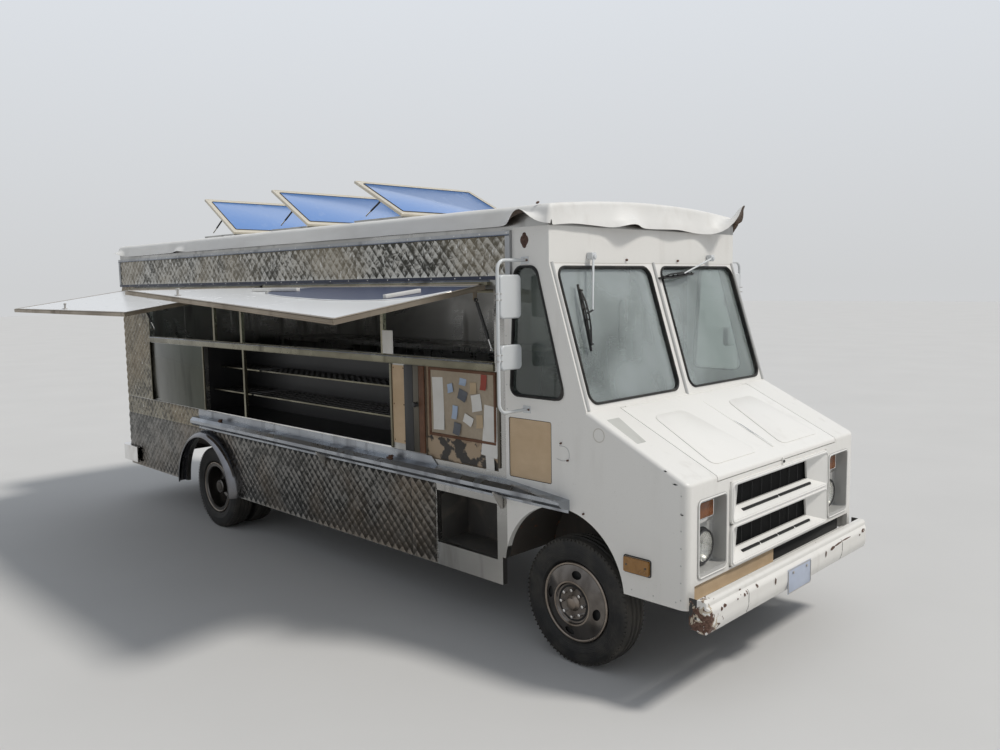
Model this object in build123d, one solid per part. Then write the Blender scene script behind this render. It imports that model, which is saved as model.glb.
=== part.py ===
from build123d import *
import os
from math import hypot, sqrt

# Food truck on a forward-control step-van chassis, in millimetres.
# Every piece is drawn from the front axle (X forward), the centreline (Y to the left)
# and the ground (Z up), and is shifted to the middle of the whole truck when it is written.
# The service side, with awnings, bays and ledge, is the right-hand side (-Y).

os.makedirs("parts", exist_ok=True)

# Overall layout
WHEELBASE = 4521.0
BODY_HALF = 1057.0
WALL = 40.0
INNER_HALF = BODY_HALF - WALL
BODY_REAR_X = -6400.0
CAB_REAR_X = -500.0
CENTRELINE_SHIFT = 466.0
MIDLENGTH_SHIFT = 2802.5
RUN_GAP = 6.0
FIT_GAP = 0.3
SHEET = 3.0

# Cab outline
HEADER_X = -125.0
HEADER_Z = 2450.0
COWL_X = 149.0
COWL_Z = 1592.0
NOSE_X = 830.0
NOSE_TOP_Z = 1261.0
FENDER_Z = 575.0
SKIN = 30.0
EAVE_Z = 2670.0

# Roof
ROOF_EDGE_Z = 2785.0
ROOF_CROWN_Z = 2840.0
ROOF_SKIN = 35.0
ROOF_CORNER = 28.0
MEMBRANE = 8.0
MEMBRANE_HEM_Z = 2656.0

# Floor, ladder frame and what hangs from it
FLOOR_Z = 880.0
FLOOR_THICK = 60.0
CAB_FLOOR_X0 = -560.0
RAIL_TOP_Z = 760.0
RAIL_HEIGHT = 200.0
RAIL_FOOT_Z = RAIL_TOP_Z - RAIL_HEIGHT
RAIL_FLANGE = 70.0
RAIL_WEB = 8.0
RAIL_Y = 430.0
RAIL_FRONT_X = 740.0
RAIL_REAR_X = -6340.0
CROSSMEMBER_HALF = 35.0
CROSSMEMBER_DROP = 58.0
CROSSMEMBER_X = (700.0, -1050.0, -2300.0, -3700.0, -5500.0, -6250.0)
SILL_X = (-700.0, -1500.0, -2400.0, -3300.0, -4100.0, -5000.0, -5800.0, -6300.0)
SILL_HALF = 40.0
BRACKET_Z0 = 500.0
BRACKET_Z1 = 570.0
REAR_BRACKET_Z1 = 580.0
ENGINE_X0 = -260.0
ENGINE_X1 = 520.0
ENGINE_HALF = 290.0
ENGINE_Z0 = 650.0
ENGINE_Z1 = 1120.0
SUMP_HALF = 150.0
SUMP_Z0 = 540.0
MOUNT_X = (-180.0, 140.0)
MOUNT_Z0 = 640.0
MOUNT_Z1 = 700.0
GEARBOX_X0 = -900.0
GEARBOX_HALF = 170.0
GEARBOX_Z0 = 430.0
GEARBOX_Z1 = 750.0
SHAFT_R = 45.0
SHAFT_Z = 500.0
EXHAUST_Y = 240.0
EXHAUST_Z = 520.0
EXHAUST_X = (-60.0, -2400.0, -3200.0, -3640.0)
PIPE_R = 28.0
MUFFLER_R = 85.0
TANK_X0 = -2700.0
TANK_X1 = -1700.0
TANK_OUT = INNER_HALF - 57.0
TANK_IN = 520.0
TANK_Z0 = 430.0
TANK_Z1 = 740.0
TANK_CORNER = 60.0
TANK_STRAP_X = (-2500.0, -1900.0)
SKIRT_Z = 390.0

# Axles and springs
TYRE_R = 397.0
AXLE_Z = TYRE_R
KINGPIN_HALF = 800.0
WHEEL_OFFSET = 103.0
KINGPIN_R = 16.0
AXLE_EYE_R = 38.0
AXLE_EYE_HALF = 40.0
AXLE_DROP = 45.0
BEAM_HALF = 32.0
BEAM_EDGE = 22.0
DIFF_R = 165.0
TUBE_R = 58.0
TUBE_END = 549.0
PINION_R = 60.0
PINION_REACH = 260.0
REAR_SPINDLE_R = 45.0
REAR_SPINDLE_END = 900.0
SPRING_Y = 395.0
SPRING_WIDTH = 64.0
SPRING_SEAT_Z = AXLE_Z + 65.0
LEAF = 12.0
LEAF_SHARES = (0.35, 0.6, 0.8, 1.0)
SPRINGS = (
    # axle station, half length
    (0.0, 620.0),
    (-WHEELBASE, 700.0),
)

# Wheels and arches
TYRE_WIDTH = 200.0
RIM_R = 245.0
BEAD_R = 210.0
BEAD_HALF = 73.0
RIM_FLANGE = 12.0
RIM_SHEET = 11.0
DISC_SHEET = 12.0
STUD_R = 82.5
STUDS = 8
HAND_HOLES = 3
HAND_HOLE_TURN = 28.0
HAND_HOLE_R = 146.0
NUT_R = 12.0
NUT_LENGTH = 30.0
FRONT_TRACK_HALF = KINGPIN_HALF + WHEEL_OFFSET
FRONT_DISC = 20.0
FRONT_HUB = 95.0
SPINDLE_R = 26.0
SPINDLE_REACH = 40.0
REAR_OUTER_HALF = 919.0
DUAL_SPACING = 240.0
REAR_DISC = -60.0
REAR_HUB = 60.0
HUB_R = 95.0
ARCH_X = -50.0
ARCH_Z = 520.0
ARCH_R = 470.0
WHEELHOUSE_SHEET = 12.0
WHEELHOUSE_HALF = 570.0
CAB_FLOOR_HALF = WHEELHOUSE_HALF - 20.0
REAR_ARCH_R = 528.0
FLARE_R = 508.0
FLARE_FOOT_R = 570.0
FLARE_REACH = 95.0
FLARE_SHEET = 8.0
FLARE_BOW = 50.0
FLARE_FLANGE = 30.0

# Bumpers
BUMPER_BACK_X = 884.0
BUMPER_FACE_X = 955.0
BUMPER_END_X = 838.0
BUMPER_Z0 = 460.0
BUMPER_Z1 = 655.0
BUMPER_HALF = BODY_HALF - 7.0
BUMPER_SHEET = 6.0
BUMPER_BEND = 70.0
BUMPER_CORNER = 44.0
PLATE_HOLE_R = 3.5
PLATE_HOLE_SPACING = 178.0
PLATE_HOLE_Z = 575.0
REAR_BUMPER_X = -6560.0
REAR_BUMPER_DEPTH = 150.0
REAR_BUMPER_Z0 = 430.0
REAR_BUMPER_Z1 = 600.0
REAR_BUMPER_HALF = BODY_HALF + 45.0
REAR_BUMPER_SHEET = 8.0
REAR_BUMPER_END_X = -6150.0
REAR_BUMPER_CORNER = 70.0
REAR_BUMPER_INNER_HALF = BODY_HALF + 18.0
REAR_WALL_Z0 = 610.0

# Nose, hood, grille and lamps
HOOD_SIDE = 302.0
HOOD_HALF = BODY_HALF - HOOD_SIDE
HOOD_LIP_Z = 1236.0
HOOD_REAR_X = COWL_X + 22.0
HOOD_THICK = 18.0
HOOD_HINGE_HALF = HOOD_HALF - 55.0
LATCH_HALF = 9.0
LATCH_Z0 = 1212.0
LATCH_Z1 = 1250.0
NOSE_CORNER = 42.0
NOSE_BROW = 24.0
BEZEL_OUT = BODY_HALF - 97.0
BEZEL_IN = BEZEL_OUT - 305.0
GRILLE_HALF = BEZEL_IN - 30.0
GRILLE_Z0 = 712.0
GRILLE_Z1 = 1205.0
GRILLE_PROUD = 14.0
GRILLE_DEPTH = 35.0
GRILLE_FLOOR = 12.0
GRILLE_CORNER = 34.0
GRILLE_RIM = 22.0
DISH_SIDE = 165.0
DISH_TOP_SIDE = 185.0
DISH_FOOT = 70.0
DISH_TOP = 40.0
SLOT_GAP = 12.0
SLOT_LOW = 40.0
SLOT_HIGH = 54.0
BEZEL_Z0 = 722.0
BEZEL_Z1 = 1165.0
BEZEL_DEPTH = 85.0
BEZEL_SHEET = 6.0
BEZEL_RIM = 14.0
BEZEL_SILL = 33.0
BEZEL_CORNER = 34.0
LAMP_Y = BEZEL_OUT - 160.0
LAMP_Z = 865.0
LAMP_R = 89.0
LAMP_RING = 8.0
LENS_BULGE = 14.0
TURN_HALF = 78.0
TURN_Z0 = 1030.0
TURN_Z1 = 1125.0
TURN_DEPTH = 34.0
MARKER_X0 = 425.0
MARKER_X1 = 594.0
MARKER_Z0 = 717.0
MARKER_Z1 = 800.0
MARKER_PROUD = 18.0
MARKER_CORNER = 8.0
STRIP_HALF = BODY_HALF - 72.0
STRIP_END_Y = -60.0
STRIP_Z0 = 602.0
STRIP_Z1 = 698.0
BOARD = 12.0

# Windscreens, side windows and boards
SCREEN_POST_HALF = 64.0
SCREEN_OUT = BODY_HALF - 59.0
SCREEN_LOW = 34.0
SCREEN_TOP_MARGIN = 26.0
SCREEN_CORNER = 70.0
GASKET_LIP = 8.0
GASKET_IN = 7.0
GASKET_PROUD = 6.0
GASKET_DEPTH = 36.0
GLASS = 6.0
SIDE_WINDOW_CORNER = 60.0
SIDE_WINDOW = (
    # x, z
    (-402.0, 2432.0),
    (-228.0, 2432.0),
    (-8.0, 1642.0),
    (-450.0, 1642.0),
)
BOARD_CORNER = 12.0
BOARD_INSET = 4.0
SIDE_BOARD = (
    # x, z
    (-470.0, 1500.0),
    (-120.0, 1500.0),
    (-120.0, 1124.0),
    (-470.0, 1124.0),
)

# Mirrors and wipers
MIRROR_REACH = 241.0
MIRROR_OUT = BODY_HALF + MIRROR_REACH
MIRROR_TUBE_R = 10.0
MIRROR_BEND = 60.0
MIRROR_TOP_Z = 2470.0
MIRROR_FOOT_Z = 1562.0
MIRROR_ARMS = (
    # side, station
    (-1, -315.0),
    (1, -200.0),
)
MIRROR_HEADS = (
    # low, high
    (2125.0, 2385.0),
    (1818.0, 1968.0),
)
WIPER_PIVOT_OUT = 36.0
WIPERS = (
    # pivot y, pivot z, arm end y, arm end z, blade top y, z, blade foot y, z
    (313.0 - SCREEN_OUT, 2490.0, 189.0 - SCREEN_OUT, 2154.0,
     142.0 - SCREEN_OUT, 2317.0, 112.0 - SCREEN_OUT, 1921.0),
    (SCREEN_OUT - 301.0, 2490.0, SCREEN_OUT - 706.0, 2371.0,
     SCREEN_OUT - 999.0, 2346.0, SCREEN_OUT - 549.0, 2378.0),
)

# Cab inside
DASH_Z0 = 1380.0
DASH_Z1 = 1540.0
DASH_DEPTH = 60.0
FIREWALL = 12.0
COVER_HALF = 310.0
COVER_X0 = -310.0
COVER_Z1 = 1160.0
COVER_SHEET = 12.0
STEERING_R = 205.0
STEERING_TILT = -48.0
SEAT_X0 = -560.0
SEAT_X1 = -150.0
SEAT_Y0 = COVER_HALF + 25.0
SEAT_Y1 = INNER_HALF - 282.0
SEAT_Z0 = 1080.0
SEAT_Z1 = 1190.0
SEAT_BACK_Z = 1700.0
SEAT_BACK_THICK = 90.0
SEAT_LEAN = 60.0
SEAT_FOOT_INSET = 80.0
STEERING_CENTRE = (-95.0, SEAT_Y0 + 165.0, 1420.0)

# Service side openings
BAND_X0 = -5740.0
BAND_X1 = -590.0
BAND_Z0 = 1830.0
BAND_Z1 = 2300.0
BEAM_Z0 = 1775.0
BAY_X0 = -4540.0
BAY_X1 = -1650.0
BAY_Z0 = 1155.0
BAY_DEPTH = 420.0
BAY_SHEET = 10.0
BAY_POST_X = -3800.0
BAY_POST_HALF = 14.0
MULLION_X = (-4330.0, -3820.0, -1755.0)
MULLION_HALF = 16.0
SHELF_RODS = 5
SHELF_ROD_R = 6.0
SHELVES = (
    # height, first rod's depth
    (1360.0, 60.0),
    (1570.0, 150.0),
)
DOORWAY_X0 = -1280.0
DOORWAY_X1 = -570.0
DOORWAY_Z0 = 1135.0
DOORWAY_INSET = 18.0
POST_BOARD = (-1640.0, -1500.0, 1200.0, 1765.0)
STEP_X0 = -1180.0
STEP_X1 = -590.0
STEP_Z0 = 550.0
STEP_Z1 = 920.0
STEP_DEPTH = 260.0
STEP_SHEET = 6.0
FASCIA_Z0 = 2357.0
FASCIA_TOP_Z = 2653.0
FASCIA_X1 = -424.0
FASCIA_THICK = 12.0
TRIM = 10.0
TRIM_TOP = 26.0
TRIM_FOOT = 24.0
TRIM_END = 40.0
SKIRT_SEAM_X = -1450.0
LEDGE_X0 = -4700.0
LEDGE_X1 = 20.0
LEDGE_REACH = 100.0
LEDGE_NOSE = 26.0
LEDGE_LIP = 60.0
LEDGE_TOP_Z = 1095.0
LEDGE_FOOT_Z = 970.0
LEDGE_BACK_Z = 1152.0

# Awnings, their hinge strip and their gas struts
AWNING_HINGE_OUT = 36.0
AWNING_HINGE_Y = -(BODY_HALF + AWNING_HINGE_OUT)
AWNING_HINGE_Z = 2326.0
AWNING_BARREL_R = 9.0
AWNING_START = 8.0
AWNING_THICK = 28.0
AWNING_REACH = 1147.0
AWNING_EDGE_Z = 2154.0
AWNING_HIGH_Z = 2321.0
HINGE_STRIP_Z0 = 2324.0
HINGE_STRIP_Z1 = 2346.0
AWNINGS = (
    # name, rear end, front end, outer edge height rear, front, strut station, jamb station
    ("main", -3350.0, -620.0, AWNING_HIGH_Z, AWNING_EDGE_Z, -650.0, BAND_X1),
    ("rear", -6080.0, -3390.0, AWNING_EDGE_Z, AWNING_EDGE_Z, -5700.0, BAND_X0),
)
STRUT_TOP = (-BODY_HALF - 96.0, 2234.0)
STRUT_FOOT = (36.0 - BODY_HALF, 1911.0)
STRUT_BARREL_R = 11.0
STRUT_BARREL_LENGTH = 270.0
STRUT_ROD_R = 5.0
STRUT_ROD_LENGTH = 235.0
STRUT_EYE_R = 12.0
STRUT_EYE_HALF = 6.0
STRUT_PIN_R = 4.0
STRUT_LUG = 6.0
STUD_GAP = 10.0

# Driver's door and rear door
DRIVER_DOOR_X0 = -1240.0
DRIVER_DOOR_X1 = -560.0
DRIVER_DOOR_Z1 = 2280.0
DOOR_LAP = 25.0
DOOR_THICK = 34.0
DOOR_PANE = 6.0
DOOR_WINDOW_EDGE = 90.0
DOOR_WINDOW_Z0 = 1560.0
DOOR_WINDOW_Z1 = 2180.0
DOOR_WINDOW_CORNER = 50.0
DOOR_TRACK_X0 = -1950.0
DOOR_TRACK_X1 = -505.0
DOOR_TRACK_HEIGHT = 20.0
REAR_DOOR_Y0 = -380.0
REAR_DOOR_Y1 = 340.0
REAR_DOOR_Z1 = 2400.0
REAR_WINDOW_EDGE = 130.0
REAR_WINDOW_Z0 = 1700.0
REAR_WINDOW_Z1 = 2250.0
PULL_INSET = 60.0
PULL_WIDTH = 25.0
PULL_Z0 = 1380.0
PULL_Z1 = 1540.0
PULL_OUT = 46.0
PULL_BAR = 12.0
PULL_LEG = 20.0
DOOR_BARREL_R = 11.0
DOOR_BARREL_LENGTH = 60.0
DOOR_HINGES_Z = (1050.0, 1640.0, 2230.0)
HINGE_LEAF = 60.0
REAR_LAMP_Y = BODY_HALF - 177.0
REAR_LAMP_R = 52.0
REAR_LAMPS_Z = (760.0, 900.0)
CLEARANCE_LAMPS_Y = (BODY_HALF - 197.0, 120.0)

# Kitchen
COUNTER_X0 = -5600.0
COUNTER_X1 = -1500.0
COUNTER_Y1 = INNER_HALF - 60.0
COUNTER_Y0 = COUNTER_Y1 - 527.0
COUNTER_Z1 = 1760.0
COUNTER_SHEET = 40.0
HOOD_BOX = (-5200.0, -3000.0, COUNTER_Y0 + 70.0, 2250.0, 2630.0)

# Roof vents
LID_LENGTH = 670.0
LID_SIDE = 417.0
LID_HALF = BODY_HALF - LID_SIDE
LID_RIM = 20.0
LID_TOP = 6.0
LID_EDGE = 10.0
LID_FOOT_Z = 2856.0
CURB_INSET = 25.0
CURB_WALL = 30.0
CURB_TOP_Z = LID_FOOT_Z + LID_RIM - LID_TOP - 5.0
LID_HINGE_AHEAD = 10.0
LID_BARREL_R = 6.0
LID_BARRELS_Y = (220.0 - LID_HALF, LID_HALF - 300.0)
LID_BARREL_LENGTH = 40.0
PROP_Y = 75.0 - LID_HALF
PROP_R = 5.0
PROP_REACH = 355.0
PROP_FOOT = (-550.0, 2900.0)
LIDS = (
    # name, hinge x, opening angle
    ("front", -2006.0, 27.0),
    ("middle", -3318.0, 30.8),
    ("rear", -4639.0, 32.7),
)


def block(x0, x1, y0, y1, z0, z1):
    """A box between two corners."""
    middle = Pos((x0 + x1) / 2, (y0 + y1) / 2, (z0 + z1) / 2)
    return middle * Box(abs(x1 - x0), abs(y1 - y0), abs(z1 - z0))


def rounded_block(x0, x1, y0, y1, z0, z1, radius):
    """A box between two corners, its edges along X rounded."""
    box = block(x0, x1, y0, y1, z0, z1)
    return fillet(box.edges().filter_by(Axis.X), radius)


def side_profile(points, y0, y1):
    """A solid whose outline is drawn in X and Z, from y0 to y1."""
    outline = make_face(Polyline(*[(x, y0, z) for x, z in points], close=True))
    return extrude(outline, amount=y1 - y0, dir=(0, 1, 0))


def cross_profile(points, x0, x1):
    """A solid whose outline is drawn in Y and Z, from x0 to x1."""
    outline = make_face(Polyline(*[(x0, y, z) for y, z in points], close=True))
    return extrude(outline, amount=x1 - x0, dir=(1, 0, 0))


def rod(start, end, radius):
    """A round bar between two points."""
    along = Vector(*end) - Vector(*start)
    return Plane(origin=start, z_dir=along) * Cylinder(
        radius, along.length, align=(Align.CENTER, Align.CENTER, Align.MIN))


def bent_tube(points, bend, radius):
    """A round tube along straight runs joined by tangent arcs."""
    path = FilletPolyline(*points, radius=bend)
    return sweep(Plane(origin=path @ 0, z_dir=path % 0) * Circle(radius), path=path)


def disc(x, y0, y1, z, radius):
    """A round disc whose axis runs across the truck."""
    return rod((x, y0, z), (x, y1, z), radius)


def disc_x(x0, x1, y, z, radius):
    """A round disc whose axis runs along the truck."""
    return rod((x0, y, z), (x1, y, z), radius)


def rounded(points, radius):
    """A flat outline with its corners rounded."""
    face = make_face(Polyline(*[(u, v, 0) for u, v in points], close=True))
    return fillet(face.vertices(), radius)


def wall_sheet(points, radius, inset, y, thick, side):
    """A sheet on a side wall: the outline grown by inset, from y outwards by thick."""
    face = offset(rounded([(x, z) for x, z in points], radius), amount=inset)
    wall_plane = Plane(origin=(0, y, 0), x_dir=(1, 0, 0), z_dir=(0, -1, 0))
    return extrude(wall_plane * face, amount=-side * thick)


def common(first, second):
    """What two solids share, as one solid."""
    return (first & second).solids()[0]


def mirrored(solid):
    """The same piece on the other side of the truck."""
    return mirror(solid, about=Plane.XZ)


def write(name, *solids):
    """Shift the solids of one sub-part into the truck's own frame and write them."""
    shift = Pos(MIDLENGTH_SHIFT, CENTRELINE_SHIFT, 0)
    pieces = []
    for solid in solids:
        pieces.extend(shift * piece for piece in solid.solids())
    part = pieces[0] if len(pieces) == 1 else Compound(children=pieces)
    export_step(part, f"parts/{name}.step")


# Raked plane of the windscreens: its sketch axes run to the left and up the slope.
RAKE_RUN = COWL_X - HEADER_X
RAKE_RISE = HEADER_Z - COWL_Z
RAKE_LENGTH = hypot(RAKE_RUN, RAKE_RISE)
SCREEN_PLANE = Plane(origin=(COWL_X, 0, COWL_Z), x_dir=(0, 1, 0),
                     z_dir=(RAKE_RISE, 0, RAKE_RUN))
SCREEN_HIGH = RAKE_LENGTH - SCREEN_TOP_MARGIN


def screen_outline(side):
    """One windscreen opening on the raked plane."""
    inner = side * SCREEN_POST_HALF
    outer = side * SCREEN_OUT
    return rounded([(inner, SCREEN_LOW), (outer, SCREEN_LOW), (outer, SCREEN_HIGH),
                    (inner, SCREEN_HIGH)], SCREEN_CORNER)


def screen_point(y, z, out):
    """A point over the raked plane: y across, height z on the plane, out from it."""
    up = (z - COWL_Z) * RAKE_LENGTH / RAKE_RISE
    return tuple(SCREEN_PLANE.from_local_coords(Vector(y, up, out)))


def front_arch():
    """The cylinder that opens both front wheel arches."""
    return disc(ARCH_X, -BODY_HALF - 1, BODY_HALF + 1, ARCH_Z, ARCH_R)


def rear_arch(radius):
    """The cylinder that opens both rear wheel arches."""
    reach = BODY_HALF + SHEET + 1
    return disc(-WHEELBASE, -reach, reach, AXLE_Z, radius)


# Ladder frame and running gear
def build_chassis_frame():
    """Channel rails, crossmembers and the bumper brackets."""
    frame = None
    inner = RAIL_Y - RAIL_FLANGE
    for side in (-1, 1):
        web = side * RAIL_Y
        rail = block(RAIL_REAR_X, RAIL_FRONT_X, web, web - side * RAIL_WEB, RAIL_FOOT_Z, RAIL_TOP_Z)
        for low in (RAIL_FOOT_Z, RAIL_TOP_Z - RAIL_WEB):
            rail += block(RAIL_REAR_X, RAIL_FRONT_X, web, side * inner, low, low + RAIL_WEB)
        rail += block(RAIL_FRONT_X - 2 * CROSSMEMBER_HALF, BUMPER_BACK_X, side * inner, web,
                      BRACKET_Z0, BRACKET_Z1)
        rail += block(REAR_BUMPER_X + REAR_BUMPER_SHEET, RAIL_REAR_X + CROSSMEMBER_HALF,
                      side * inner, web, RAIL_FOOT_Z, REAR_BRACKET_Z1)
        frame = rail if frame is None else frame + rail
    inside = RAIL_Y - RAIL_WEB
    for x in CROSSMEMBER_X:
        frame += block(x - CROSSMEMBER_HALF, x + CROSSMEMBER_HALF, -inside, inside,
                       RAIL_FOOT_Z + RAIL_WEB, RAIL_TOP_Z - CROSSMEMBER_DROP)
    return frame


def build_engine():
    """The engine as one block, with its sump and the mounts to the rails."""
    engine = block(ENGINE_X0, ENGINE_X1, -ENGINE_HALF, ENGINE_HALF, ENGINE_Z0, ENGINE_Z1)
    engine += block(ENGINE_X0 + 120, ENGINE_X1 - 220, -SUMP_HALF, SUMP_HALF, SUMP_Z0, ENGINE_Z0)
    seat = RAIL_Y - RAIL_WEB
    for side in (-1, 1):
        engine += block(MOUNT_X[0], MOUNT_X[1], side * (ENGINE_HALF - 1), side * seat,
                        MOUNT_Z0, MOUNT_Z1)
    return engine


def build_axles():
    """Front I-beam with its kingpin eyes, and the rear tube with its differential."""
    shoulder = KINGPIN_HALF - 60
    drop_z = AXLE_Z - AXLE_DROP
    beam = cross_profile([
        (-KINGPIN_HALF, AXLE_Z - BEAM_EDGE), (-KINGPIN_HALF, AXLE_Z + BEAM_EDGE),
        (-shoulder, AXLE_Z + BEAM_EDGE), (120 - shoulder, drop_z + 30), (shoulder - 120, drop_z + 30),
        (shoulder, AXLE_Z + BEAM_EDGE), (KINGPIN_HALF, AXLE_Z + BEAM_EDGE),
        (KINGPIN_HALF, AXLE_Z - BEAM_EDGE), (shoulder, AXLE_Z - BEAM_EDGE),
        (shoulder - 140, drop_z - 30), (140 - shoulder, drop_z - 30),
        (-shoulder, AXLE_Z - BEAM_EDGE)], -BEAM_HALF, BEAM_HALF)
    pad = SPRING_WIDTH / 2 + 8
    for side in (-1, 1):
        foot = (0, side * KINGPIN_HALF, AXLE_Z - AXLE_EYE_HALF)
        top = (0, side * KINGPIN_HALF, AXLE_Z + AXLE_EYE_HALF)
        beam += rod(foot, top, AXLE_EYE_R)
        beam -= rod(foot, top, KINGPIN_R + FIT_GAP)
        beam += block(-45, 45, side * SPRING_Y - pad, side * SPRING_Y + pad, drop_z + 25, SPRING_SEAT_Z)
    rear_x = -WHEELBASE
    tube = disc(rear_x, -TUBE_END, TUBE_END, AXLE_Z, TUBE_R)
    tube += disc(rear_x, -REAR_SPINDLE_END, REAR_SPINDLE_END, AXLE_Z, REAR_SPINDLE_R)
    tube += Pos(rear_x, 0, AXLE_Z) * Sphere(DIFF_R)
    tube += disc_x(rear_x, rear_x + PINION_REACH, 0, AXLE_Z, PINION_R)
    for side in (-1, 1):
        tube += block(rear_x - 60, rear_x + 60, side * SPRING_Y - pad, side * SPRING_Y + pad,
                      AXLE_Z, SPRING_SEAT_Z)
    return [beam, tube]


def build_springs():
    """Leaf packs under the rails: long leaf, shorter leaves below, eyes and hangers."""
    packs = []
    for x, half in SPRINGS:
        for side in (-1, 1):
            y0 = side * SPRING_Y - SPRING_WIDTH / 2
            y1 = side * SPRING_Y + SPRING_WIDTH / 2
            pack = None
            for level, share in enumerate(LEAF_SHARES):
                low = SPRING_SEAT_Z + level * LEAF
                leaf = block(x - half * share, x + half * share, y0, y1, low, low + LEAF)
                pack = leaf if pack is None else pack + leaf
            top = SPRING_SEAT_Z + len(LEAF_SHARES) * LEAF
            for end in (-1, 1):
                pack += block(x + end * half - 30, x + end * half + 30, y0, y1, top, RAIL_FOOT_Z)
            packs.append(pack)
    return packs


def build_drive_shaft():
    """Gearbox behind the engine, propeller shaft, and the exhaust beside them."""
    gearbox = block(GEARBOX_X0, ENGINE_X0, -GEARBOX_HALF, GEARBOX_HALF, GEARBOX_Z0, GEARBOX_Z1)
    shaft_end = PINION_REACH - WHEELBASE + 5
    shaft = rod((GEARBOX_X0, 0, SHAFT_Z), (shaft_end, 0, AXLE_Z), SHAFT_R)
    start, muffler_front, muffler_rear, tail = EXHAUST_X
    pipe = rod((start, EXHAUST_Y, EXHAUST_Z), (start, EXHAUST_Y, ENGINE_Z0), PIPE_R)
    pipe += disc_x(muffler_front, start, EXHAUST_Y, EXHAUST_Z, PIPE_R)
    pipe += disc_x(muffler_rear, muffler_front, EXHAUST_Y, EXHAUST_Z, MUFFLER_R)
    pipe += disc_x(tail, muffler_rear, EXHAUST_Y, EXHAUST_Z, PIPE_R)
    return [gearbox + shaft, pipe]


def build_fuel_tank():
    """Tank beside the right rail, strapped to it."""
    tank = block(TANK_X0, TANK_X1, -TANK_OUT, -TANK_IN, TANK_Z0, TANK_Z1)
    tank = fillet(tank.edges().filter_by(Axis.X), TANK_CORNER)
    middle = (TANK_Z0 + TANK_Z1) / 2
    for x in TANK_STRAP_X:
        tank += block(x - 20, x + 20, -TANK_IN - 2, -RAIL_Y, middle, middle + 60)
    return tank


def step_well(side):
    """Box step behind a cut-out in a side wall, open outwards and to the floor above."""
    outer = block(STEP_X0 - STEP_SHEET, STEP_X1 + STEP_SHEET, side * (INNER_HALF - STEP_DEPTH),
                  side * INNER_HALF, STEP_Z0 - STEP_SHEET, FLOOR_Z)
    return outer - block(STEP_X0, STEP_X1, side * (INNER_HALF - STEP_DEPTH + STEP_SHEET),
                         side * (INNER_HALF + 1), STEP_Z0, FLOOR_Z + 1)


def build_floor():
    """Deck over the frame, its cross sills, the narrower cab floor and the step wells."""
    low = FLOOR_Z - FLOOR_THICK
    floor = block(BODY_REAR_X + WALL, CAB_FLOOR_X0, -INNER_HALF, INNER_HALF, low, FLOOR_Z)
    floor += block(CAB_FLOOR_X0, COWL_X - SKIN, -CAB_FLOOR_HALF, CAB_FLOOR_HALF, low, FLOOR_Z)
    floor -= block(COVER_X0 + COVER_SHEET, COWL_X, -COVER_HALF + COVER_SHEET, COVER_HALF - COVER_SHEET,
                   low - 1, FLOOR_Z + 1)
    for side in (-1, 1):
        floor -= block(STEP_X0, STEP_X1, side * (INNER_HALF - STEP_DEPTH + STEP_SHEET),
                       side * (INNER_HALF + 1), low - 1, FLOOR_Z + 1)
        floor += step_well(side)
    for x in SILL_X:
        floor += block(x - SILL_HALF, x + SILL_HALF, -RAIL_Y - 60, RAIL_Y + 60, RAIL_TOP_Z, low)
    return floor


def build_wheelhouse(side):
    """Half-round liner over a front wheel, with its inner apron."""
    inner = side * WHEELHOUSE_HALF
    outer = side * INNER_HALF
    reach = ARCH_R + WHEELHOUSE_SHEET
    liner = disc(ARCH_X, inner, outer, ARCH_Z, reach)
    liner -= disc(ARCH_X, inner + side * WHEELHOUSE_SHEET, outer + side, ARCH_Z, ARCH_R)
    return liner - block(ARCH_X - reach - 1, ARCH_X + reach + 1, inner - side, outer + side,
                         ARCH_Z - reach - 1, FENDER_Z)


# Cab
def opening_cut(points, radius, side):
    """The cutter of an opening through a side wall."""
    return wall_sheet(points, radius, 0, side * (INNER_HALF - 5), WALL + 10, side)


def build_cab_side(side):
    """One cab side: header end, pillar, sill and the upper half of the wheel arch."""
    outline = [(CAB_REAR_X, EAVE_Z), (HEADER_X, EAVE_Z), (HEADER_X, HEADER_Z),
               (COWL_X, COWL_Z), (COWL_X, FENDER_Z), (CAB_REAR_X, FENDER_Z)]
    panel = side_profile(outline, side * INNER_HALF, side * BODY_HALF)
    panel -= front_arch()
    panel -= opening_cut(SIDE_WINDOW, SIDE_WINDOW_CORNER, side)
    panel -= opening_cut(SIDE_BOARD, BOARD_CORNER, side)
    return panel


def build_cab_front():
    """Header above the windscreens, the raked frame and its centre post."""
    shell = block(HEADER_X - WALL, HEADER_X, -INNER_HALF, INNER_HALF, HEADER_Z, EAVE_Z)
    shell += side_profile([
        (COWL_X, COWL_Z), (HEADER_X, HEADER_Z), (HEADER_X - WALL, HEADER_Z),
        (COWL_X - WALL, COWL_Z)], -INNER_HALF, INNER_HALF)
    for side in (-1, 1):
        shell -= extrude(SCREEN_PLANE * screen_outline(side), amount=WALL + 20, both=True)
    return shell


def slope_z(x):
    """Height of the sloping nose above a station."""
    return COWL_Z + (NOSE_TOP_Z - COWL_Z) * (x - COWL_X) / (NOSE_X - COWL_X)


def nose_block(shrink):
    """The nose as a closed block, made smaller all round for its inside."""
    half = BODY_HALF - shrink
    front = NOSE_X - shrink
    fall = shrink * hypot(COWL_Z - NOSE_TOP_Z, NOSE_X - COWL_X) / (NOSE_X - COWL_X)
    tail = COWL_X - (1 if shrink else 0)
    foot = FENDER_Z - (1 if shrink else 0)
    return side_profile([(tail, slope_z(tail) - fall), (front, slope_z(front) - fall),
                         (front, foot), (tail, foot)], -half, half)


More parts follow.
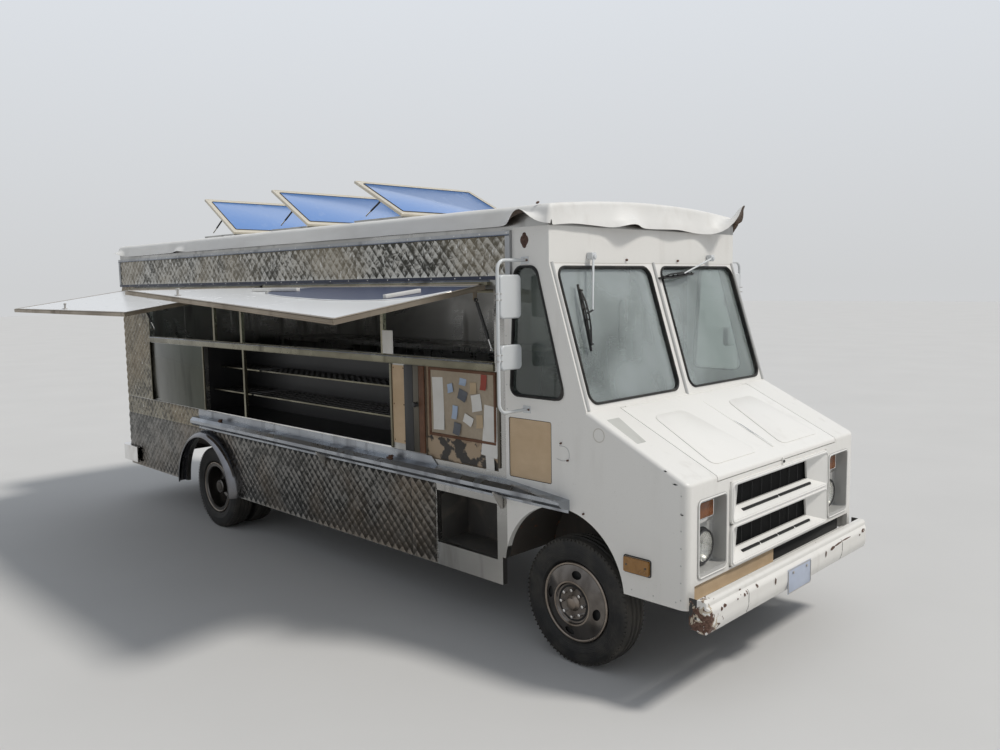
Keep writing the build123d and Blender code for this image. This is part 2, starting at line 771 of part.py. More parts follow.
def rounded_brow(shell):
    """The nose block with the edge between hood and face rounded."""
    brow = shell.edges().filter_by(Axis.Y).sort_by_distance((NOSE_X, 0, NOSE_TOP_Z))[0]
    return fillet([brow], NOSE_BROW)


def hood_space(gap):
    """What the hood panel fills, grown by the gap at its edges."""
    rear = HOOD_REAR_X - gap
    half = HOOD_HALF + gap
    above = NOSE_BROW + 40
    return side_profile([
        (rear, slope_z(rear) + above), (NOSE_X + 5, NOSE_TOP_Z + above), (NOSE_X + 5, HOOD_LIP_Z - gap),
        (NOSE_X - 2 * SKIN, HOOD_LIP_Z - gap), (rear, slope_z(rear) - 3 * SKIN)], -half, half)


def build_nose():
    """Fenders, front face and the border round the hood, one folded shell."""
    shell = nose_block(0)
    corners = shell.edges().filter_by(Axis.Z).group_by(Axis.X)[-1]
    shell = rounded_brow(fillet(corners, NOSE_CORNER))
    shell -= nose_block(SKIN)
    shell -= front_arch()
    shell -= hood_space(RUN_GAP)
    face = NOSE_X - SKIN - 1
    shell -= block(face, NOSE_X + 1, -GRILLE_HALF, GRILLE_HALF, GRILLE_Z0, GRILLE_Z1)
    shell -= block(face, NOSE_X + 1, -STRIP_HALF, STRIP_HALF, STRIP_Z0, STRIP_Z1)
    for side in (-1, 1):
        shell -= rounded_block(face, NOSE_X + 1, side * BEZEL_IN, side * BEZEL_OUT, BEZEL_Z0, BEZEL_Z1,
                               BEZEL_CORNER)
    return shell


def build_hood():
    """Sloping hood with its folded front lip, its latch and the hinge roll at the cowl."""
    skin = rounded_brow(nose_block(0)) - nose_block(HOOD_THICK)
    hood = common(skin, hood_space(0))
    hinge_x = HOOD_REAR_X - RUN_GAP / 2
    hinge = (hinge_x, -HOOD_HINGE_HALF, slope_z(hinge_x))
    hood += rod(hinge, (hinge_x, HOOD_HINGE_HALF, slope_z(hinge_x)), RUN_GAP / 2 - FIT_GAP)
    hood += block(hinge_x, HOOD_REAR_X + 1, -HOOD_HINGE_HALF, HOOD_HINGE_HALF,
                  slope_z(hinge_x) - 3, slope_z(hinge_x) - 1.5)
    return hood + block(NOSE_X - 1, NOSE_X + LATCH_HALF, -LATCH_HALF, LATCH_HALF, HOOD_LIP_Z, LATCH_Z1) + block(
        NOSE_X, NOSE_X + LATCH_HALF, -LATCH_HALF, LATCH_HALF, LATCH_Z0, HOOD_LIP_Z)


def build_grille():
    """Two stacked frames, each a dished border round a recessed opening with slots below."""
    frames = []
    middle = (GRILLE_Z0 + GRILLE_Z1) / 2
    half = GRILLE_HALF - FIT_GAP
    back = NOSE_X - SKIN - GRILLE_DEPTH
    front = NOSE_X + GRILLE_PROUD
    rim = GRILLE_RIM
    for low, high, slots in ((middle, GRILLE_Z1 - FIT_GAP, 2), (GRILLE_Z0 + FIT_GAP, middle, 4)):
        frame = cross_profile([(-half, low), (half, low), (half, high), (-half, high)], back, front)
        frame = fillet(frame.edges().filter_by(Axis.X), GRILLE_CORNER)
        mouth = [(-half + rim, low + rim), (half - rim, low + rim),
                 (half - rim, high - rim), (-half + rim, high - rim)]
        throat = [(-half + DISH_SIDE, low + DISH_FOOT), (half - DISH_SIDE, low + DISH_FOOT),
                  (half - DISH_TOP_SIDE, high - DISH_TOP), (-half + DISH_TOP_SIDE, high - DISH_TOP)]
        front_plane = Plane(origin=(front, 0, 0), x_dir=(0, 1, 0), z_dir=(1, 0, 0))
        floor_plane = Plane(origin=(back + GRILLE_FLOOR, 0, 0), x_dir=(0, 1, 0), z_dir=(1, 0, 0))
        frame -= loft([front_plane * make_face(Polyline(*mouth, close=True)),
                       floor_plane * make_face(Polyline(*throat, close=True))])
        frame -= cross_profile(throat, back - 1, back + GRILLE_FLOOR + 1)
        span = 2 * (half - DISH_SIDE - SLOT_GAP)
        pitch = span / slots
        for index in range(slots):
            start = index * pitch - span / 2 + SLOT_GAP / 2
            frame -= block(back - 1, front + 1, start, start + pitch - SLOT_GAP,
                           low + SLOT_LOW, low + SLOT_HIGH)
        frames.append(frame)
    return frames


def build_bezels():
    """Recessed lamp boxes, open to the front, each with a rim, a sill and a lamp wall."""
    boxes = []
    back = NOSE_X - BEZEL_DEPTH
    for side in (-1, 1):
        inner = side * (BEZEL_IN + FIT_GAP)
        outer = side * (BEZEL_OUT - FIT_GAP)
        box = rounded_block(back, NOSE_X + BEZEL_SHEET, inner, outer, BEZEL_Z0 + FIT_GAP, BEZEL_Z1 - FIT_GAP,
                            BEZEL_CORNER)
        box -= rounded_block(back + BEZEL_SHEET, NOSE_X + BEZEL_SHEET + 1, inner + side * BEZEL_RIM,
                             outer - side * BEZEL_RIM, BEZEL_Z0 + BEZEL_SILL, BEZEL_Z1 - BEZEL_RIM,
                             BEZEL_CORNER - BEZEL_RIM)
        box -= disc_x(back - 1, back + BEZEL_SHEET + 1, side * LAMP_Y, LAMP_Z, LAMP_R + FIT_GAP)
        boxes.append(box)
    return boxes


def build_headlamps():
    """Round sealed beams: bowl, domed lens and chromed ring."""
    back = NOSE_X - BEZEL_DEPTH
    ring = back + BEZEL_SHEET
    front = ring + 24.0
    bulge = (LAMP_R * LAMP_R + LENS_BULGE * LENS_BULGE) / (2 * LENS_BULGE)
    half_out = LENS_BULGE - bulge + sqrt(bulge * bulge - LAMP_R * LAMP_R / 4)
    outline = make_face([
        Polyline((front + LENS_BULGE, 0, 0), (back - 50, 0, 0), (back - 50, 0, 55),
                 (back - 12, 0, LAMP_R), (ring, 0, LAMP_R), (ring, 0, LAMP_R + LAMP_RING),
                 (front, 0, LAMP_R + LAMP_RING), (front, 0, LAMP_R)),
        ThreePointArc((front, 0, LAMP_R), (front + half_out, 0, LAMP_R / 2), (front + LENS_BULGE, 0, 0))])
    lamp = revolve(outline, axis=Axis.X)
    return [Pos(0, side * LAMP_Y, LAMP_Z) * lamp for side in (-1, 1)]


def build_amber_lamps():
    """Turn lamps at the top of the bezels and the side markers on the fenders."""
    lamps = []
    back = NOSE_X - BEZEL_DEPTH + BEZEL_SHEET
    for side in (-1, 1):
        lens = block(back, back + TURN_DEPTH, side * (LAMP_Y - TURN_HALF), side * (LAMP_Y + TURN_HALF),
                     TURN_Z0, TURN_Z1)
        lamps.append(fillet(lens.edges().group_by(Axis.X)[-1], 8))
        marker = block(MARKER_X0, MARKER_X1, side * BODY_HALF, side * (BODY_HALF + MARKER_PROUD),
                       MARKER_Z0, MARKER_Z1)
        lamps.append(fillet(marker.edges().filter_by(Axis.Y), MARKER_CORNER))
    return lamps


def build_front_bumper():
    """Deep channel with a rolled top lip, a bowed face, ends wrapped back and two plate holes."""
    face = BUMPER_FACE_X
    back = BUMPER_BACK_X
    sheet = BUMPER_SHEET
    top = BUMPER_Z1
    foot = BUMPER_Z0
    half = BUMPER_HALF
    bar = extrude(make_face([
        Polyline((face - 42, -half, foot), (back, -half, foot), (back, -half, top), (face - 40, -half, top)),
        ThreePointArc((face - 40, -half, top), (face - 26, -half, top - 6), (face - 20, -half, top - 20)),
        Polyline((face - 20, -half, top - 20), (face - 20, -half, top - 34), (face - 12, -half, top - 42)),
        ThreePointArc((face - 12, -half, top - 42), (face - 3.5, -half, top - 52), (face, -half, top - 63)),
        Line((face, -half, top - 63), (face, -half, foot + 85)),
        ThreePointArc((face, -half, foot + 85), (face - 4, -half, foot + 52), (face - 16, -half, foot + 22)),
        ThreePointArc((face - 16, -half, foot + 22), (face - 26, -half, foot + 7), (face - 42, -half, foot)),
    ]), amount=2 * half, dir=(0, 1, 0))
    bar -= side_profile([
        (back - 1, top - sheet), (face - 43, top - sheet), (face - 26, top - 22), (face - 26, top - 37),
        (face - 19, top - 45), (face - 7, top - 64), (face - 7, foot + 85), (face - 23, foot + 26),
        (face - 44, foot + sheet), (back - 1, foot + sheet)], BUMPER_BEND - half, half - BUMPER_BEND)
    plan = block(BUMPER_END_X, face + 1, -half, half, foot, top)
    plan = fillet(plan.edges().filter_by(Axis.Z).group_by(Axis.X)[-1], BUMPER_BEND - 15)
    lower = block(BUMPER_END_X, face + 1, -half, half, foot, top)
    lower = fillet(lower.edges().filter_by(Axis.X).group_by(Axis.Z)[0], BUMPER_CORNER)
    for side in (-1, 1):
        bar += block(BUMPER_END_X, back, side * (BUMPER_HALF - sheet), side * BUMPER_HALF,
                     foot, top)
        bar -= disc_x(face - sheet - 2, face + 1, side * PLATE_HOLE_SPACING / 2, PLATE_HOLE_Z, PLATE_HOLE_R)
        bar += block(back, back + sheet, side * (RAIL_Y - RAIL_FLANGE - 20), side * (RAIL_Y + 20),
                     foot + sheet, top - sheet)
    return common(common(bar, plan), lower)


# Glass, gaskets and boards
def build_glass():
    """Panes of the windscreens and the cab side windows."""
    panes = []
    middle = SCREEN_PLANE.offset(-WALL / 2)
    for side in (-1, 1):
        pane = offset(screen_outline(side), amount=-GASKET_IN)
        panes.append(extrude(middle * pane, amount=GLASS / 2, both=True))
        panes.append(wall_sheet(SIDE_WINDOW, SIDE_WINDOW_CORNER, -GASKET_IN,
                                side * (BODY_HALF - WALL / 2), GLASS, side))
    return panes


def build_gaskets():
    """Black rubber round each pane: a plug in the opening and a proud lip outside."""
    rings = []
    for side in (-1, 1):
        hole = screen_outline(side)
        mouth = offset(hole, amount=-GASKET_IN)
        ring = extrude(SCREEN_PLANE * (offset(hole, amount=GASKET_LIP) - mouth), amount=GASKET_PROUD)
        ring += extrude(SCREEN_PLANE * (hole - mouth), amount=-GASKET_DEPTH)
        rings.append(ring)
        outer = wall_sheet(SIDE_WINDOW, SIDE_WINDOW_CORNER, GASKET_LIP, side * BODY_HALF, GASKET_PROUD, side)
        outer += wall_sheet(SIDE_WINDOW, SIDE_WINDOW_CORNER, 0, side * INNER_HALF, WALL, side)
        rings.append(outer - wall_sheet(SIDE_WINDOW, SIDE_WINDOW_CORNER, -GASKET_IN, side * (INNER_HALF - 1),
                                        WALL + GASKET_PROUD + 2, side))
    return rings


def build_boards():
    """Board panels: in the cab sides, beside the display bay, in the doorway and on the nose."""
    boards = []
    for side in (-1, 1):
        boards.append(wall_sheet(SIDE_BOARD, BOARD_CORNER, -FIT_GAP,
                                 side * (BODY_HALF - BOARD_INSET - BOARD), BOARD, side))
    x0, x1, z0, z1 = POST_BOARD
    boards.append(block(x0, x1, BOARD - BODY_HALF, -BODY_HALF, z0, z1))
    y1 = DOORWAY_INSET - BODY_HALF
    boards.append(block(DOORWAY_X0, DOORWAY_X1, y1 + BOARD, y1, DOORWAY_Z0, BEAM_Z0))
    boards.append(block(NOSE_X - SKIN, NOSE_X - SKIN + BOARD, -STRIP_HALF, STRIP_END_Y, STRIP_Z0, STRIP_Z1))
    return boards


# Mirrors and wipers
def build_mirrors():
    """A bent tube on each cab side carries a flat mirror and a round-cornered wide one."""
    arms = []
    for side, x in MIRROR_ARMS:
        y_wall = side * BODY_HALF
        y_out = side * MIRROR_OUT
        arm = bent_tube([(x, y_wall, MIRROR_TOP_Z), (x, y_out, MIRROR_TOP_Z), (x, y_out, MIRROR_FOOT_Z),
                         (x, y_wall, MIRROR_FOOT_Z)], MIRROR_BEND, MIRROR_TUBE_R)
        for z in (MIRROR_TOP_Z, MIRROR_FOOT_Z):
            arm += block(x - 30, x + 30, y_wall, y_wall + side * 5, z - 22, z + 22)
        for low, high in MIRROR_HEADS:
            head = block(x - 24, x + 14, y_out - side * 12, y_out - side * 190, low, high)
            head = fillet(head.edges().filter_by(Axis.X), 28)
            arm += fillet(head.edges().group_by(Axis.X)[-1], 10)
            middle = (low + high) / 2
            arm += block(x - 8, x + 8, y_out, y_out - side * 20, middle - 25, middle + 25)
        arms.append(arm)
    return arms


def build_wipers():
    """Pivot blocks on the header, thin arms and their blades."""
    wipers = []
    for pivot_y, pivot_z, arm_y, arm_z, top_y, top_z, foot_y, foot_z in WIPERS:
        wiper = block(HEADER_X, HEADER_X + WIPER_PIVOT_OUT + 9, pivot_y - 22, pivot_y + 22,
                      pivot_z - 20, pivot_z + 25)
        grip = screen_point(arm_y, arm_z, WIPER_PIVOT_OUT)
        wiper += rod((HEADER_X + WIPER_PIVOT_OUT, pivot_y, pivot_z), grip, 5)
        blade_top = screen_point(top_y, top_z, 18)
        blade_foot = screen_point(foot_y, foot_z, 18)
        share = 0.45
        saddle = tuple(a + (b - a) * share for a, b in zip(blade_top, blade_foot))
        wiper += rod(blade_top, blade_foot, 7)
        wiper += rod(grip, saddle, 5)
        wipers.append(wiper)
    return wipers


# Cab inside
def build_dash():
    """Firewall, dashboard shelf, engine cover, steering column and wheel."""
    front = COWL_X - SKIN - FIREWALL
    back = front - DASH_DEPTH
    dash = block(back, front, 4 - INNER_HALF, INNER_HALF - 4, DASH_Z0, DASH_Z1)
    dash += block(front - FIREWALL, front, -CAB_FLOOR_HALF, CAB_FLOOR_HALF, FLOOR_Z, DASH_Z0)
    dash += block(COVER_X0, front, -COVER_HALF, COVER_HALF, FLOOR_Z, COVER_Z1)
    dash -= block(COVER_X0 + COVER_SHEET, COWL_X, COVER_SHEET - COVER_HALF, COVER_HALF - COVER_SHEET,
                  FLOOR_Z - 1, COVER_Z1 - COVER_SHEET)
    cx, cy, cz = STEERING_CENTRE
    wheel = Torus(STEERING_R, 13)
    for turn in (90, 210, 330):
        wheel += Rot(0, 0, turn) * (Pos(STEERING_R / 2, 0, 0) * Box(STEERING_R, 26, 9))
    wheel += Cylinder(38, 40)
    wheel = Pos(cx, cy, cz) * (Rot(0, STEERING_TILT, 0) * wheel)
    reach = front - 2 - cx
    return dash + wheel + rod((cx, cy, cz), (cx + reach, cy, cz - reach * 0.9), 26)


def build_seat():
    """Driver's seat on its pedestal."""
    seat = block(SEAT_X0, SEAT_X1, SEAT_Y0, SEAT_Y1, SEAT_Z0, SEAT_Z1)
    seat = fillet(seat.edges().group_by(Axis.Z)[-1], 35)
    seat += block(SEAT_X0 + SEAT_FOOT_INSET, SEAT_X1 - SEAT_BACK_THICK, SEAT_Y0 + 25, CAB_FLOOR_HALF,
                  FLOOR_Z, SEAT_Z0)
    low = SEAT_Z1 - 40
    back = [(SEAT_X0, low), (SEAT_X0 + SEAT_BACK_THICK, low),
            (SEAT_X0 + SEAT_BACK_THICK - SEAT_LEAN - 10, SEAT_BACK_Z), (SEAT_X0 - SEAT_LEAN, SEAT_BACK_Z)]
    return seat + side_profile(back, SEAT_Y0 + 10, SEAT_Y1 - 10)


# Body walls
def wall_blank(side):
    """A side wall with its wheel arch and step cut-outs."""
    wall = block(BODY_REAR_X, CAB_REAR_X, side * INNER_HALF, side * BODY_HALF, SKIRT_Z, EAVE_Z)
    wall -= rear_arch(REAR_ARCH_R)
    wall -= front_arch()
    wall -= block(ARCH_X - ARCH_R - 25, CAB_REAR_X + 1, side * (INNER_HALF - 1),
                  side * (BODY_HALF + 1), SKIRT_Z - 1, FENDER_Z)
    return wall - block(STEP_X0, STEP_X1, side * (INNER_HALF - 1), side * (BODY_HALF + 1), STEP_Z0, STEP_Z1)


def build_service_wall():
    """Service side with the window band, the display bay and the boarded doorway."""
    wall = wall_blank(-1)
    for x0, x1, z0, z1 in ((BAND_X0, BAND_X1, BEAM_Z0, BAND_Z1), (BAY_X0, BAY_X1, BAY_Z0, BEAM_Z0 + 1),
                           (DOORWAY_X0, DOORWAY_X1, DOORWAY_Z0, BEAM_Z0 + 1)):
        wall -= block(x0, x1, -BODY_HALF - 1, 1 - INNER_HALF, z0, z1)
    x0, x1, z0, z1 = POST_BOARD
    return wall - block(x0, x1, BOARD - BODY_HALF, -BODY_HALF - 1, z0, z1)


def build_service_frames():
    """Counter beam across the openings, mullions, bay post, awning hinge strips and strut studs."""
    beam = block(BAND_X0, BAND_X1, -BODY_HALF, -INNER_HALF, BEAM_Z0, BAND_Z0)
    for x in MULLION_X:
        beam += block(x - MULLION_HALF, x + MULLION_HALF, 6 - BODY_HALF, -INNER_HALF - 6, BAND_Z0, BAND_Z1)
    beam += block(BAY_POST_X - BAY_POST_HALF, BAY_POST_X + BAY_POST_HALF, 4 - BODY_HALF,
                  -INNER_HALF - 8, BAY_Z0, BEAM_Z0)
    pieces = [beam]
    strip_out = AWNING_HINGE_Y + AWNING_BARREL_R + FIT_GAP
    for _, x0, x1, _, _, strut_x, jamb_x in AWNINGS:
        pieces.append(block(x0, x1, -BODY_HALF, strip_out, HINGE_STRIP_Z0, HINGE_STRIP_Z1))
        towards = 1 if strut_x > jamb_x else -1
        stud_end = strut_x - towards * (STRUT_EYE_HALF + STUD_GAP)
        pieces.append(disc_x(min(jamb_x, stud_end), max(jamb_x, stud_end), *STRUT_FOOT, STRUT_EYE_R - 5))
    return pieces


def build_bay():
    """Black display bay behind its opening, with two rod shelves."""
    back = BAY_DEPTH - INNER_HALF
    sheet = BAY_SHEET
    liner = block(BAY_X0 - sheet, BAY_X1 + sheet, -INNER_HALF, back, BAY_Z0 - sheet, BEAM_Z0 + sheet)
    liner -= block(BAY_X0, BAY_X1, -INNER_HALF - 1, back - sheet, BAY_Z0, BEAM_Z0)
    for z, depth in SHELVES:
        pitch = (BAY_DEPTH - depth - sheet) / (SHELF_RODS - 0.5)
        for row in range(SHELF_RODS):
            liner += disc_x(BAY_X0 - 1, BAY_X1 + 1, depth - INNER_HALF + row * pitch, z, SHELF_ROD_R)
    return liner


def build_street_wall():
    """Street side with the driver's doorway and the track that the door hangs from."""
    wall = wall_blank(1)
    wall -= block(DRIVER_DOOR_X0, DRIVER_DOOR_X1, INNER_HALF - 1, BODY_HALF + 1, FLOOR_Z, DRIVER_DOOR_Z1)
    low = DRIVER_DOOR_Z1 + DOOR_LAP + FIT_GAP
    return wall + block(DOOR_TRACK_X0, DOOR_TRACK_X1, INNER_HALF - RUN_GAP - DOOR_THICK - RUN_GAP,
                        INNER_HALF + 1, low, low + DOOR_TRACK_HEIGHT)


def build_driver_door():
    """Sliding door inside the street wall, with its window and pull."""
    y0 = INNER_HALF - RUN_GAP
    y1 = y0 - DOOR_THICK
    door = block(DRIVER_DOOR_X0 - DOOR_LAP, DRIVER_DOOR_X1 + DOOR_LAP, y1, y0,
                 FLOOR_Z + RUN_GAP, DRIVER_DOOR_Z1 + DOOR_LAP)
    x0 = DRIVER_DOOR_X0 + DOOR_WINDOW_EDGE
    x1 = DRIVER_DOOR_X1 - DOOR_WINDOW_EDGE
    hole = block(x0, x1, y1 - 1, y0 + 1, DOOR_WINDOW_Z0, DOOR_WINDOW_Z1)
    door -= fillet(hole.edges().filter_by(Axis.Y), DOOR_WINDOW_CORNER)
    pane_y = y1 + (DOOR_THICK - DOOR_PANE) / 2
    pane = block(x0, x1, pane_y, pane_y + DOOR_PANE, DOOR_WINDOW_Z0, DOOR_WINDOW_Z1)
    door += fillet(pane.edges().filter_by(Axis.Y), DOOR_WINDOW_CORNER)
    return door + block(x1 + 30, x1 + 60, y0, y0 + 30, 1300, 1450)


def build_rear_wall():
    """Rear wall between the sides with its door opening and the fixed hinge halves."""
    wall = block(BODY_REAR_X, BODY_REAR_X + WALL, -INNER_HALF, INNER_HALF, REAR_WALL_Z0, EAVE_Z)
    wall -= block(BODY_REAR_X - 1, BODY_REAR_X + WALL + 1, REAR_DOOR_Y0, REAR_DOOR_Y1,
                  FLOOR_Z, REAR_DOOR_Z1)
    for z in DOOR_HINGES_Z:
        wall += hinge_half(z + DOOR_BARREL_LENGTH + FIT_GAP, REAR_DOOR_Y1 + 1, HINGE_LEAF)
    return wall


def hinge_half(z, leaf_y, leaf):
    """Half of a rear door hinge: its barrel on the shared axis and its leaf on the skin."""
    hinge_x = BODY_REAR_X - DOOR_BARREL_R
    hinge_y = REAR_DOOR_Y1 - RUN_GAP
    barrel = rod((hinge_x, hinge_y, z), (hinge_x, hinge_y, z + DOOR_BARREL_LENGTH), DOOR_BARREL_R)
    y0 = min(hinge_y, leaf_y + leaf)
    y1 = max(hinge_y, leaf_y + leaf)
    return barrel + block(BODY_REAR_X - 5, BODY_REAR_X, y0, y1, z, z + DOOR_BARREL_LENGTH)


def build_rear_door():
    """Rear door set in its opening, with its window and a pull handle, hinged on the left."""
    gap = RUN_GAP
    x0 = BODY_REAR_X
    x1 = BODY_REAR_X + WALL - 4
    door = block(x0, x1, REAR_DOOR_Y0 + gap, REAR_DOOR_Y1 - gap, FLOOR_Z + gap, REAR_DOOR_Z1 - gap)
    y0 = REAR_DOOR_Y0 + REAR_WINDOW_EDGE
    y1 = REAR_DOOR_Y1 - REAR_WINDOW_EDGE
    hole = block(x0 - 1, x1 + 1, y0, y1, REAR_WINDOW_Z0, REAR_WINDOW_Z1)
    door -= fillet(hole.edges().filter_by(Axis.X), DOOR_WINDOW_CORNER)
    pane = block(x0 + 16, x0 + 16 + DOOR_PANE, y0, y1, REAR_WINDOW_Z0, REAR_WINDOW_Z1)
    door += fillet(pane.edges().filter_by(Axis.X), DOOR_WINDOW_CORNER)
    pull_y = REAR_DOOR_Y0 + PULL_INSET
    inside = x0 - PULL_OUT + PULL_BAR
    for z in (PULL_Z0, PULL_Z1 - PULL_LEG):
        door += block(inside, x0, pull_y, pull_y + PULL_WIDTH, z, z + PULL_LEG)
    door += block(x0 - PULL_OUT, inside, pull_y, pull_y + PULL_WIDTH, PULL_Z0, PULL_Z1)
    for z in DOOR_HINGES_Z:
        door += hinge_half(z, REAR_DOOR_Y1 - gap, -HINGE_LEAF)
    return door


def build_rear_bumper():
    """Deep channel bumper, open to the front, its rounded ends wrapped round the body."""
    x0 = REAR_BUMPER_X
    x1 = REAR_BUMPER_X + REAR_BUMPER_DEPTH
    half = REAR_BUMPER_HALF
    inner_half = REAR_BUMPER_INNER_HALF
    sheet = REAR_BUMPER_SHEET
    bar = block(x0, REAR_BUMPER_END_X, -half, half, REAR_BUMPER_Z0, REAR_BUMPER_Z1)
    bar = fillet(bar.edges().filter_by(Axis.Z).group_by(Axis.X)[0], REAR_BUMPER_CORNER)
    inside = block(x0 + sheet, REAR_BUMPER_END_X + 1, sheet - half, half - sheet,
                   REAR_BUMPER_Z0 + sheet, REAR_BUMPER_Z1 - sheet)
    bar -= fillet(inside.edges().filter_by(Axis.Z).group_by(Axis.X)[0], REAR_BUMPER_CORNER - sheet)
    return bar - block(x1, REAR_BUMPER_END_X + 1, -inner_half, inner_half,
                       REAR_BUMPER_Z0 - 1, REAR_BUMPER_Z1 + 1)


def build_rear_lamps():
    """Round stop and tail lamps, and the clearance lamps above them."""
    lamps = []
    for side in (-1, 1):
        for z in REAR_LAMPS_Z:
            lamps.append(disc_x(BODY_REAR_X - 28, BODY_REAR_X, side * REAR_LAMP_Y, z, REAR_LAMP_R))
        for y in CLEARANCE_LAMPS_Y:
            lamps.append(block(BODY_REAR_X - 16, BODY_REAR_X, side * y - 45, side * y + 45, 2560, 2595))
    return lamps


# Roof
def roof_section(x, half, low, edge, crown):
    """Cross-section of the roof: straight sides and a cambered top."""
    return make_face([
        Line((x, -half, low), (x, -half, edge)),
        ThreePointArc((x, -half, edge), (x, 0, crown), (x, half, edge)),
        Line((x, half, edge), (x, half, low)),
        Line((x, half, low), (x, -half, low))])


def roof_solid(lift, grow, low, corner):
    """The roof's outer shape, lifted and grown, with its long edges rounded."""
    section = roof_section(BODY_REAR_X - grow, BODY_HALF + grow, low, ROOF_EDGE_Z + lift, ROOF_CROWN_Z + lift)
    solid = extrude(section, amount=HEADER_X - BODY_REAR_X + 2 * grow, dir=(1, 0, 0))
    return fillet(solid.edges().filter_by(Axis.X).group_by(Axis.Z)[-1], corner)


def build_roof():
    """Cambered roof cap with its rim all round, the curbs of the vents and their hinge leaves."""
    cap = roof_solid(0, 0, EAVE_Z, ROOF_CORNER)
    inside = roof_section(BODY_REAR_X + WALL, INNER_HALF, EAVE_Z - 1,
                          ROOF_EDGE_Z - ROOF_SKIN, ROOF_CROWN_Z - ROOF_SKIN)
    cap -= extrude(inside, amount=HEADER_X - BODY_REAR_X - 2 * WALL, dir=(1, 0, 0))
    half = LID_HALF - CURB_INSET
    for _, hinge_x, _ in LIDS:
        x0 = hinge_x - LID_LENGTH + CURB_INSET
        x1 = hinge_x - CURB_INSET
        cap += block(x0, x1, -half, half, ROOF_EDGE_Z - 20, CURB_TOP_Z)
        cap -= block(x0 + CURB_WALL, x1 - CURB_WALL, CURB_WALL - half, half - CURB_WALL,
                     ROOF_EDGE_Z - 60, CURB_TOP_Z + 1)
        axis_x = hinge_x + LID_HINGE_AHEAD
        for y in LID_BARRELS_Y:
            end = y + LID_BARREL_LENGTH
            cap += block(x1 - 1, axis_x, y, end, LID_FOOT_Z - LID_BARREL_R, LID_FOOT_Z - 3)
            cap += rod((axis_x, y, LID_FOOT_Z), (axis_x, end, LID_FOOT_Z), LID_BARREL_R)
    return cap


def build_membrane():
    """Roof covering: one closed sheet over the cap, turned down at every edge."""
    gap = FIT_GAP
    sheet = roof_solid(gap + MEMBRANE, gap + MEMBRANE, MEMBRANE_HEM_Z, ROOF_CORNER + MEMBRANE)
    sheet -= roof_solid(gap, gap, MEMBRANE_HEM_Z - 1, ROOF_CORNER)
    half = LID_HALF - CURB_INSET + FIT_GAP
    for _, hinge_x, _ in LIDS:
        sheet -= block(hinge_x - LID_LENGTH + CURB_INSET - FIT_GAP, hinge_x - CURB_INSET + FIT_GAP,
                       -half, half, ROOF_EDGE_Z - 60, CURB_TOP_Z)
    return sheet


def build_lid(hinge_x, angle):
    """A framed vent lid, open on its front hinge, with its prop."""
    half = LID_HALF
    edge = LID_EDGE
    lid = block(-LID_LENGTH, 0, -half, half, 0, LID_RIM)
    lid -= block(edge - LID_LENGTH, -edge, edge - half, half - edge, -1, LID_RIM - LID_TOP)
    for y in LID_BARRELS_Y:
        start = y + LID_BARREL_LENGTH + FIT_GAP
        end = start + LID_BARREL_LENGTH
        lid += block(-1, LID_HINGE_AHEAD, start, end, 0, 4)
        lid += rod((LID_HINGE_AHEAD, start, 0), (LID_HINGE_AHEAD, end, 0), LID_BARREL_R)
    turned = Pos(hinge_x + LID_HINGE_AHEAD, 0, LID_FOOT_Z) * Rot(0, angle, 0)
    seat = turned * Pos(-PROP_REACH, PROP_Y, LID_RIM - LID_TOP + 1)
    foot = (hinge_x + PROP_FOOT[0], PROP_Y, PROP_FOOT[1])
    return turned * Pos(-LID_HINGE_AHEAD, 0, 0) * lid + rod(foot, tuple(seat.position), PROP_R)


# Outside trim
def build_fascias():
    """Stamped side bands under the roof, with their rails and end posts."""
    bands = []
    for side in (-1, 1):
        y0 = side * BODY_HALF
        y1 = side * (BODY_HALF + FASCIA_THICK)
        y2 = side * (BODY_HALF + FASCIA_THICK + TRIM)
        band = block(BODY_REAR_X, FASCIA_X1, y0, y1, FASCIA_Z0, FASCIA_TOP_Z)
        band += block(BODY_REAR_X, FASCIA_X1, y0, y2, FASCIA_TOP_Z - TRIM_TOP, FASCIA_TOP_Z)
        band += block(BODY_REAR_X, FASCIA_X1, y0, y2, FASCIA_Z0, FASCIA_Z0 + TRIM_FOOT)
        for x in (FASCIA_X1 - TRIM_END, BODY_REAR_X):
            band += block(x, x + TRIM_END, y0, y2, FASCIA_Z0, FASCIA_TOP_Z)
        bands.append(band)
    return bands


def build_skirts():
    """Stamped sheets on the lower sides, cut for the arches and steps."""
    sheets = []
    for side in (-1, 1):
        y0 = side * BODY_HALF
        for x0, x1 in ((BODY_REAR_X, SKIRT_SEAM_X - 2), (SKIRT_SEAM_X + 2, STEP_X0 - 10)):
            sheet = block(x0, x1, y0, y0 + side * SHEET, SKIRT_Z + 5, LEDGE_FOOT_Z - 1)
            sheets.append(sheet - rear_arch(FLARE_FOOT_R + 1))
    return sheets


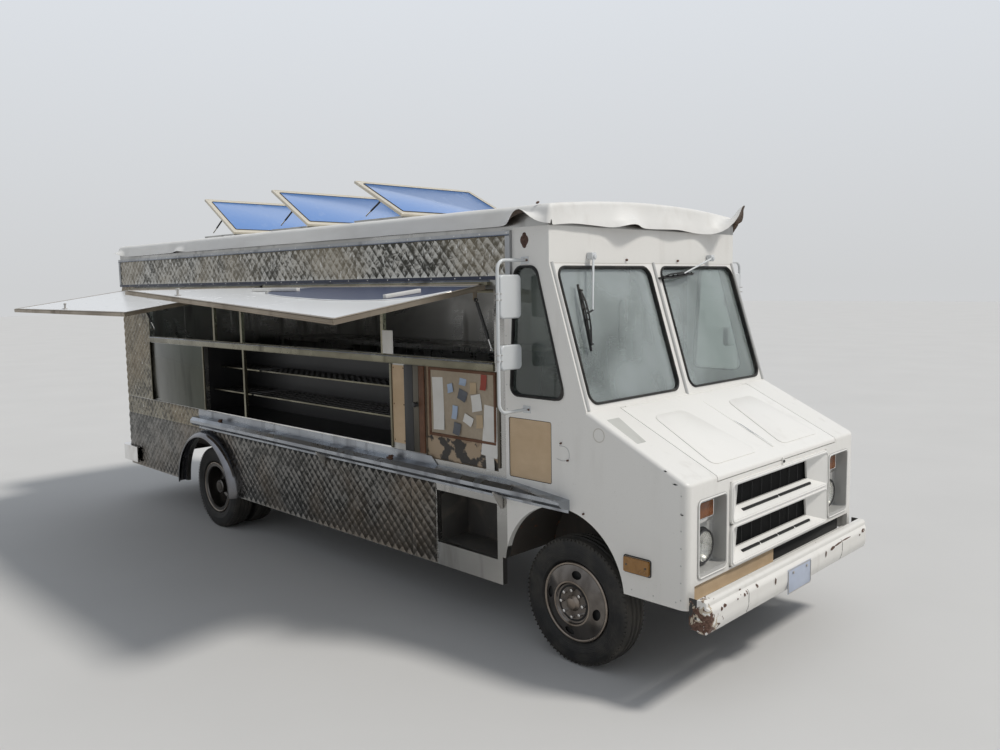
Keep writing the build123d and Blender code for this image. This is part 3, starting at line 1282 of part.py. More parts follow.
def build_ledge():
    """Serving ledge: upstand, sloping top, rounded nose and lower lip, tapered at the cab."""
    y = -BODY_HALF
    out = y - LEDGE_REACH
    top = LEDGE_TOP_Z
    nose = LEDGE_NOSE
    shelf = cross_profile([
        (y, LEDGE_BACK_Z), (y - 8, LEDGE_BACK_Z), (y - 8, top), (out + nose, top - 8),
        (out, top - 8 - nose), (out, top - LEDGE_LIP), (out + nose, top - LEDGE_LIP - nose),
        (y - 10, LEDGE_FOOT_Z + 20), (y - 10, LEDGE_FOOT_Z), (y, LEDGE_FOOT_Z)], LEDGE_X0, LEDGE_X1)
    shelf -= side_profile([(-1220, LEDGE_BACK_Z + 1), (-1160, top + 2), (LEDGE_X1 + 1, top + 2),
                           (LEDGE_X1 + 1, LEDGE_BACK_Z + 1)], out - 1, y + 1)
    return shelf - side_profile([(CAB_REAR_X, top + 3), (LEDGE_X1 + 1, top + 3),
                                 (LEDGE_X1 + 1, top - 45)], out - 1, y + 1)


def build_flares():
    """Polished fender rings round the rear arches, bowed out to a lip."""
    foot = FLARE_FOOT_R
    sheet = FLARE_SHEET
    lip = FLARE_REACH - sheet
    ring = revolve(make_face([
        Polyline((foot - FLARE_BOW, lip, 0), (FLARE_R, lip, 0), (FLARE_R, FLARE_REACH, 0),
                 (foot - FLARE_BOW, FLARE_REACH, 0)),
        ThreePointArc((foot - FLARE_BOW, FLARE_REACH, 0), (foot - 14, FLARE_REACH - 29, 0), (foot, 12, 0)),
        Polyline((foot, 12, 0), (foot, 0, 0), (foot - FLARE_FLANGE, 0, 0), (foot - FLARE_FLANGE, sheet, 0),
                 (foot - sheet, sheet, 0), (foot - sheet, 12, 0)),
        ThreePointArc((foot - sheet, 12, 0), (foot - 21, FLARE_REACH - 34, 0), (foot - FLARE_BOW, lip, 0)),
    ]), axis=Axis.Y)
    rings = []
    for side in (-1, 1):
        flare = Pos(-WHEELBASE, side * BODY_HALF, AXLE_Z) * (ring if side > 0 else mirrored(ring))
        reach = FLARE_FOOT_R + 1
        rings.append(flare - block(-WHEELBASE - reach, -WHEELBASE + reach, side * (BODY_HALF - 1),
                                   side * (BODY_HALF + FLARE_REACH + 1), AXLE_Z - reach, SKIRT_Z + 5))
    return rings


# Awnings
def awning_axes(edge_z):
    """Unit directions of an awning's cross-section: out along it, and down through it."""
    run = AWNING_REACH
    drop = AWNING_HINGE_Z - edge_z
    length = hypot(run, drop)
    return (-run / length, -drop / length), (drop / length, -run / length), length


def awning_section(x, edge_z):
    """Cross-section of an awning at a station."""
    out, down, length = awning_axes(edge_z)
    corners = []
    for along, deep in ((AWNING_START, 0), (length, 0), (length, AWNING_THICK), (AWNING_START, AWNING_THICK)):
        corners.append((x, AWNING_HINGE_Y + out[0] * along + down[0] * deep,
                        AWNING_HINGE_Z + out[1] * along + down[1] * deep))
    return make_face(Polyline(*corners, close=True))


def build_awning(x0, x1, z_rear, z_front, strut_x, jamb_x):
    """A framed panel on its hinge barrel, with the lug and pin of its gas strut."""
    panel = loft([awning_section(x0, z_rear), awning_section(x1, z_front)], ruled=True)
    panel += disc_x(x0 + 60, x1 - 60, AWNING_HINGE_Y, AWNING_HINGE_Z, AWNING_BARREL_R)
    y, z = STRUT_TOP
    towards = 1 if strut_x > jamb_x else -1
    face = strut_x + towards * (STRUT_EYE_HALF + FIT_GAP)
    back = face + towards * STRUT_LUG
    lug = cross_profile([(y - 16, z), (y, z - 14), (y + 16, z), (y + 16, z + 70), (y - 16, z + 70)],
                        min(face, back), max(face, back))
    panel += lug
    pin_end = strut_x - towards * STRUT_EYE_HALF
    return panel + disc_x(min(back, pin_end), max(back, pin_end), y, z, STRUT_PIN_R)


def strut_point(x, along):
    """A point on a gas strut's axis, at a distance from its upper eye."""
    dy = STRUT_FOOT[0] - STRUT_TOP[0]
    dz = STRUT_FOOT[1] - STRUT_TOP[1]
    length = hypot(dy, dz)
    return (x, STRUT_TOP[0] + dy * along / length, STRUT_TOP[1] + dz * along / length)


def build_strut_barrel(x):
    """Barrel of a gas strut, bored for its rod, with the eye on the awning's pin."""
    start = STRUT_EYE_R + 8
    barrel = rod(strut_point(x, start), strut_point(x, STRUT_BARREL_LENGTH), STRUT_BARREL_R)
    barrel -= rod(strut_point(x, start + 12), strut_point(x, STRUT_BARREL_LENGTH + 1), STRUT_ROD_R + FIT_GAP)
    barrel += rod(strut_point(x, STRUT_EYE_R - 3), strut_point(x, start + 1), STRUT_EYE_HALF - 1)
    half = STRUT_EYE_HALF
    eye = disc_x(x - half, x + half, *STRUT_TOP, STRUT_EYE_R)
    return (barrel + eye) - disc_x(x - 2 * half, x + 2 * half, *STRUT_TOP, STRUT_PIN_R + FIT_GAP)


def build_strut_rod(x):
    """Rod of a gas strut with its lower eye."""
    length = hypot(STRUT_FOOT[0] - STRUT_TOP[0], STRUT_FOOT[1] - STRUT_TOP[1])
    slim = rod(strut_point(x, length - STRUT_ROD_LENGTH), strut_point(x, length), STRUT_ROD_R)
    return slim + disc_x(x - STRUT_EYE_HALF, x + STRUT_EYE_HALF, *STRUT_FOOT, STRUT_EYE_R - 2)


def build_kitchen():
    """Counter along the street wall and the extraction hood over it."""
    sheet = COUNTER_SHEET
    counter = block(COUNTER_X0, COUNTER_X1, COUNTER_Y0, COUNTER_Y1, FLOOR_Z, COUNTER_Z1)
    counter -= block(COUNTER_X0 + sheet, COUNTER_X1 - sheet, COUNTER_Y0 - 1, COUNTER_Y1 - sheet,
                     FLOOR_Z + 2 * sheet, COUNTER_Z1 - sheet)
    x0, x1, y0, z0, z1 = HOOD_BOX
    return [counter, block(x0, x1, y0, INNER_HALF, z0, z1)]


# Wheels
def wheel_profile(points):
    """Revolve a list of radius and offset about the wheel's axis."""
    return revolve(make_face(Polyline(*points, close=True)), axis=Axis.Y)


def build_tyre():
    """Tyre with three tread grooves, its beads on the rim."""
    half = TYRE_WIDTH / 2
    r = TYRE_R
    bead = BEAD_R + FIT_GAP
    seat = BEAD_HALF - FIT_GAP
    points = [(bead, -seat), (RIM_R + 3, -seat), (RIM_R + 18, 8 - half), (RIM_R + 60, -half),
              (r - 40, 6 - half), (r - 8, 22 - half)]
    for centre in (-40.0, 0.0, 40.0):
        points += [(r, centre - 12), (r - 9, centre - 6), (r - 9, centre + 6), (r, centre + 12)]
    points += [(r - 8, half - 22), (r - 40, half - 6), (RIM_R + 60, half), (RIM_R + 18, half - 8),
               (RIM_R + 3, seat), (bead, seat)]
    return wheel_profile(points)


def wheel_barrel():
    """Rim barrel with its two flanges."""
    inner = BEAD_R - RIM_SHEET
    outer = BEAD_HALF + RIM_FLANGE
    return wheel_profile([
        (BEAD_R, -BEAD_HALF), (BEAD_R, BEAD_HALF), (RIM_R, BEAD_HALF), (RIM_R, outer - 2),
        (RIM_R - 8, outer), (BEAD_R - 5, outer), (inner, outer - 10), (inner, 10 - outer),
        (BEAD_R - 5, -outer), (RIM_R - 8, -outer), (RIM_R, 2 - outer), (RIM_R, -BEAD_HALF)])


def wheel_disc(bore_r, at):
    """Dished disc with a raised ring and its hand-holes."""
    rim = BEAD_R - RIM_SHEET + 1
    outer = at + DISC_SHEET
    plate = revolve(make_face([
        Polyline((92, outer, 0), (bore_r, outer, 0), (bore_r, at, 0), (92, at, 0)),
        ThreePointArc((92, at, 0), (118, at + 25, 0), (150, at + 17, 0)),
        Polyline((150, at + 17, 0), (rim, at - 4, 0), (rim, outer - 4, 0), (150, outer + 17, 0)),
        ThreePointArc((150, outer + 17, 0), (118, outer + 25, 0), (92, outer, 0)),
    ]), axis=Axis.Y)
    for index in range(HAND_HOLES):
        slot = extrude(SlotOverall(58, 40, rotation=90), amount=60, both=True)
        turn = HAND_HOLE_TURN + index * 360 / HAND_HOLES
        plate -= Rot(0, turn, 0) * (Pos(HAND_HOLE_R, at + 20, 0) * (Rot(90, 0, 0) * slot))
    return plate


def wheel_hub(bore_r, bore_start, bore_end, shoulder, reach):
    """Hub: drum side, shoulder behind the nuts and the closed grease cap."""
    return wheel_profile([
        (bore_r, bore_start), (HUB_R - 3, bore_start), (HUB_R - 3, shoulder), (68, shoulder),
        (66, reach - 8), (58, reach), (0, reach), (0, bore_end), (bore_r, bore_end)])


def wheel_nuts(at):
    """The ring of wheel nuts on a disc."""
    nuts = None
    for index in range(STUDS):
        nut = Rot(0, index * 360 / STUDS, 0) * (Pos(STUD_R, at + NUT_LENGTH / 2, 0) * (
            Rot(90, 0, 0) * extrude(RegularPolygon(NUT_R, 6), amount=NUT_LENGTH / 2, both=True)))
        nuts = nut if nuts is None else nuts + nut
    return nuts


def on_axle(wheel, x, y, side):
    """A wheel drawn for the left side, placed on its axle, mirrored for the right."""
    return Pos(x, side * y, AXLE_Z) * (wheel if side > 0 else mirrored(wheel))


def build_front_wheel():
    """Steel disc wheel with its hub and nuts."""
    bore = SPINDLE_R + FIT_GAP
    wheel = wheel_barrel() + wheel_disc(bore, FRONT_DISC)
    wheel += wheel_hub(bore, FRONT_DISC, SPINDLE_REACH + FIT_GAP, FRONT_DISC + DISC_SHEET, FRONT_HUB)
    return wheel + wheel_nuts(FRONT_DISC + DISC_SHEET - 2)


def build_rear_wheels():
    """Twin disc wheels back to back on one hub."""
    bore = REAR_SPINDLE_R + FIT_GAP
    inner = Pos(0, -DUAL_SPACING, 0) * mirrored(wheel_barrel() + wheel_disc(bore, REAR_DISC))
    outer = wheel_barrel() + wheel_disc(bore, REAR_DISC)
    bore_end = REAR_SPINDLE_END - REAR_OUTER_HALF + FIT_GAP
    hub = wheel_hub(bore, -DUAL_SPACING - REAR_DISC, bore_end, REAR_DISC + DISC_SHEET, REAR_HUB)
    return inner + outer + hub + wheel_nuts(REAR_DISC + DISC_SHEET - 2)


def build_knuckle():
    """Yoke on the kingpin, with the wheel spindle."""
    reach = AXLE_EYE_HALF + 1
    arm = 22.0
    knuckle = rod((0, 0, -reach - arm - 2), (0, 0, reach + arm + 2), KINGPIN_R)
    for low in (reach, -reach - arm):
        knuckle += rod((0, 0, low), (0, 0, low + arm), AXLE_EYE_R)
        knuckle += block(-AXLE_EYE_R, AXLE_EYE_R, 0, 70, low, low + arm)
    knuckle += block(-AXLE_EYE_R, AXLE_EYE_R, 50, 70, -reach - arm, reach + arm)
    spindle_end = FRONT_TRACK_HALF - KINGPIN_HALF + SPINDLE_REACH
    return knuckle + disc(0, 60, spindle_end, 0, SPINDLE_R)


def main():
    write("chassis_frame", build_chassis_frame())
    write("engine_block", build_engine())
    write("axles", *build_axles(), *build_springs())
    write("drive_shaft", *build_drive_shaft())
    write("fuel_tank", build_fuel_tank())
    write("floor_deck", build_floor())
    write("wheelhouses", build_wheelhouse(-1), build_wheelhouse(1))
    write("cab_side_right", build_cab_side(-1))
    write("cab_side_left", build_cab_side(1))
    write("cab_front", build_cab_front())
    write("nose_shell", build_nose())
    write("hood_panel", build_hood())
    write("grille", *build_grille())
    write("lamp_bezels", *build_bezels())
    write("headlamps", *build_headlamps())
    write("amber_lamps", *build_amber_lamps())
    write("front_bumper", build_front_bumper())
    write("cab_glass", *build_glass())
    write("window_gaskets", *build_gaskets())
    write("board_panels", *build_boards())
    write("mirrors", *build_mirrors())
    write("wipers", *build_wipers())
    write("dashboard", build_dash())
    write("driver_seat", build_seat())
    write("service_wall", build_service_wall())
    write("service_frames", *build_service_frames())
    write("display_bay", build_bay())
    write("street_wall", build_street_wall())
    write("driver_door", build_driver_door())
    write("rear_wall", build_rear_wall())
    write("rear_door", build_rear_door())
    write("rear_bumper", build_rear_bumper())
    write("rear_lamps", *build_rear_lamps())
    write("roof_shell", build_roof())
    write("roof_membrane", build_membrane())
    write("side_fascias", *build_fascias())
    write("quilted_skirts", *build_skirts())
    write("serving_ledge", build_ledge())
    write("wheel_flares", *build_flares())
    write("kitchen_counter", *build_kitchen())
    for name, x0, x1, z_rear, z_front, strut_x, jamb_x in AWNINGS:
        write(f"awning_{name}", build_awning(x0, x1, z_rear, z_front, strut_x, jamb_x))
        write(f"strut_barrel_{name}", build_strut_barrel(strut_x))
        write(f"strut_rod_{name}", build_strut_rod(strut_x))
    for name, hinge_x, angle in LIDS:
        write(f"vent_lid_{name}", build_lid(hinge_x, angle))
    tyre = build_tyre()
    twin_tyres = (tyre, Pos(0, -DUAL_SPACING, 0) * tyre)
    for name, side in (("right", -1), ("left", 1)):
        write(f"knuckle_{name}", on_axle(build_knuckle(), 0, KINGPIN_HALF, side))
        write(f"front_wheel_{name}", on_axle(build_front_wheel(), 0, FRONT_TRACK_HALF, side))
        write(f"front_tyre_{name}", on_axle(tyre, 0, FRONT_TRACK_HALF, side))
        write(f"rear_wheels_{name}", on_axle(build_rear_wheels(), -WHEELBASE, REAR_OUTER_HALF, side))
        write(f"rear_tyres_{name}",
              *[on_axle(one, -WHEELBASE, REAR_OUTER_HALF, side) for one in twin_tyres])


if __name__ == "__main__":
    main()
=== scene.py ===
"""Dressed model of a step-van food truck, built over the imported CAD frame.

Sizes are in metres. The classes use the truck's own axes: X forward from the front axle,
Y to the left of the centreline and Z up from the ground. on_truck() moves one of their
points into the shared frame. The serving side is the right-hand side, at negative Y.
"""

import logging
import math
from abc import ABC, abstractmethod
from contextlib import contextmanager
from dataclasses import dataclass
from enum import Enum
from typing import Callable, Iterator, Optional, Sequence

import bmesh
import bpy
from mathutils import Matrix, Vector, noise


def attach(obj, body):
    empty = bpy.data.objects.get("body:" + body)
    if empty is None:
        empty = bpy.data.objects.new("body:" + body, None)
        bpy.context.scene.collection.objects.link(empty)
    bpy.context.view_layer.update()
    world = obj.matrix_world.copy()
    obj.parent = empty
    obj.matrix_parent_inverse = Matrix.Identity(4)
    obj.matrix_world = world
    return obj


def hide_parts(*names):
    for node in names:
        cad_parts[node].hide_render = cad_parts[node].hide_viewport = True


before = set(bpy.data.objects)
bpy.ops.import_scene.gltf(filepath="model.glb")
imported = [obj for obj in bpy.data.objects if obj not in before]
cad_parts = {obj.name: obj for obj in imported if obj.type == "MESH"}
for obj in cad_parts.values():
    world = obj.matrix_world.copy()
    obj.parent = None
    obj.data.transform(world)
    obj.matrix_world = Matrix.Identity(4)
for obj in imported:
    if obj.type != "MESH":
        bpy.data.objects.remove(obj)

Pair = tuple[float, float]
Point = tuple[float, float, float]
Colour = tuple[float, float, float]
Object = bpy.types.Object

LOG = logging.getLogger("food_truck")
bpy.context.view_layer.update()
TRUCK_ORIGIN = Vector((2.8025, 0.466, 0.0))
TRUCK = "truck"
SIDES = (-1, 1)
SIDE_NAMES = {-1: "right", 1: "left"}
WALL = 1.057
FORWARD, BACKWARD, UPWARD = (1.0, 0.0, 0.0), (-1.0, 0.0, 0.0), (0.0, 0.0, 1.0)
RIGHTWARD, LEFTWARD = (0.0, -1.0, 0.0), (0.0, 1.0, 0.0)


def on_truck(x: float, y: float, z: float) -> Vector:
    """A point given in the truck's own axes, in the shared frame."""
    return TRUCK_ORIGIN + Vector((x, y, z))


def in_scene(name: str, data: Optional[bpy.types.ID]) -> Object:
    """A new object with its data, linked to the scene."""
    made = bpy.data.objects.new(name, data)
    bpy.context.scene.collection.objects.link(made)
    return made


def corners(a: Pair, b: Pair) -> list[Pair]:
    """The corners of a rectangle between two pairs of limits, in turn."""
    return [(a[0], b[0]), (a[1], b[0]), (a[1], b[1]), (a[0], b[1])]


def across(x: float, y: Pair, z: Pair) -> list[Point]:
    """The corners of an upright rectangle that looks ahead."""
    return [(x, *corner) for corner in corners(y, z)]


def beside(y: float, x: Pair, z: Pair) -> list[Point]:
    """The corners of an upright rectangle that looks sideways."""
    return [(px, y, pz) for px, pz in corners(x, z)]


# Finishes
class Nodes:
    """A node tree and the means to wire it."""

    def __init__(self, tree: bpy.types.NodeTree) -> None:
        """Take over a tree."""
        self.tree = tree

    def node(self, kind: str, inputs: Optional[dict[int | str, object]] = None,
             **settings: object) -> bpy.types.Node:
        """Add a node, feed its inputs and set its plain properties.

        Args:
            kind: the node's type, without its leading word.
            inputs: what feeds its sockets: another socket or a value.
            settings: its plain properties.

        Returns:
            The node.
        """
        made = self.tree.nodes.new(f"ShaderNode{kind}")
        for key, value in settings.items():
            setattr(made, key, value)
        for key, value in (inputs or {}).items():
            self.feed(made.inputs[key], value)
        return made

    def feed(self, socket: bpy.types.NodeSocket, value: object) -> None:
        """Link a socket to another one, or set its own value."""
        if isinstance(value, bpy.types.NodeSocket):
            self.tree.links.new(value, socket)
        elif isinstance(value, tuple) and len(value) == 3 and len(socket.default_value) == 4:
            socket.default_value = (*value, 1.0)
        else:
            socket.default_value = value


class Graph(Nodes):
    """Node tree of one material, wired from coordinates towards the shader."""

    def __init__(self, name: str) -> None:
        """Start a material with an empty principled shader.

        Args:
            name: the material's name.
        """
        self.material = bpy.data.materials.new(name)
        self.material.use_nodes = True
        super().__init__(self.material.node_tree)
        self.shader = self.tree.nodes["Principled BSDF"]
        self.place = self.node("TexCoord").outputs["Object"]

    def set(self, **values: object) -> None:
        """Feed the shader's sockets; an underscore stands for a space in their names."""
        for key, value in values.items():
            self.feed(self.shader.inputs[key.replace("_", " ")], value)

    def mapped(self, scale: Point, turn: Point = (0.0, 0.0, 0.0)) -> object:
        """Object coordinates, turned by degrees about each axis and scaled."""
        return self.node("Mapping", {"Vector": self.place, "Rotation": [math.radians(v) for v in turn],
                                     "Scale": list(scale)}).outputs["Vector"]

    def noise(self, scale: float, detail: float = 5.0, vector: object = None, distortion: float = 0.0) -> object:
        """Fractal noise from 0 to 1, at a scale in bumps per metre."""
        return self.node("TexNoise", {"Vector": vector or self.place, "Scale": scale, "Detail": detail,
                                      "Distortion": distortion}).outputs["Fac"]

    def stripes(self, direction: str, scale: float, vector: object) -> object:
        """Even sine stripes across a direction."""
        return self.node("TexWave", {"Vector": vector, "Scale": scale}, bands_direction=direction).outputs["Fac"]

    def band(self, value: object, low: float, high: float) -> object:
        """0 below low, 1 above high and a smooth step between."""
        return self.node("MapRange", {"Value": value, "From Min": low, "From Max": high},
                         interpolation_type="SMOOTHSTEP").outputs["Result"]

    def spread(self, value: object, low: float, high: float) -> object:
        """A value from 0 to 1 stretched to a range."""
        return self.node("MapRange", {"Value": value, "To Min": low, "To Max": high}).outputs["Result"]

    def maths(self, operation: str, first: object, second: object = 0.5) -> object:
        """One arithmetic step."""
        return self.node("Math", {0: first, 1: second}, operation=operation).outputs[0]

    def plus(self, first: object, second: object) -> object:
        """The sum of two values."""
        return self.maths("ADD", first, second)

    def minus(self, first: object, second: object) -> object:
        """The difference of two values."""
        return self.maths("SUBTRACT", first, second)

    def times(self, first: object, second: object) -> object:
        """The product of two values."""
        return self.maths("MULTIPLY", first, second)

    def blend(self, factor: object, first: object, second: object) -> object:
        """A colour between two others."""
        return self.node("Mix", {0: factor, 6: first, 7: second}, data_type="RGBA").outputs[2]

    def axis(self, name: str) -> object:
        """One of the object coordinates."""
        return self.node("SeparateXYZ", {0: self.place}).outputs[name]

    def facing(self, name: str) -> object:
        """One component of the surface's own normal, in the object's axes."""
        return self.node("SeparateXYZ", {0: self.node("TexCoord").outputs["Normal"]}).outputs[name]

    def lot(self, scale: float) -> object:
        """A value drawn by lot for each cell of a scattered pattern."""
        cells = self.node("TexVoronoi", {"Vector": self.place, "Scale": scale})
        return self.node("SeparateColor", {0: cells.outputs["Color"]}).outputs[0]

    def apart(self, place: object, centre: Sequence[float]) -> object:
        """The distance from a point."""
        return self.node("VectorMath", {0: place, 1: list(centre)}, operation="DISTANCE").outputs["Value"]

    def near(self, centre: Vector, radius: float) -> object:
        """1 at a point of the object, falling to 0 at a distance."""
        return self.minus(1.0, self.maths("DIVIDE", self.apart(self.place, centre), radius))

    def bump(self, height: object, strength: float, depth: float, under: object = None) -> object:
        """Surface relief of a depth in metres; the result is a normal."""
        below = {} if under is None else {"Normal": under}
        return self.node("Bump", {"Height": height, "Strength": strength, "Distance": depth, **below}).outputs["Normal"]


class Finish(ABC):
    """A surface finish that can make its own material."""

    @abstractmethod
    def wire(self, g: Graph) -> None:
        """Wire the finish's nodes to the shader."""

    def build(self, name: str) -> bpy.types.Material:
        """Make the material under a name."""
        graph = Graph(name)
        self.wire(graph)
        return graph.material


@dataclass(frozen=True)
class Enamel(Finish):
    """Faded paint with runs of road dirt, and rust where it has chipped; where a station is given, painted shade makes
    it near black behind that station.
    """

    colour: Colour
    dirt: Colour = (0.30, 0.26, 0.20)
    dirt_share: float = 0.35
    rust: Colour = (0.11, 0.045, 0.022)
    chips: float = 0.0
    rust_at: Optional[Point] = None
    rust_reach: float = 0.3
    primer: Optional[Colour] = None
    gloss: float = 0.38
    metallic: float = 0.0
    painted_shade_behind: Optional[float] = None

    def wire(self, g: Graph) -> None:
        """Wire the finish's nodes to the shader."""
        runs = g.band(g.noise(1.0, 6.0, g.mapped((11.0, 11.0, 1.6))), 0.5, 0.82)
        cloud = g.band(g.noise(1.7, 4.0), 0.35, 0.75)
        low = g.minus(1.0, g.band(g.axis("Z"), 0.45, 1.25))
        soil = g.times(g.plus(g.times(runs, cloud), g.times(low, 0.45)),
                       self.dirt_share)
        speck = g.times(g.band(g.noise(75.0, 3.0), 0.66, 0.74), 0.35 * self.dirt_share)
        soil = g.maths("MINIMUM", g.plus(soil, speck), 1.0)
        colour = g.blend(soil, self.colour, self.dirt)
        # Painted shade: near black behind a station along the truck, for the dark gap behind the bumper's face.
        if self.painted_shade_behind is not None:
            edge = on_truck(self.painted_shade_behind, 0.0, 0.0).x
            colour = g.blend(g.band(g.axis("X"), edge - 0.001, edge + 0.001), (0.02, 0.019, 0.018), colour)
        rough = g.spread(soil, self.gloss, min(0.85, self.gloss + 0.4))
        relief = g.bump(g.noise(1.4, 2.0), 0.25, 0.004)
        relief = g.bump(g.noise(160.0, 2.0), 0.06, 0.0006, relief)
        if self.chips:
            bare = g.noise(26.0, 9.0, distortion=0.6)
            if self.rust_at:
                bare = g.plus(bare, g.times(g.maths("MAXIMUM", g.near(
                    on_truck(*self.rust_at), self.rust_reach), 0.0), 0.42))
            edge = 0.78 - 0.12 * self.chips
            mask = g.band(bare, edge, edge + 0.015)
            brown = g.blend(g.band(g.noise(90.0, 6.0), 0.35, 0.65), self.rust,
                            tuple(min(1.0, 1.9 * v + 0.015) for v in self.rust))
            if self.primer:
                brown = g.blend(g.band(g.noise(17.0, 6.0, distortion=0.3), 0.525, 0.54), brown, self.primer)
            colour = g.blend(mask, colour, brown)
            rough = g.maths("MAXIMUM", rough, g.times(mask, 0.9))
            relief = g.bump(g.minus(1.0, mask), 0.5, 0.0012, relief)
        g.set(Base_Color=colour, Roughness=rough, Normal=relief, Metallic=self.metallic, Coat_Weight=0.15,
              Coat_Roughness=0.25)


@dataclass(frozen=True)
class SheetMetal(Finish):
    """Rolled stainless or aluminium with its grain, smears and dull patches."""

    light: Colour = (0.60, 0.60, 0.59)
    dark: Colour = (0.36, 0.36, 0.35)
    grain: Point = (1.2, 1.2, 130.0)
    gloss: float = 0.22
    dull: float = 0.5
    mottle: float = 1.3
    wave: float = 0.2
    dark_below: float = -1.0

    def wire(self, g: Graph) -> None:
        """Wire the finish's nodes to the shader."""
        lines = g.noise(1.0, 3.0, g.mapped(self.grain))
        cloud = g.band(g.noise(self.mottle, 6.0, distortion=0.8), 0.3, 0.72)
        smear = g.band(g.noise(1.0, 5.0, g.mapped((7.0, 7.0, 1.1))), 0.42, 0.8)
        soil = g.maths("MAXIMUM", g.times(cloud, 0.6), smear)
        rough = g.plus(g.spread(soil, self.gloss, self.dull), g.spread(lines, -0.05, 0.05))
        relief = g.bump(lines, 0.12, 0.0006)
        relief = g.bump(g.noise(2.1, 2.0), self.wave, 0.012, relief)
        colour = g.blend(soil, self.light, self.dark)
        if self.dark_below > 0:
            colour = g.blend(g.band(g.axis("Z"), self.dark_below - 0.001, self.dark_below + 0.001),
                             (0.055, 0.06, 0.08), colour)
        g.set(Base_Color=colour, Metallic=1.0, Roughness=rough, Normal=relief)


@dataclass(frozen=True)
class QuiltedMetal(Finish):
    """Stamped bright stainless, its colour painted as reflection: facets that look up are painted light and those that
    look down dark, as a mirror of a bright sky over dark ground would show; a random tone for each diamond, tan patches
    and white glints are painted reflections too.
    """

    bright: Colour = (0.43, 0.42, 0.39)
    deep: Colour = (0.050, 0.050, 0.043)
    painted_warm_reflection: Colour = (0.29, 0.25, 0.185)
    painted_glint_share: float = 0.5
    pitch: float = 0.082

    def wire(self, g: Graph) -> None:
        """Wire the finish's nodes to the shader."""
        # Painted reflection: the tone follows which way each facet faces, lighter upwards and forwards.
        tilt = g.plus(g.facing("Z"), g.times(g.facing("X"), 0.5))
        tilt = g.plus(tilt, g.spread(g.noise(21.0, 3.0, distortion=1.6), -0.34, 0.34))
        # Painted reflection: a random tone for each diamond.
        tilt = g.plus(tilt, g.spread(g.lot(1.2 / self.pitch), -0.10, 0.10))
        colour = g.blend(g.band(tilt, -0.12, 0.15), self.deep, self.bright)
        # Painted reflection: tan patches, as of a road mirrored in the steel.
        colour = g.blend(g.times(g.band(g.noise(1.3, 3.0), 0.42, 0.66), 0.5), colour, self.painted_warm_reflection)
        # Painted highlight: slanted streaks of white glint.
        streak = g.band(g.noise(1.0, 5.0, g.mapped((42.0, 42.0, 15.0), (0.0, 24.0, 0.0))), 0.62, 0.70)
        colour = g.blend(g.times(streak, self.painted_glint_share), colour, (0.78, 0.78, 0.76))
        rough = g.spread(g.band(g.noise(3.0, 6.0), 0.35, 0.75), 0.14, 0.34)
        relief = g.bump(g.noise(38.0, 3.0, distortion=0.8), 0.4, 0.003)
        g.set(Base_Color=colour, Metallic=1.0, Roughness=rough, Normal=relief)


@dataclass(frozen=True)
class Glazing(Finish):
    """Window glass with a tint and a film of dust."""

    tint: Colour = (0.72, 0.80, 0.77)
    clear: float = 0.92
    haze: float = 0.34
    dust: Colour = (0.60, 0.66, 0.66)
    side_tint: Colour = (0.36, 0.41, 0.38)
    side_from: float = 1.0

    def wire(self, g: Graph) -> None:
        """Wire the finish's nodes to the shader."""
        film = g.band(g.noise(1.5, 2.5, distortion=0.25), 0.32, 0.68)
        offset = g.maths("ABSOLUTE", g.minus(g.axis("Y"), TRUCK_ORIGIN.y), 0.0)
        side = g.band(offset, self.side_from, self.side_from + 0.01)
        film = g.times(film, g.spread(side, 1.0, 0.12))
        plain = g.blend(side, self.tint, self.side_tint)
        g.set(Base_Color=g.blend(film, plain, self.dust), Roughness=g.spread(film, 0.01, 0.05),
              Transmission_Weight=g.spread(film, self.clear, self.clear - self.haze), IOR=1.5)


@dataclass(frozen=True)
class Lens(Finish):
    """Moulded lamp lens with ribs behind its face."""

    colour: Colour
    clear: float = 0.55
    ribs: Point = (0.0, 0.0, 160.0)

    def wire(self, g: Graph) -> None:
        """Wire the finish's nodes to the shader."""
        wave = g.stripes("DIAGONAL", 0.5, g.mapped(self.ribs))
        grime = g.band(g.noise(20.0, 5.0), 0.45, 0.8)
        dull = tuple(0.45 * v for v in self.colour)
        g.set(Base_Color=g.blend(g.times(grime, 0.5), self.colour, dull),
              Roughness=g.spread(grime, 0.1, 0.35), Transmission_Weight=self.clear,
              Normal=g.bump(wave, 0.5, 0.003 * (1.0 - self.clear)))


@dataclass(frozen=True)
class Rubber(Finish):
    """Black rubber gone grey with dust; tyres also have rings moulded in the side wall."""

    colour: Colour = (0.014, 0.014, 0.014)
    dust: Colour = (0.11, 0.10, 0.085)
    dust_share: float = 0.35
    axle_x: Optional[float] = None
    axle_z: float = 0.397
    shine: float = 0.35

    def wire(self, g: Graph) -> None:
        """Wire the finish's nodes to the shader."""
        dusty = g.times(g.band(g.noise(9.0, 7.0), 0.4, 0.75), self.dust_share)
        relief = g.bump(g.noise(240.0, 3.0), 0.2, 0.0008)
        if self.axle_x is not None:
            away = g.apart(g.mapped((1.0, 0.0, 1.0)), (self.axle_x, 0.0, self.axle_z))
            rings = g.maths("SINE", g.times(away, 620.0), 0.0)
            side = g.times(g.band(away, 0.272, 0.276),
                           g.minus(1.0, g.band(away, 0.345, 0.352)))
            relief = g.bump(g.times(rings, side), 0.45, 0.0016, relief)
            dusty = g.plus(dusty, g.times(g.band(away, 0.35, 0.397), 0.3))
        g.set(Base_Color=g.blend(dusty, self.colour, self.dust), Roughness=g.spread(dusty, 0.55, 0.95), Normal=relief,
              Specular_IOR_Level=self.shine)


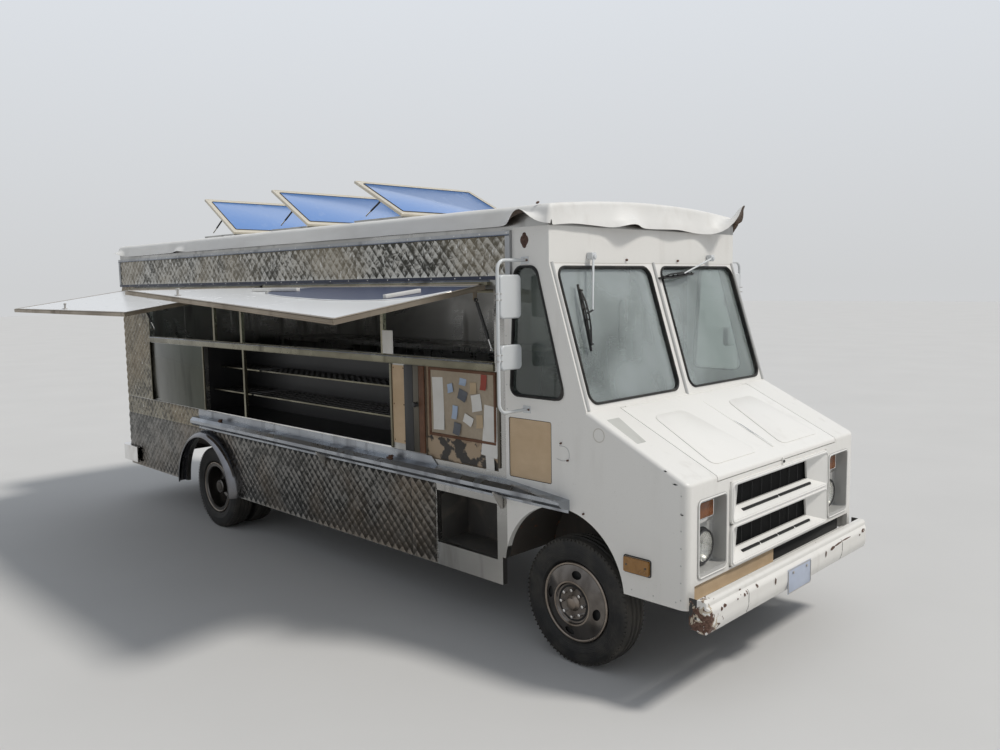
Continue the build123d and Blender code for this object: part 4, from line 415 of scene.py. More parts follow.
@dataclass(frozen=True)
class Cloth(Finish):
    """Coated cloth or vinyl: a fine weave under the coat, folds that hold dirt."""

    colour: Colour
    dirt: Colour
    dirt_share: float = 0.4
    threads: float = 420.0
    gloss: float = 0.5

    def wire(self, g: Graph) -> None:
        """Wire the finish's nodes to the shader."""
        weave = None
        for turn in ((0.0, 0.0, 0.0), (0.0, 0.0, 90.0)):
            wave = g.stripes("X", self.threads / 3.14, g.mapped((1.0, 1.0, 1.0), turn))
            weave = wave if weave is None else g.times(weave, wave)
        stain = g.band(g.noise(2.4, 7.0, distortion=0.7), 0.42, 0.78)
        streak = g.band(g.noise(1.0, 5.0, g.mapped((1.2, 9.0, 6.0))), 0.48, 0.8)
        soil = g.times(g.maths("MAXIMUM", stain, streak), self.dirt_share)
        relief = g.bump(weave, 0.15, 0.0004)
        relief = g.bump(g.noise(14.0, 4.0), 0.2, 0.004, relief)
        g.set(Base_Color=g.blend(soil, self.colour, self.dirt), Roughness=g.spread(soil, self.gloss, 0.85),
              Normal=relief, Sheen_Weight=0.1)


@dataclass(frozen=True)
class Fibreboard(Finish):
    """Raw or varnished board: fibres along one way, stains and worn-through patches."""

    pale: Colour = (0.56, 0.44, 0.30)
    deep: Colour = (0.40, 0.29, 0.18)
    worn: Colour = (0.045, 0.04, 0.035)
    worn_below: float = -1.0
    fibre: Point = (3.0, 3.0, 60.0)

    def wire(self, g: Graph) -> None:
        """Wire the finish's nodes to the shader."""
        fibre = g.noise(1.0, 6.0, g.mapped(self.fibre), 0.3)
        stain = g.band(g.noise(5.0, 6.0, distortion=0.5), 0.4, 0.75)
        colour = g.blend(fibre, self.deep, self.pale)
        colour = g.blend(g.times(stain, 0.45), colour, self.deep)
        if self.worn_below > 0:
            ragged = g.plus(g.axis("Z"), g.spread(g.noise(13.0, 6.0), -0.13, 0.13))
            colour = g.blend(g.minus(1.0, g.band(ragged, self.worn_below, self.worn_below + 0.01)),
                             colour, g.blend(g.band(g.noise(8.0, 5.0), 0.5, 0.55), self.worn, self.pale))
        g.set(Base_Color=colour, Roughness=g.spread(stain, 0.62, 0.85), Normal=g.bump(fibre, 0.3, 0.0012))


@dataclass(frozen=True)
class Moulding(Finish):
    """Moulded plastic, paper or other plain stuff with a fine texture and scuffs."""

    colour: Colour
    scuff: Colour
    gloss: float = 0.4
    texture: float = 220.0
    share: float = 0.3

    def wire(self, g: Graph) -> None:
        """Wire the finish's nodes to the shader."""
        marks = g.times(g.band(g.noise(6.0, 8.0, distortion=1.0), 0.42, 0.78), self.share)
        g.set(Base_Color=g.blend(marks, self.colour, self.scuff), Roughness=g.spread(marks, self.gloss, 0.9),
              Normal=g.bump(g.noise(self.texture, 3.0), 0.15, 0.0008))


class Skin(Enum):
    """Every finish on the truck, by the pieces that carry it."""

    CAB_WHITE = Enamel((0.80, 0.785, 0.75), dirt_share=0.32)
    HOOD_WHITE = Enamel((0.83, 0.815, 0.78), dirt_share=0.16)
    GRILLE_WHITE = Enamel((0.80, 0.79, 0.76), dirt_share=0.22, chips=0.3)
    # The bumper's brackets behind its face carry painted shade.
    BUMPER_WHITE = Enamel((0.80, 0.785, 0.75), dirt_share=0.25, rust=(0.070, 0.034, 0.021), chips=0.55,
                          rust_at=(0.900, -1.035, 0.520), rust_reach=0.195, primer=(0.50, 0.43, 0.33),
                          painted_shade_behind=0.886)
    BEZEL_SILVER = Enamel((0.50, 0.50, 0.485), dirt_share=0.35, metallic=0.2)
    PILLAR_GREY = Enamel((0.50, 0.50, 0.49), dirt_share=0.3)
    LID_CREAM = Enamel((0.62, 0.57, 0.47), dirt_share=0.6)
    MIRROR_SHELL = Enamel((0.66, 0.68, 0.69), dirt_share=0.15, gloss=0.25)
    TUBE_SILVER = Enamel((0.47, 0.45, 0.42), dirt_share=0.35, chips=0.5, metallic=0.5)
    CORE_BLACK = Enamel((0.004, 0.004, 0.004), (0.02, 0.018, 0.017), 0.2, gloss=0.9)
    BLACK_PAINT = Enamel((0.010, 0.010, 0.011), (0.06, 0.055, 0.05), 0.4, gloss=0.45)
    CHASSIS_BLACK = Enamel((0.022, 0.021, 0.020), (0.13, 0.105, 0.08), 0.9, chips=1.0, gloss=0.6)
    ENGINE_GREY = Enamel((0.10, 0.10, 0.095), (0.05, 0.035, 0.02), 0.9, chips=0.6, gloss=0.6)
    DISC_STEEL = Enamel((0.13, 0.122, 0.115), (0.07, 0.058, 0.045), 0.6, chips=0.4, metallic=0.9, gloss=0.18)
    DISH_STEEL = SheetMetal((0.165, 0.150, 0.138), (0.060, 0.051, 0.044), (9.0, 9.0, 9.0), 0.12, 0.30, 7.0, 0.12)
    RIM_BRONZE = SheetMetal((0.32, 0.275, 0.235), (0.15, 0.12, 0.095), (30.0, 30.0, 30.0), 0.25, 0.5, 5.0, 0.1)
    BODY_STEEL = SheetMetal((0.47, 0.465, 0.45), (0.25, 0.245, 0.23))
    FASCIA_STEEL = SheetMetal((0.40, 0.41, 0.42), (0.24, 0.245, 0.25), (130.0, 1.2, 1.2), gloss=0.3,
                              dark_below=2.3815)
    RAIL_STEEL = SheetMetal((0.20, 0.215, 0.25), (0.10, 0.11, 0.13), (1.2, 130.0, 130.0), gloss=0.3)
    LEDGE_STEEL = SheetMetal((0.40, 0.425, 0.46), (0.20, 0.205, 0.22), (1.0, 90.0, 90.0), gloss=0.2)
    TRIM_BRIGHT = SheetMetal((0.74, 0.73, 0.71), (0.50, 0.48, 0.45), (1.0, 40.0, 40.0), 0.12, 0.3, 3.0, 0.05)
    CHROME = SheetMetal((0.80, 0.80, 0.80), (0.45, 0.42, 0.38), (4.0, 4.0, 4.0), 0.05, 0.3, 5.0, 0.02)
    AWNING_WHITE = Enamel((0.80, 0.81, 0.82), (0.42, 0.41, 0.38), 0.35, gloss=0.22)
    AWNING_EDGE = SheetMetal((0.36, 0.31, 0.245), (0.19, 0.155, 0.12), (1.0, 90.0, 90.0), 0.35, 0.6)
    WINDOW_BRONZE = SheetMetal((0.25, 0.235, 0.175), (0.095, 0.085, 0.06), (1.6, 60.0, 60.0), 0.22, 0.45, 2.6)
    # Painted reflection: steel darkened nearly to black, as it looks when it mirrors dark surroundings.
    PANEL_STEEL_PAINTED_REFLECTION = SheetMetal((0.085, 0.09, 0.075), (0.04, 0.043, 0.035), (2.0, 2.0, 1.0), 0.08, 0.25, 1.6, 0.35)
    QUILT = QuiltedMetal()
    # Painted shade: a darker copy of the quilt with fewer glints, for the skirts.
    SKIRT_QUILT_PAINTED_SHADE = QuiltedMetal((0.19, 0.185, 0.175), (0.05, 0.05, 0.046), (0.19, 0.15, 0.11), 0.08)
    # Painted reflection: a darker, tan copy of the quilt for the rear corner, as if it mirrored a road.
    REAR_QUILT_PAINTED_REFLECTION = QuiltedMetal((0.25, 0.23, 0.18), (0.05, 0.045, 0.034), (0.23, 0.18, 0.115), 0.5)
    SCREEN_GLASS = Glazing()
    PANEL_BLUE = Enamel((0.13, 0.27, 0.60), (0.38, 0.49, 0.68), 0.6, gloss=0.14)
    # Painted reflection: the dark fascia as mirrored in the awnings' tops.
    PAINTED_REFLECTION_BLUE = Enamel((0.022, 0.034, 0.085), (0.10, 0.12, 0.17), 0.3, gloss=0.4)
    LAMP_CLEAR = Lens((0.90, 0.90, 0.86), 0.85, (90.0, 90.0, 0.0))
    LAMP_AMBER = Lens((0.30, 0.095, 0.018), 0.3)
    MARKER_AMBER = Lens((0.40, 0.20, 0.055), 0.2, (120.0, 0.0, 0.0))
    LAMP_RED = Lens((0.42, 0.018, 0.012))
    SOFT_BLACK = Rubber()
    TYRE_FRONT = Rubber((0.010, 0.010, 0.010), dust_share=0.3, axle_x=2.8025)
    TYRE_REAR = Rubber((0.010, 0.010, 0.010), dust_share=0.3, axle_x=-1.7185)
    ROOF_CLOTH = Cloth((0.80, 0.79, 0.765), (0.47, 0.44, 0.39), 0.22)
    ROOF_UNDER = Cloth((0.075, 0.045, 0.028), (0.15, 0.10, 0.06), 0.6)
    SEAT_VINYL = Cloth((0.045, 0.045, 0.05), (0.14, 0.13, 0.11), 0.4, 700.0, 0.42)
    BOARD = Fibreboard((0.66, 0.50, 0.33), (0.50, 0.36, 0.22), fibre=(9.0, 9.0, 14.0))
    CORK = Fibreboard((0.44, 0.37, 0.28), (0.33, 0.27, 0.20), fibre=(40.0, 40.0, 40.0))
    DOOR_BOARD = Fibreboard((0.42, 0.32, 0.22), (0.26, 0.18, 0.12), worn_below=1.30)
    FRAME_WOOD = Fibreboard((0.17, 0.075, 0.035), (0.09, 0.04, 0.02), fibre=(30.0, 3.0, 30.0))
    PAPER = Moulding((0.74, 0.73, 0.70), (0.55, 0.52, 0.46), 0.8, 60.0)
    PLATE_BLANK = Moulding((0.44, 0.49, 0.60), (0.30, 0.32, 0.36), 0.35, 300.0)
    TAPE_GREY = Moulding((0.52, 0.52, 0.49), (0.34, 0.33, 0.30), 0.55)
    STAIN = Moulding((0.60, 0.57, 0.52), (0.42, 0.36, 0.30), 0.6)
    DASH_TEAL = Moulding((0.10, 0.17, 0.165), (0.20, 0.22, 0.20), 0.5)
    DECK = Moulding((0.05, 0.046, 0.042), (0.12, 0.105, 0.085), 0.7, 90.0, 0.6)
    SOCKET_RUST = Enamel((0.10, 0.045, 0.025), (0.045, 0.022, 0.014), 1.0, chips=1.0, gloss=0.8)
    SOCKET_WORN = Enamel((0.42, 0.38, 0.33), (0.10, 0.05, 0.03), 1.0, rust=(0.05, 0.024, 0.015), chips=1.0,
                         rust_at=(-0.3, -1.06, 2.60), rust_reach=0.16, gloss=0.8)
    POST_BRONZE = SheetMetal((0.15, 0.135, 0.11), (0.07, 0.065, 0.055), (40.0, 40.0, 1.2), 0.35, 0.6)
    FLARE_CHROME = SheetMetal((0.22, 0.22, 0.235), (0.09, 0.085, 0.08), (3.0, 3.0, 3.0), 0.06, 0.3, 4.0, 0.12)
    CARD_BLUE = Moulding((0.40, 0.50, 0.66), (0.50, 0.52, 0.52), 0.8, 60.0)
    CARD_TAN = Moulding((0.52, 0.40, 0.26), (0.40, 0.32, 0.22), 0.8, 60.0)
    CARD_GREY = Moulding((0.12, 0.13, 0.15), (0.30, 0.29, 0.27), 0.8, 60.0)
    CARD_RED = Moulding((0.33, 0.07, 0.05), (0.42, 0.20, 0.15), 0.8, 60.0)


_MATERIALS: dict[Skin, bpy.types.Material] = {}


def material(skin: Skin) -> bpy.types.Material:
    """The material of a finish, made once.

    Args:
        skin: the finish.

    Returns:
        Its material.
    """
    if skin not in _MATERIALS:
        _MATERIALS[skin] = skin.value.build(skin.name.lower())
    return _MATERIALS[skin]


# Modelling bench
class Bench:
    """Starts each mesh from a primitive and shapes it with Blender's operators."""

    @staticmethod
    def clear() -> None:
        """Leave edit mode with nothing selected."""
        if bpy.context.mode != "OBJECT":
            bpy.ops.object.mode_set(mode="OBJECT")
        bpy.ops.object.select_all(action="DESELECT")

    @staticmethod
    @contextmanager
    def editing() -> Iterator[None]:
        """Edit mode with everything selected, left again at the end."""
        bpy.ops.object.mode_set(mode="EDIT")
        bpy.ops.mesh.select_all(action="SELECT")
        yield
        bpy.ops.object.mode_set(mode="OBJECT")

    @staticmethod
    def pick(piece: Object, kind: str, test: Callable[[object], bool]) -> None:
        """Select the verts or the faces that pass a test, in edit mode."""
        mesh = bmesh.from_edit_mesh(piece.data)
        for item in getattr(mesh, kind):
            item.select_set(test(item))
        bmesh.update_edit_mesh(piece.data)

    @classmethod
    def take(cls, piece: Object) -> None:
        """Make a piece the only one selected."""
        cls.clear()
        piece.select_set(True)
        bpy.context.view_layer.objects.active = piece

    @staticmethod
    def settle(name: str) -> Object:
        """Name the active piece and put its place into its mesh."""
        piece = bpy.context.object
        piece.name = name
        bpy.ops.object.transform_apply(location=True, rotation=True, scale=True)
        return piece

    @classmethod
    def apply(cls, piece: Object, kind: str, **settings: object) -> Object:
        """Add a modifier with its settings and apply it.

        Args:
            piece: the mesh to change.
            kind: the modifier's type.
            settings: its properties.

        Returns:
            The same piece.
        """
        cls.take(piece)
        modifier = piece.modifiers.new(kind.title(), kind)
        for key, value in settings.items():
            setattr(modifier, key, value)
        bpy.ops.object.modifier_apply(modifier=modifier.name)
        return piece

    @classmethod
    def round_edges(cls, piece: Object, width: float, segments: int = 2, angle: float = 30.0) -> Object:
        """Bevel the edges that are sharper than an angle in degrees."""
        return cls.apply(piece, "BEVEL", width=width, segments=segments, limit_method="ANGLE",
                         angle_limit=math.radians(angle), use_clamp_overlap=True)

    @classmethod
    def box(cls, name: str, low: Point, high: Point, edge: float = 0.002) -> Object:
        """A block between two corners, with its edges eased."""
        cls.clear()
        a, b = on_truck(*low), on_truck(*high)
        bpy.ops.mesh.primitive_cube_add(size=1.0, location=(a + b) / 2)
        bpy.context.object.scale = [abs(v) for v in b - a]
        piece = cls.settle(name)
        return cls.round_edges(piece, edge) if edge else piece

    @classmethod
    def rod(cls, name: str, start: Point, end: Point, radius: float, sides: int = 20, edge: float = 0.0,
            tip: Optional[float] = None) -> Object:
        """A round bar between two points, tapered where a tip radius is given."""
        cls.clear()
        a, b = on_truck(*start), on_truck(*end)
        bpy.ops.mesh.primitive_cone_add(vertices=sides, radius1=radius, radius2=radius if tip is None else tip,
                                        depth=(b - a).length, location=(a + b) / 2,
                                        rotation=(b - a).to_track_quat("Z", "Y").to_euler())
        piece = cls.settle(name)
        return cls.round_edges(piece, edge, angle=50.0) if edge else piece

    @classmethod
    def wire(cls, name: str, points: Sequence[Point], closed: bool = False, corner: float = 0.0) -> Object:
        """A line of edges extruded from point to point, with rounded corners.

        Args:
            name: the piece's name.
            points: its corners, in the truck's axes.
            closed: whether the last point joins the first.
            corner: the radius of the corners.

        Returns:
            The wire, still without faces.
        """
        cls.clear()
        places = [on_truck(*p) for p in points]
        bpy.ops.mesh.primitive_plane_add(size=0.01, location=places[0])
        piece = cls.settle(name)
        with cls.editing():
            bpy.ops.mesh.merge(type="CENTER")
            for before, after in zip(places, places[1:]):
                bpy.ops.mesh.extrude_region_move(TRANSFORM_OT_translate={"value": after - before})
            if closed:
                mesh = bmesh.from_edit_mesh(piece.data)
                mesh.verts.ensure_lookup_table()
                mesh.verts[0].select_set(True)
                bmesh.update_edit_mesh(piece.data)
                bpy.ops.mesh.edge_face_add()
            if corner:
                cls.pick(piece, "verts", lambda vert: len(vert.link_edges) == 2)
                bpy.ops.mesh.bevel(offset=corner, segments=6, affect="VERTICES")
        return piece

    @classmethod
    def bead(cls, name: str, points: Sequence[Point], radius: float, closed: bool = True,
             corner: float = 0.0) -> Object:
        """A round bead or bent bar that follows a wire."""
        piece = cls.wire(name, points, closed, corner)
        cls.take(piece)
        bpy.ops.object.convert(target="CURVE")
        curve = bpy.context.object.data
        curve.bevel_depth = radius
        curve.bevel_resolution = 2
        curve.use_fill_caps = not closed
        bpy.ops.object.convert(target="MESH")
        return bpy.context.object

    @classmethod
    def slab(cls, name: str, points: Sequence[Point], depth: Point, corner: float = 0.0,
             edge: float = 0.0) -> Object:
        """A flat outline filled and extruded by a vector, with its corners and edges rounded."""
        piece = cls.wire(name, points, True, corner)
        with cls.editing():
            bpy.ops.mesh.edge_face_add()
            bpy.ops.mesh.extrude_region_move(TRANSFORM_OT_translate={"value": Vector(depth)})
            bpy.ops.mesh.select_all(action="SELECT")
            bpy.ops.mesh.normals_make_consistent(inside=False)
        return cls.round_edges(piece, edge) if edge else piece

    @classmethod
    def lathe(cls, name: str, centre: Point, axis: Point, profile: Sequence[Pair],
              steps: int = 48) -> Object:
        """A profile of radius and offset spun round an axis.

        Args:
            name: the piece's name.
            centre: a point on the axis, in the truck's axes.
            axis: the axis's unit direction.
            profile: pairs of radius and offset along the axis, from end to end.
            steps: how many steps make the turn.

        Returns:
            The closed solid of revolution.
        """
        along = Vector(axis)
        away = along.orthogonal().normalized()
        piece = cls.wire(name, [Vector(centre) + away * r + along * offset for r, offset in profile])
        with cls.editing():
            bpy.ops.mesh.spin(steps=steps, angle=math.tau, center=on_truck(*centre), axis=along)
            bpy.ops.mesh.select_all(action="SELECT")
            bpy.ops.mesh.remove_doubles(threshold=1e-5)
            bpy.ops.mesh.normals_make_consistent(inside=False)
        return piece

    @classmethod
    def grid(cls, name: str, columns: int, rows: int, place: Callable[[float, float], Vector]) -> Object:
        """A grid whose points are placed by a function of their shares, from 0 to 1 each way."""
        cls.clear()
        bpy.ops.mesh.primitive_grid_add(x_subdivisions=columns, y_subdivisions=rows, size=2.0)
        piece = cls.settle(name)
        for vert in piece.data.vertices:
            vert.co = place((vert.co.x + 1) / 2, (vert.co.y + 1) / 2)
        return piece

    @classmethod
    def array(cls, piece: Object, count: int, step: Vector) -> Object:
        """Repeat a piece along a straight line."""
        return cls.apply(piece, "ARRAY", fit_type="FIXED_COUNT", count=count, use_relative_offset=False,
                         use_constant_offset=True, constant_offset_displace=step)

    @classmethod
    def ring(cls, piece: Object, count: int, centre: Point, axis: Point) -> Object:
        """Repeat a piece round an axis."""
        hub = in_scene("hub", None)
        place = Matrix.Translation(on_truck(*centre))
        hub.matrix_world = place @ Matrix.Rotation(math.tau / count, 4, Vector(axis)) @ place.inverted()
        cls.apply(piece, "ARRAY", fit_type="FIXED_COUNT", count=count, use_relative_offset=False,
                  use_object_offset=True, offset_object=hub)
        bpy.data.objects.remove(hub)
        return piece

    @classmethod
    def twin(cls, piece: Object, name: str) -> Object:
        """The same piece mirrored to the other side of the truck, with its own mesh."""
        cls.take(piece)
        bpy.ops.object.duplicate(linked=False)
        copy = bpy.context.object
        copy.name = name
        with cls.editing():
            bpy.ops.transform.resize(value=(1.0, -1.0, 1.0), center_override=TRUCK_ORIGIN)
            bpy.ops.mesh.flip_normals()
        return copy

    @classmethod
    def join(cls, name: str, pieces: Sequence[Object]) -> Object:
        """Several pieces of one finish as one object."""
        cls.take(pieces[0])
        for piece in pieces:
            piece.select_set(True)
        if len(pieces) > 1:
            bpy.ops.object.join()
        pieces[0].name = name
        return pieces[0]

    @classmethod
    def domes(cls, name: str, start: Point, end: Point, pitch: float, outward: Point,
              radius: float = 0.005, height: float = 0.002) -> Object:
        """A row of domed rivet heads between two points.

        Args:
            name: the row's name.
            start: the first head's seat, in the truck's axes.
            end: the last head's seat.
            pitch: roughly how far apart the heads are.
            outward: the direction that they stand out in.
            radius: a head's radius.
            height: a head's height.

        Returns:
            The row as one object.
        """
        cls.clear()
        a, b = on_truck(*start), on_truck(*end)
        bpy.ops.mesh.primitive_uv_sphere_add(segments=8, ring_count=4, radius=1.0, location=a,
                                             rotation=Vector(outward).to_track_quat("Z", "Y").to_euler())
        bpy.context.object.scale = (radius, radius, height)
        piece = cls.settle(name)
        count = max(2, round((b - a).length / pitch) + 1)
        return cls.array(piece, count, (b - a) / (count - 1))

    @classmethod
    def smooth(cls, piece: Object, angle: float) -> None:
        """Shade smooth, with edges sharper than an angle in degrees kept."""
        cls.take(piece)
        bpy.ops.object.shade_smooth_by_angle(angle=math.radians(angle))


@dataclass
class Assembly(ABC):
    """A sub-assembly of the truck that models its pieces and fits each one to a body."""

    @abstractmethod
    def build(self) -> None:
        """Model every piece."""

    def fit(self, piece: Object, skin: Skin, body: str = TRUCK, angle: float = 35.0) -> Object:
        """Give a finished piece its finish, its shading and the body that it rides on.

        Args:
            piece: the finished mesh.
            skin: its finish.
            body: the CAD body that carries it.
            angle: the edge angle above which its shading stays sharp.

        Returns:
            The same piece.
        """
        Bench.smooth(piece, angle)
        piece.data.materials.clear()
        piece.data.materials.append(material(skin))
        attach(piece, body)
        LOG.info("%s: %s, %d faces on %s", type(self).__name__, piece.name, len(piece.data.polygons), body)
        return piece

    def fit_joined(self, name: str, pieces: Sequence[Object], skin: Skin, body: str = TRUCK) -> Object:
        """Join pieces under a name and fit them as one."""
        return self.fit(Bench.join(name, pieces), skin, body)

    def fit_boxes(self, skin: Skin, rows: Sequence[tuple[str, Point, Point, float]]) -> None:
        """Fit blocks of one finish to the truck, each told by its name, two corners and eased edge."""
        for name, low, high, edge in rows:
            self.fit(Bench.box(name, low, high, edge), skin)

    def fit_pair(self, piece: Object, skin: Skin, name: str, angle: float = 35.0) -> None:
        """Fit a right-hand piece and its mirrored twin to the truck."""
        other = Bench.twin(piece, f"{name}_left")
        piece.name = f"{name}_right"
        self.fit(piece, skin, angle=angle)
        self.fit(other, skin, angle=angle)


@dataclass
class CadFrame(Assembly):
    """The carried-over CAD nodes and the finish of each."""

    SKINS = {
        Skin.CAB_WHITE: "cab_front cab_side_left cab_side_right nose_shell",
        Skin.HOOD_WHITE: "hood_panel",
        Skin.GRILLE_WHITE: "grille",
        Skin.BUMPER_WHITE: "front_bumper",
        Skin.BEZEL_SILVER: "lamp_bezels",
        Skin.MARKER_AMBER: "amber_lamps",
        Skin.LAMP_CLEAR: "headlamps",
        Skin.LAMP_RED: "rear_lamps",
        Skin.SCREEN_GLASS: "cab_glass",
        Skin.SOFT_BLACK: "window_gaskets",
        Skin.BOARD: "board_panels",
        Skin.MIRROR_SHELL: "mirrors",
        Skin.BLACK_PAINT: "wipers display_bay strut_barrel_main strut_barrel_rear",
        Skin.BODY_STEEL: ("service_wall street_wall rear_wall rear_door driver_door kitchen_counter "
                          "roof_shell quilted_skirts"),
        Skin.FASCIA_STEEL: "side_fascias",
        Skin.LEDGE_STEEL: "serving_ledge",
        Skin.WINDOW_BRONZE: "service_frames",
        Skin.AWNING_EDGE: "awning_main awning_rear",
        Skin.FLARE_CHROME: "wheel_flares",
        Skin.CHROME: "strut_rod_main strut_rod_rear rear_bumper",
        Skin.DISC_STEEL: "front_wheel_left front_wheel_right rear_wheels_left rear_wheels_right",
        Skin.TYRE_FRONT: "front_tyre_left front_tyre_right",
        Skin.TYRE_REAR: "rear_tyres_left rear_tyres_right",
        Skin.CHASSIS_BLACK: "axles chassis_frame drive_shaft fuel_tank wheelhouses knuckle_left knuckle_right",
        Skin.ENGINE_GREY: "engine_block",
        Skin.DASH_TEAL: "dashboard",
        Skin.SEAT_VINYL: "driver_seat",
        Skin.DECK: "floor_deck",
        Skin.LID_CREAM: "vent_lid_front vent_lid_middle vent_lid_rear",
        Skin.ROOF_CLOTH: "roof_membrane",
    }

    def build(self) -> None:
        """Give each CAD node its finish."""
        for skin, names in self.SKINS.items():
            for name in names.split():
                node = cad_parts[name]
                node.data.materials.clear()
                node.data.materials.append(material(skin))
        LOG.info("CadFrame: %d nodes", len(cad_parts))


# Cab
@dataclass
class Cab(Assembly):
    """White cab: rivets, stains, a lamp socket, and the beads of its windows and boards."""

    cowl: Pair = (0.149, 1.592)
    header: Pair = (-0.125, 2.450)
    screen_across: Pair = (0.064, 0.998)
    screen_up: Pair = (0.034, 0.8747)
    side_window: tuple[Pair, ...] = ((-0.402, 2.432), (-0.228, 2.432), (-0.008, 1.642), (-0.45, 1.642))
    side_board: tuple[Pair, ...] = ((-0.47, 1.5), (-0.12, 1.5), (-0.12, 1.124), (-0.47, 1.124))
    screen_top: float = 0.905
    pillar_y: float = 1.032

    def on_screen(self, y: float, up: float, out: float) -> Point:
        """A point on the raked plane of the windscreens."""
        run = self.cowl[0] - self.header[0]
        rise = self.header[1] - self.cowl[1]
        length = math.hypot(run, rise)
        return (self.cowl[0] - run * up / length + rise * out / length, y,
                self.cowl[1] + rise * up / length + run * out / length)

    def build(self) -> None:
        """Model every piece."""
        self.build_beads()
        self.build_rivets()
        self.build_marks()
        self.build_header()

    def build_beads(self) -> None:
        """Round rubber lips over the gaskets and the bright post between the screens."""
        screen = [self.on_screen(-y, up, 0.0050) for y, up in corners(self.screen_across, self.screen_up)]
        self.fit_pair(Bench.bead("bead", screen, 0.0062, corner=0.07), Skin.SOFT_BLACK, "screen_bead")
        for name, outline, corner, radius, out in (("window_bead", self.side_window, 0.06, 0.0062, 0.005),
                                                   ("board_bead", self.side_board, 0.012, 0.0018, -0.0005)):
            ring = [(x, -WALL - out, z) for x, z in outline]
            self.fit_pair(Bench.bead("bead", ring, radius, corner=corner), Skin.SOFT_BLACK, name)
        ends = [self.on_screen(0.0, up, 0.003) for up in (-0.01, self.screen_top)]
        self.fit(Bench.rod("screen_post_strip", *ends, 0.011), Skin.PILLAR_GREY)
        for side in SIDES:
            ends = [self.on_screen(side * self.pillar_y, up, 0.0) for up in (0.0, self.screen_top)]
            self.fit(Bench.rod(f"pillar_bead_{SIDE_NAMES[side]}", *ends, 0.012), Skin.PILLAR_GREY)

    def build_rivets(self) -> None:
        """Rivet columns on the nose sides, the fender edge and the header corner."""
        for name, x, z, pitch in (("nose_rivets", (0.790, 0.790), (0.63, 1.20), 0.095),
                                  ("fender_rivets", (0.47, 0.76), (0.612, 0.612), 0.14),
                                  ("cab_seam_rivets", (-0.486, -0.486), (1.55, 2.62), 0.15)):
            row = Bench.domes(name, (x[0], -WALL, z[0]), (x[1], -WALL, z[1]), pitch, RIGHTWARD, height=0.0018)
            self.fit_pair(row, Skin.PILLAR_GREY, name)

    def build_marks(self) -> None:
        """The stain, the caulk ring, the hooks and the paint chips that the near side carries."""
        y = -WALL
        stain = Bench.lathe("round_stain", (0.241, y, 1.463), RIGHTWARD,
                            [(0.036, -0.001), (0.036, 0.0008), (0.042, 0.0008), (0.042, -0.001)], 32)
        self.fit(stain, Skin.STAIN)
        ring = [(-0.055, y, 1.368), (0.0, y, 1.366), (0.022, y, 1.335), (0.02, y, 1.29), (-0.03, y, 1.277),
                (-0.078, y, 1.286)]
        self.fit(Bench.bead("caulk_ring", ring, 0.0022, closed=False, corner=0.018), Skin.PILLAR_GREY)
        hooks = [Bench.rod("hook", (x, y + 0.001, z), (x, y - 0.012, z), 0.006, 10, 0.0015)
                 for x, z in ((-0.041, 1.384), (0.011, 1.287), (0.128, 0.985))]
        self.fit_joined("side_hooks", hooks, Skin.SOCKET_RUST)
        chips = [Bench.slab("chip", [(x - size, y, z), (x, y, z + 0.004), (x + size, y, z - 0.002), (x, y, z - 0.006)],
                            (0.0, -0.0009, 0.0))
                 for x, z, size in ((0.794, 1.101, 0.012), (0.751, 1.259, 0.018), (0.690, 1.322, 0.012))]
        self.fit_joined("paint_chips", chips, Skin.BLACK_PAINT)

    def build_header(self) -> None:
        """Rusted lamp socket, its clip, the bolts and the joint on the header."""
        y = -WALL
        holes = [Bench.lathe("socket", (-0.320, y, z), RIGHTWARD,
                             [(0.0, 0.001), (size, 0.001), (size * 1.3, 0.004), (size * 1.5, 0.0015),
                              (size * 1.55, -0.001)], 20)
                 for z, size in ((2.622, 0.010), (2.591, 0.022), (2.560, 0.011))]
        holes.append(Bench.slab("socket", [(-0.348, y, 2.60), (-0.32, y, 2.635), (-0.292, y, 2.598),
                                           (-0.30, y, 2.556), (-0.338, y, 2.552)], (0.0, -0.0014, 0.0), 0.012))
        self.fit_joined("lamp_socket", holes, Skin.SOCKET_WORN)
        self.fit(Bench.box("header_clip", (-0.330, y - 0.012, 2.462), (-0.292, y, 2.482), 0.003), Skin.TUBE_SILVER)
        bolts = [Bench.rod("bolt", (-0.125, y0, z0), (-0.112, y0, z0), 0.008, 6, 0.001)
                 for y0, z0 in ((-0.30, 2.472), (0.296, 2.470))]
        self.fit_joined("header_bolts", bolts, Skin.SOCKET_RUST)
        self.fit(Bench.box("header_joint", (-0.127, -1.05, 2.4485), (-0.1235, 1.05, 2.4515), 0.0), Skin.STAIN)


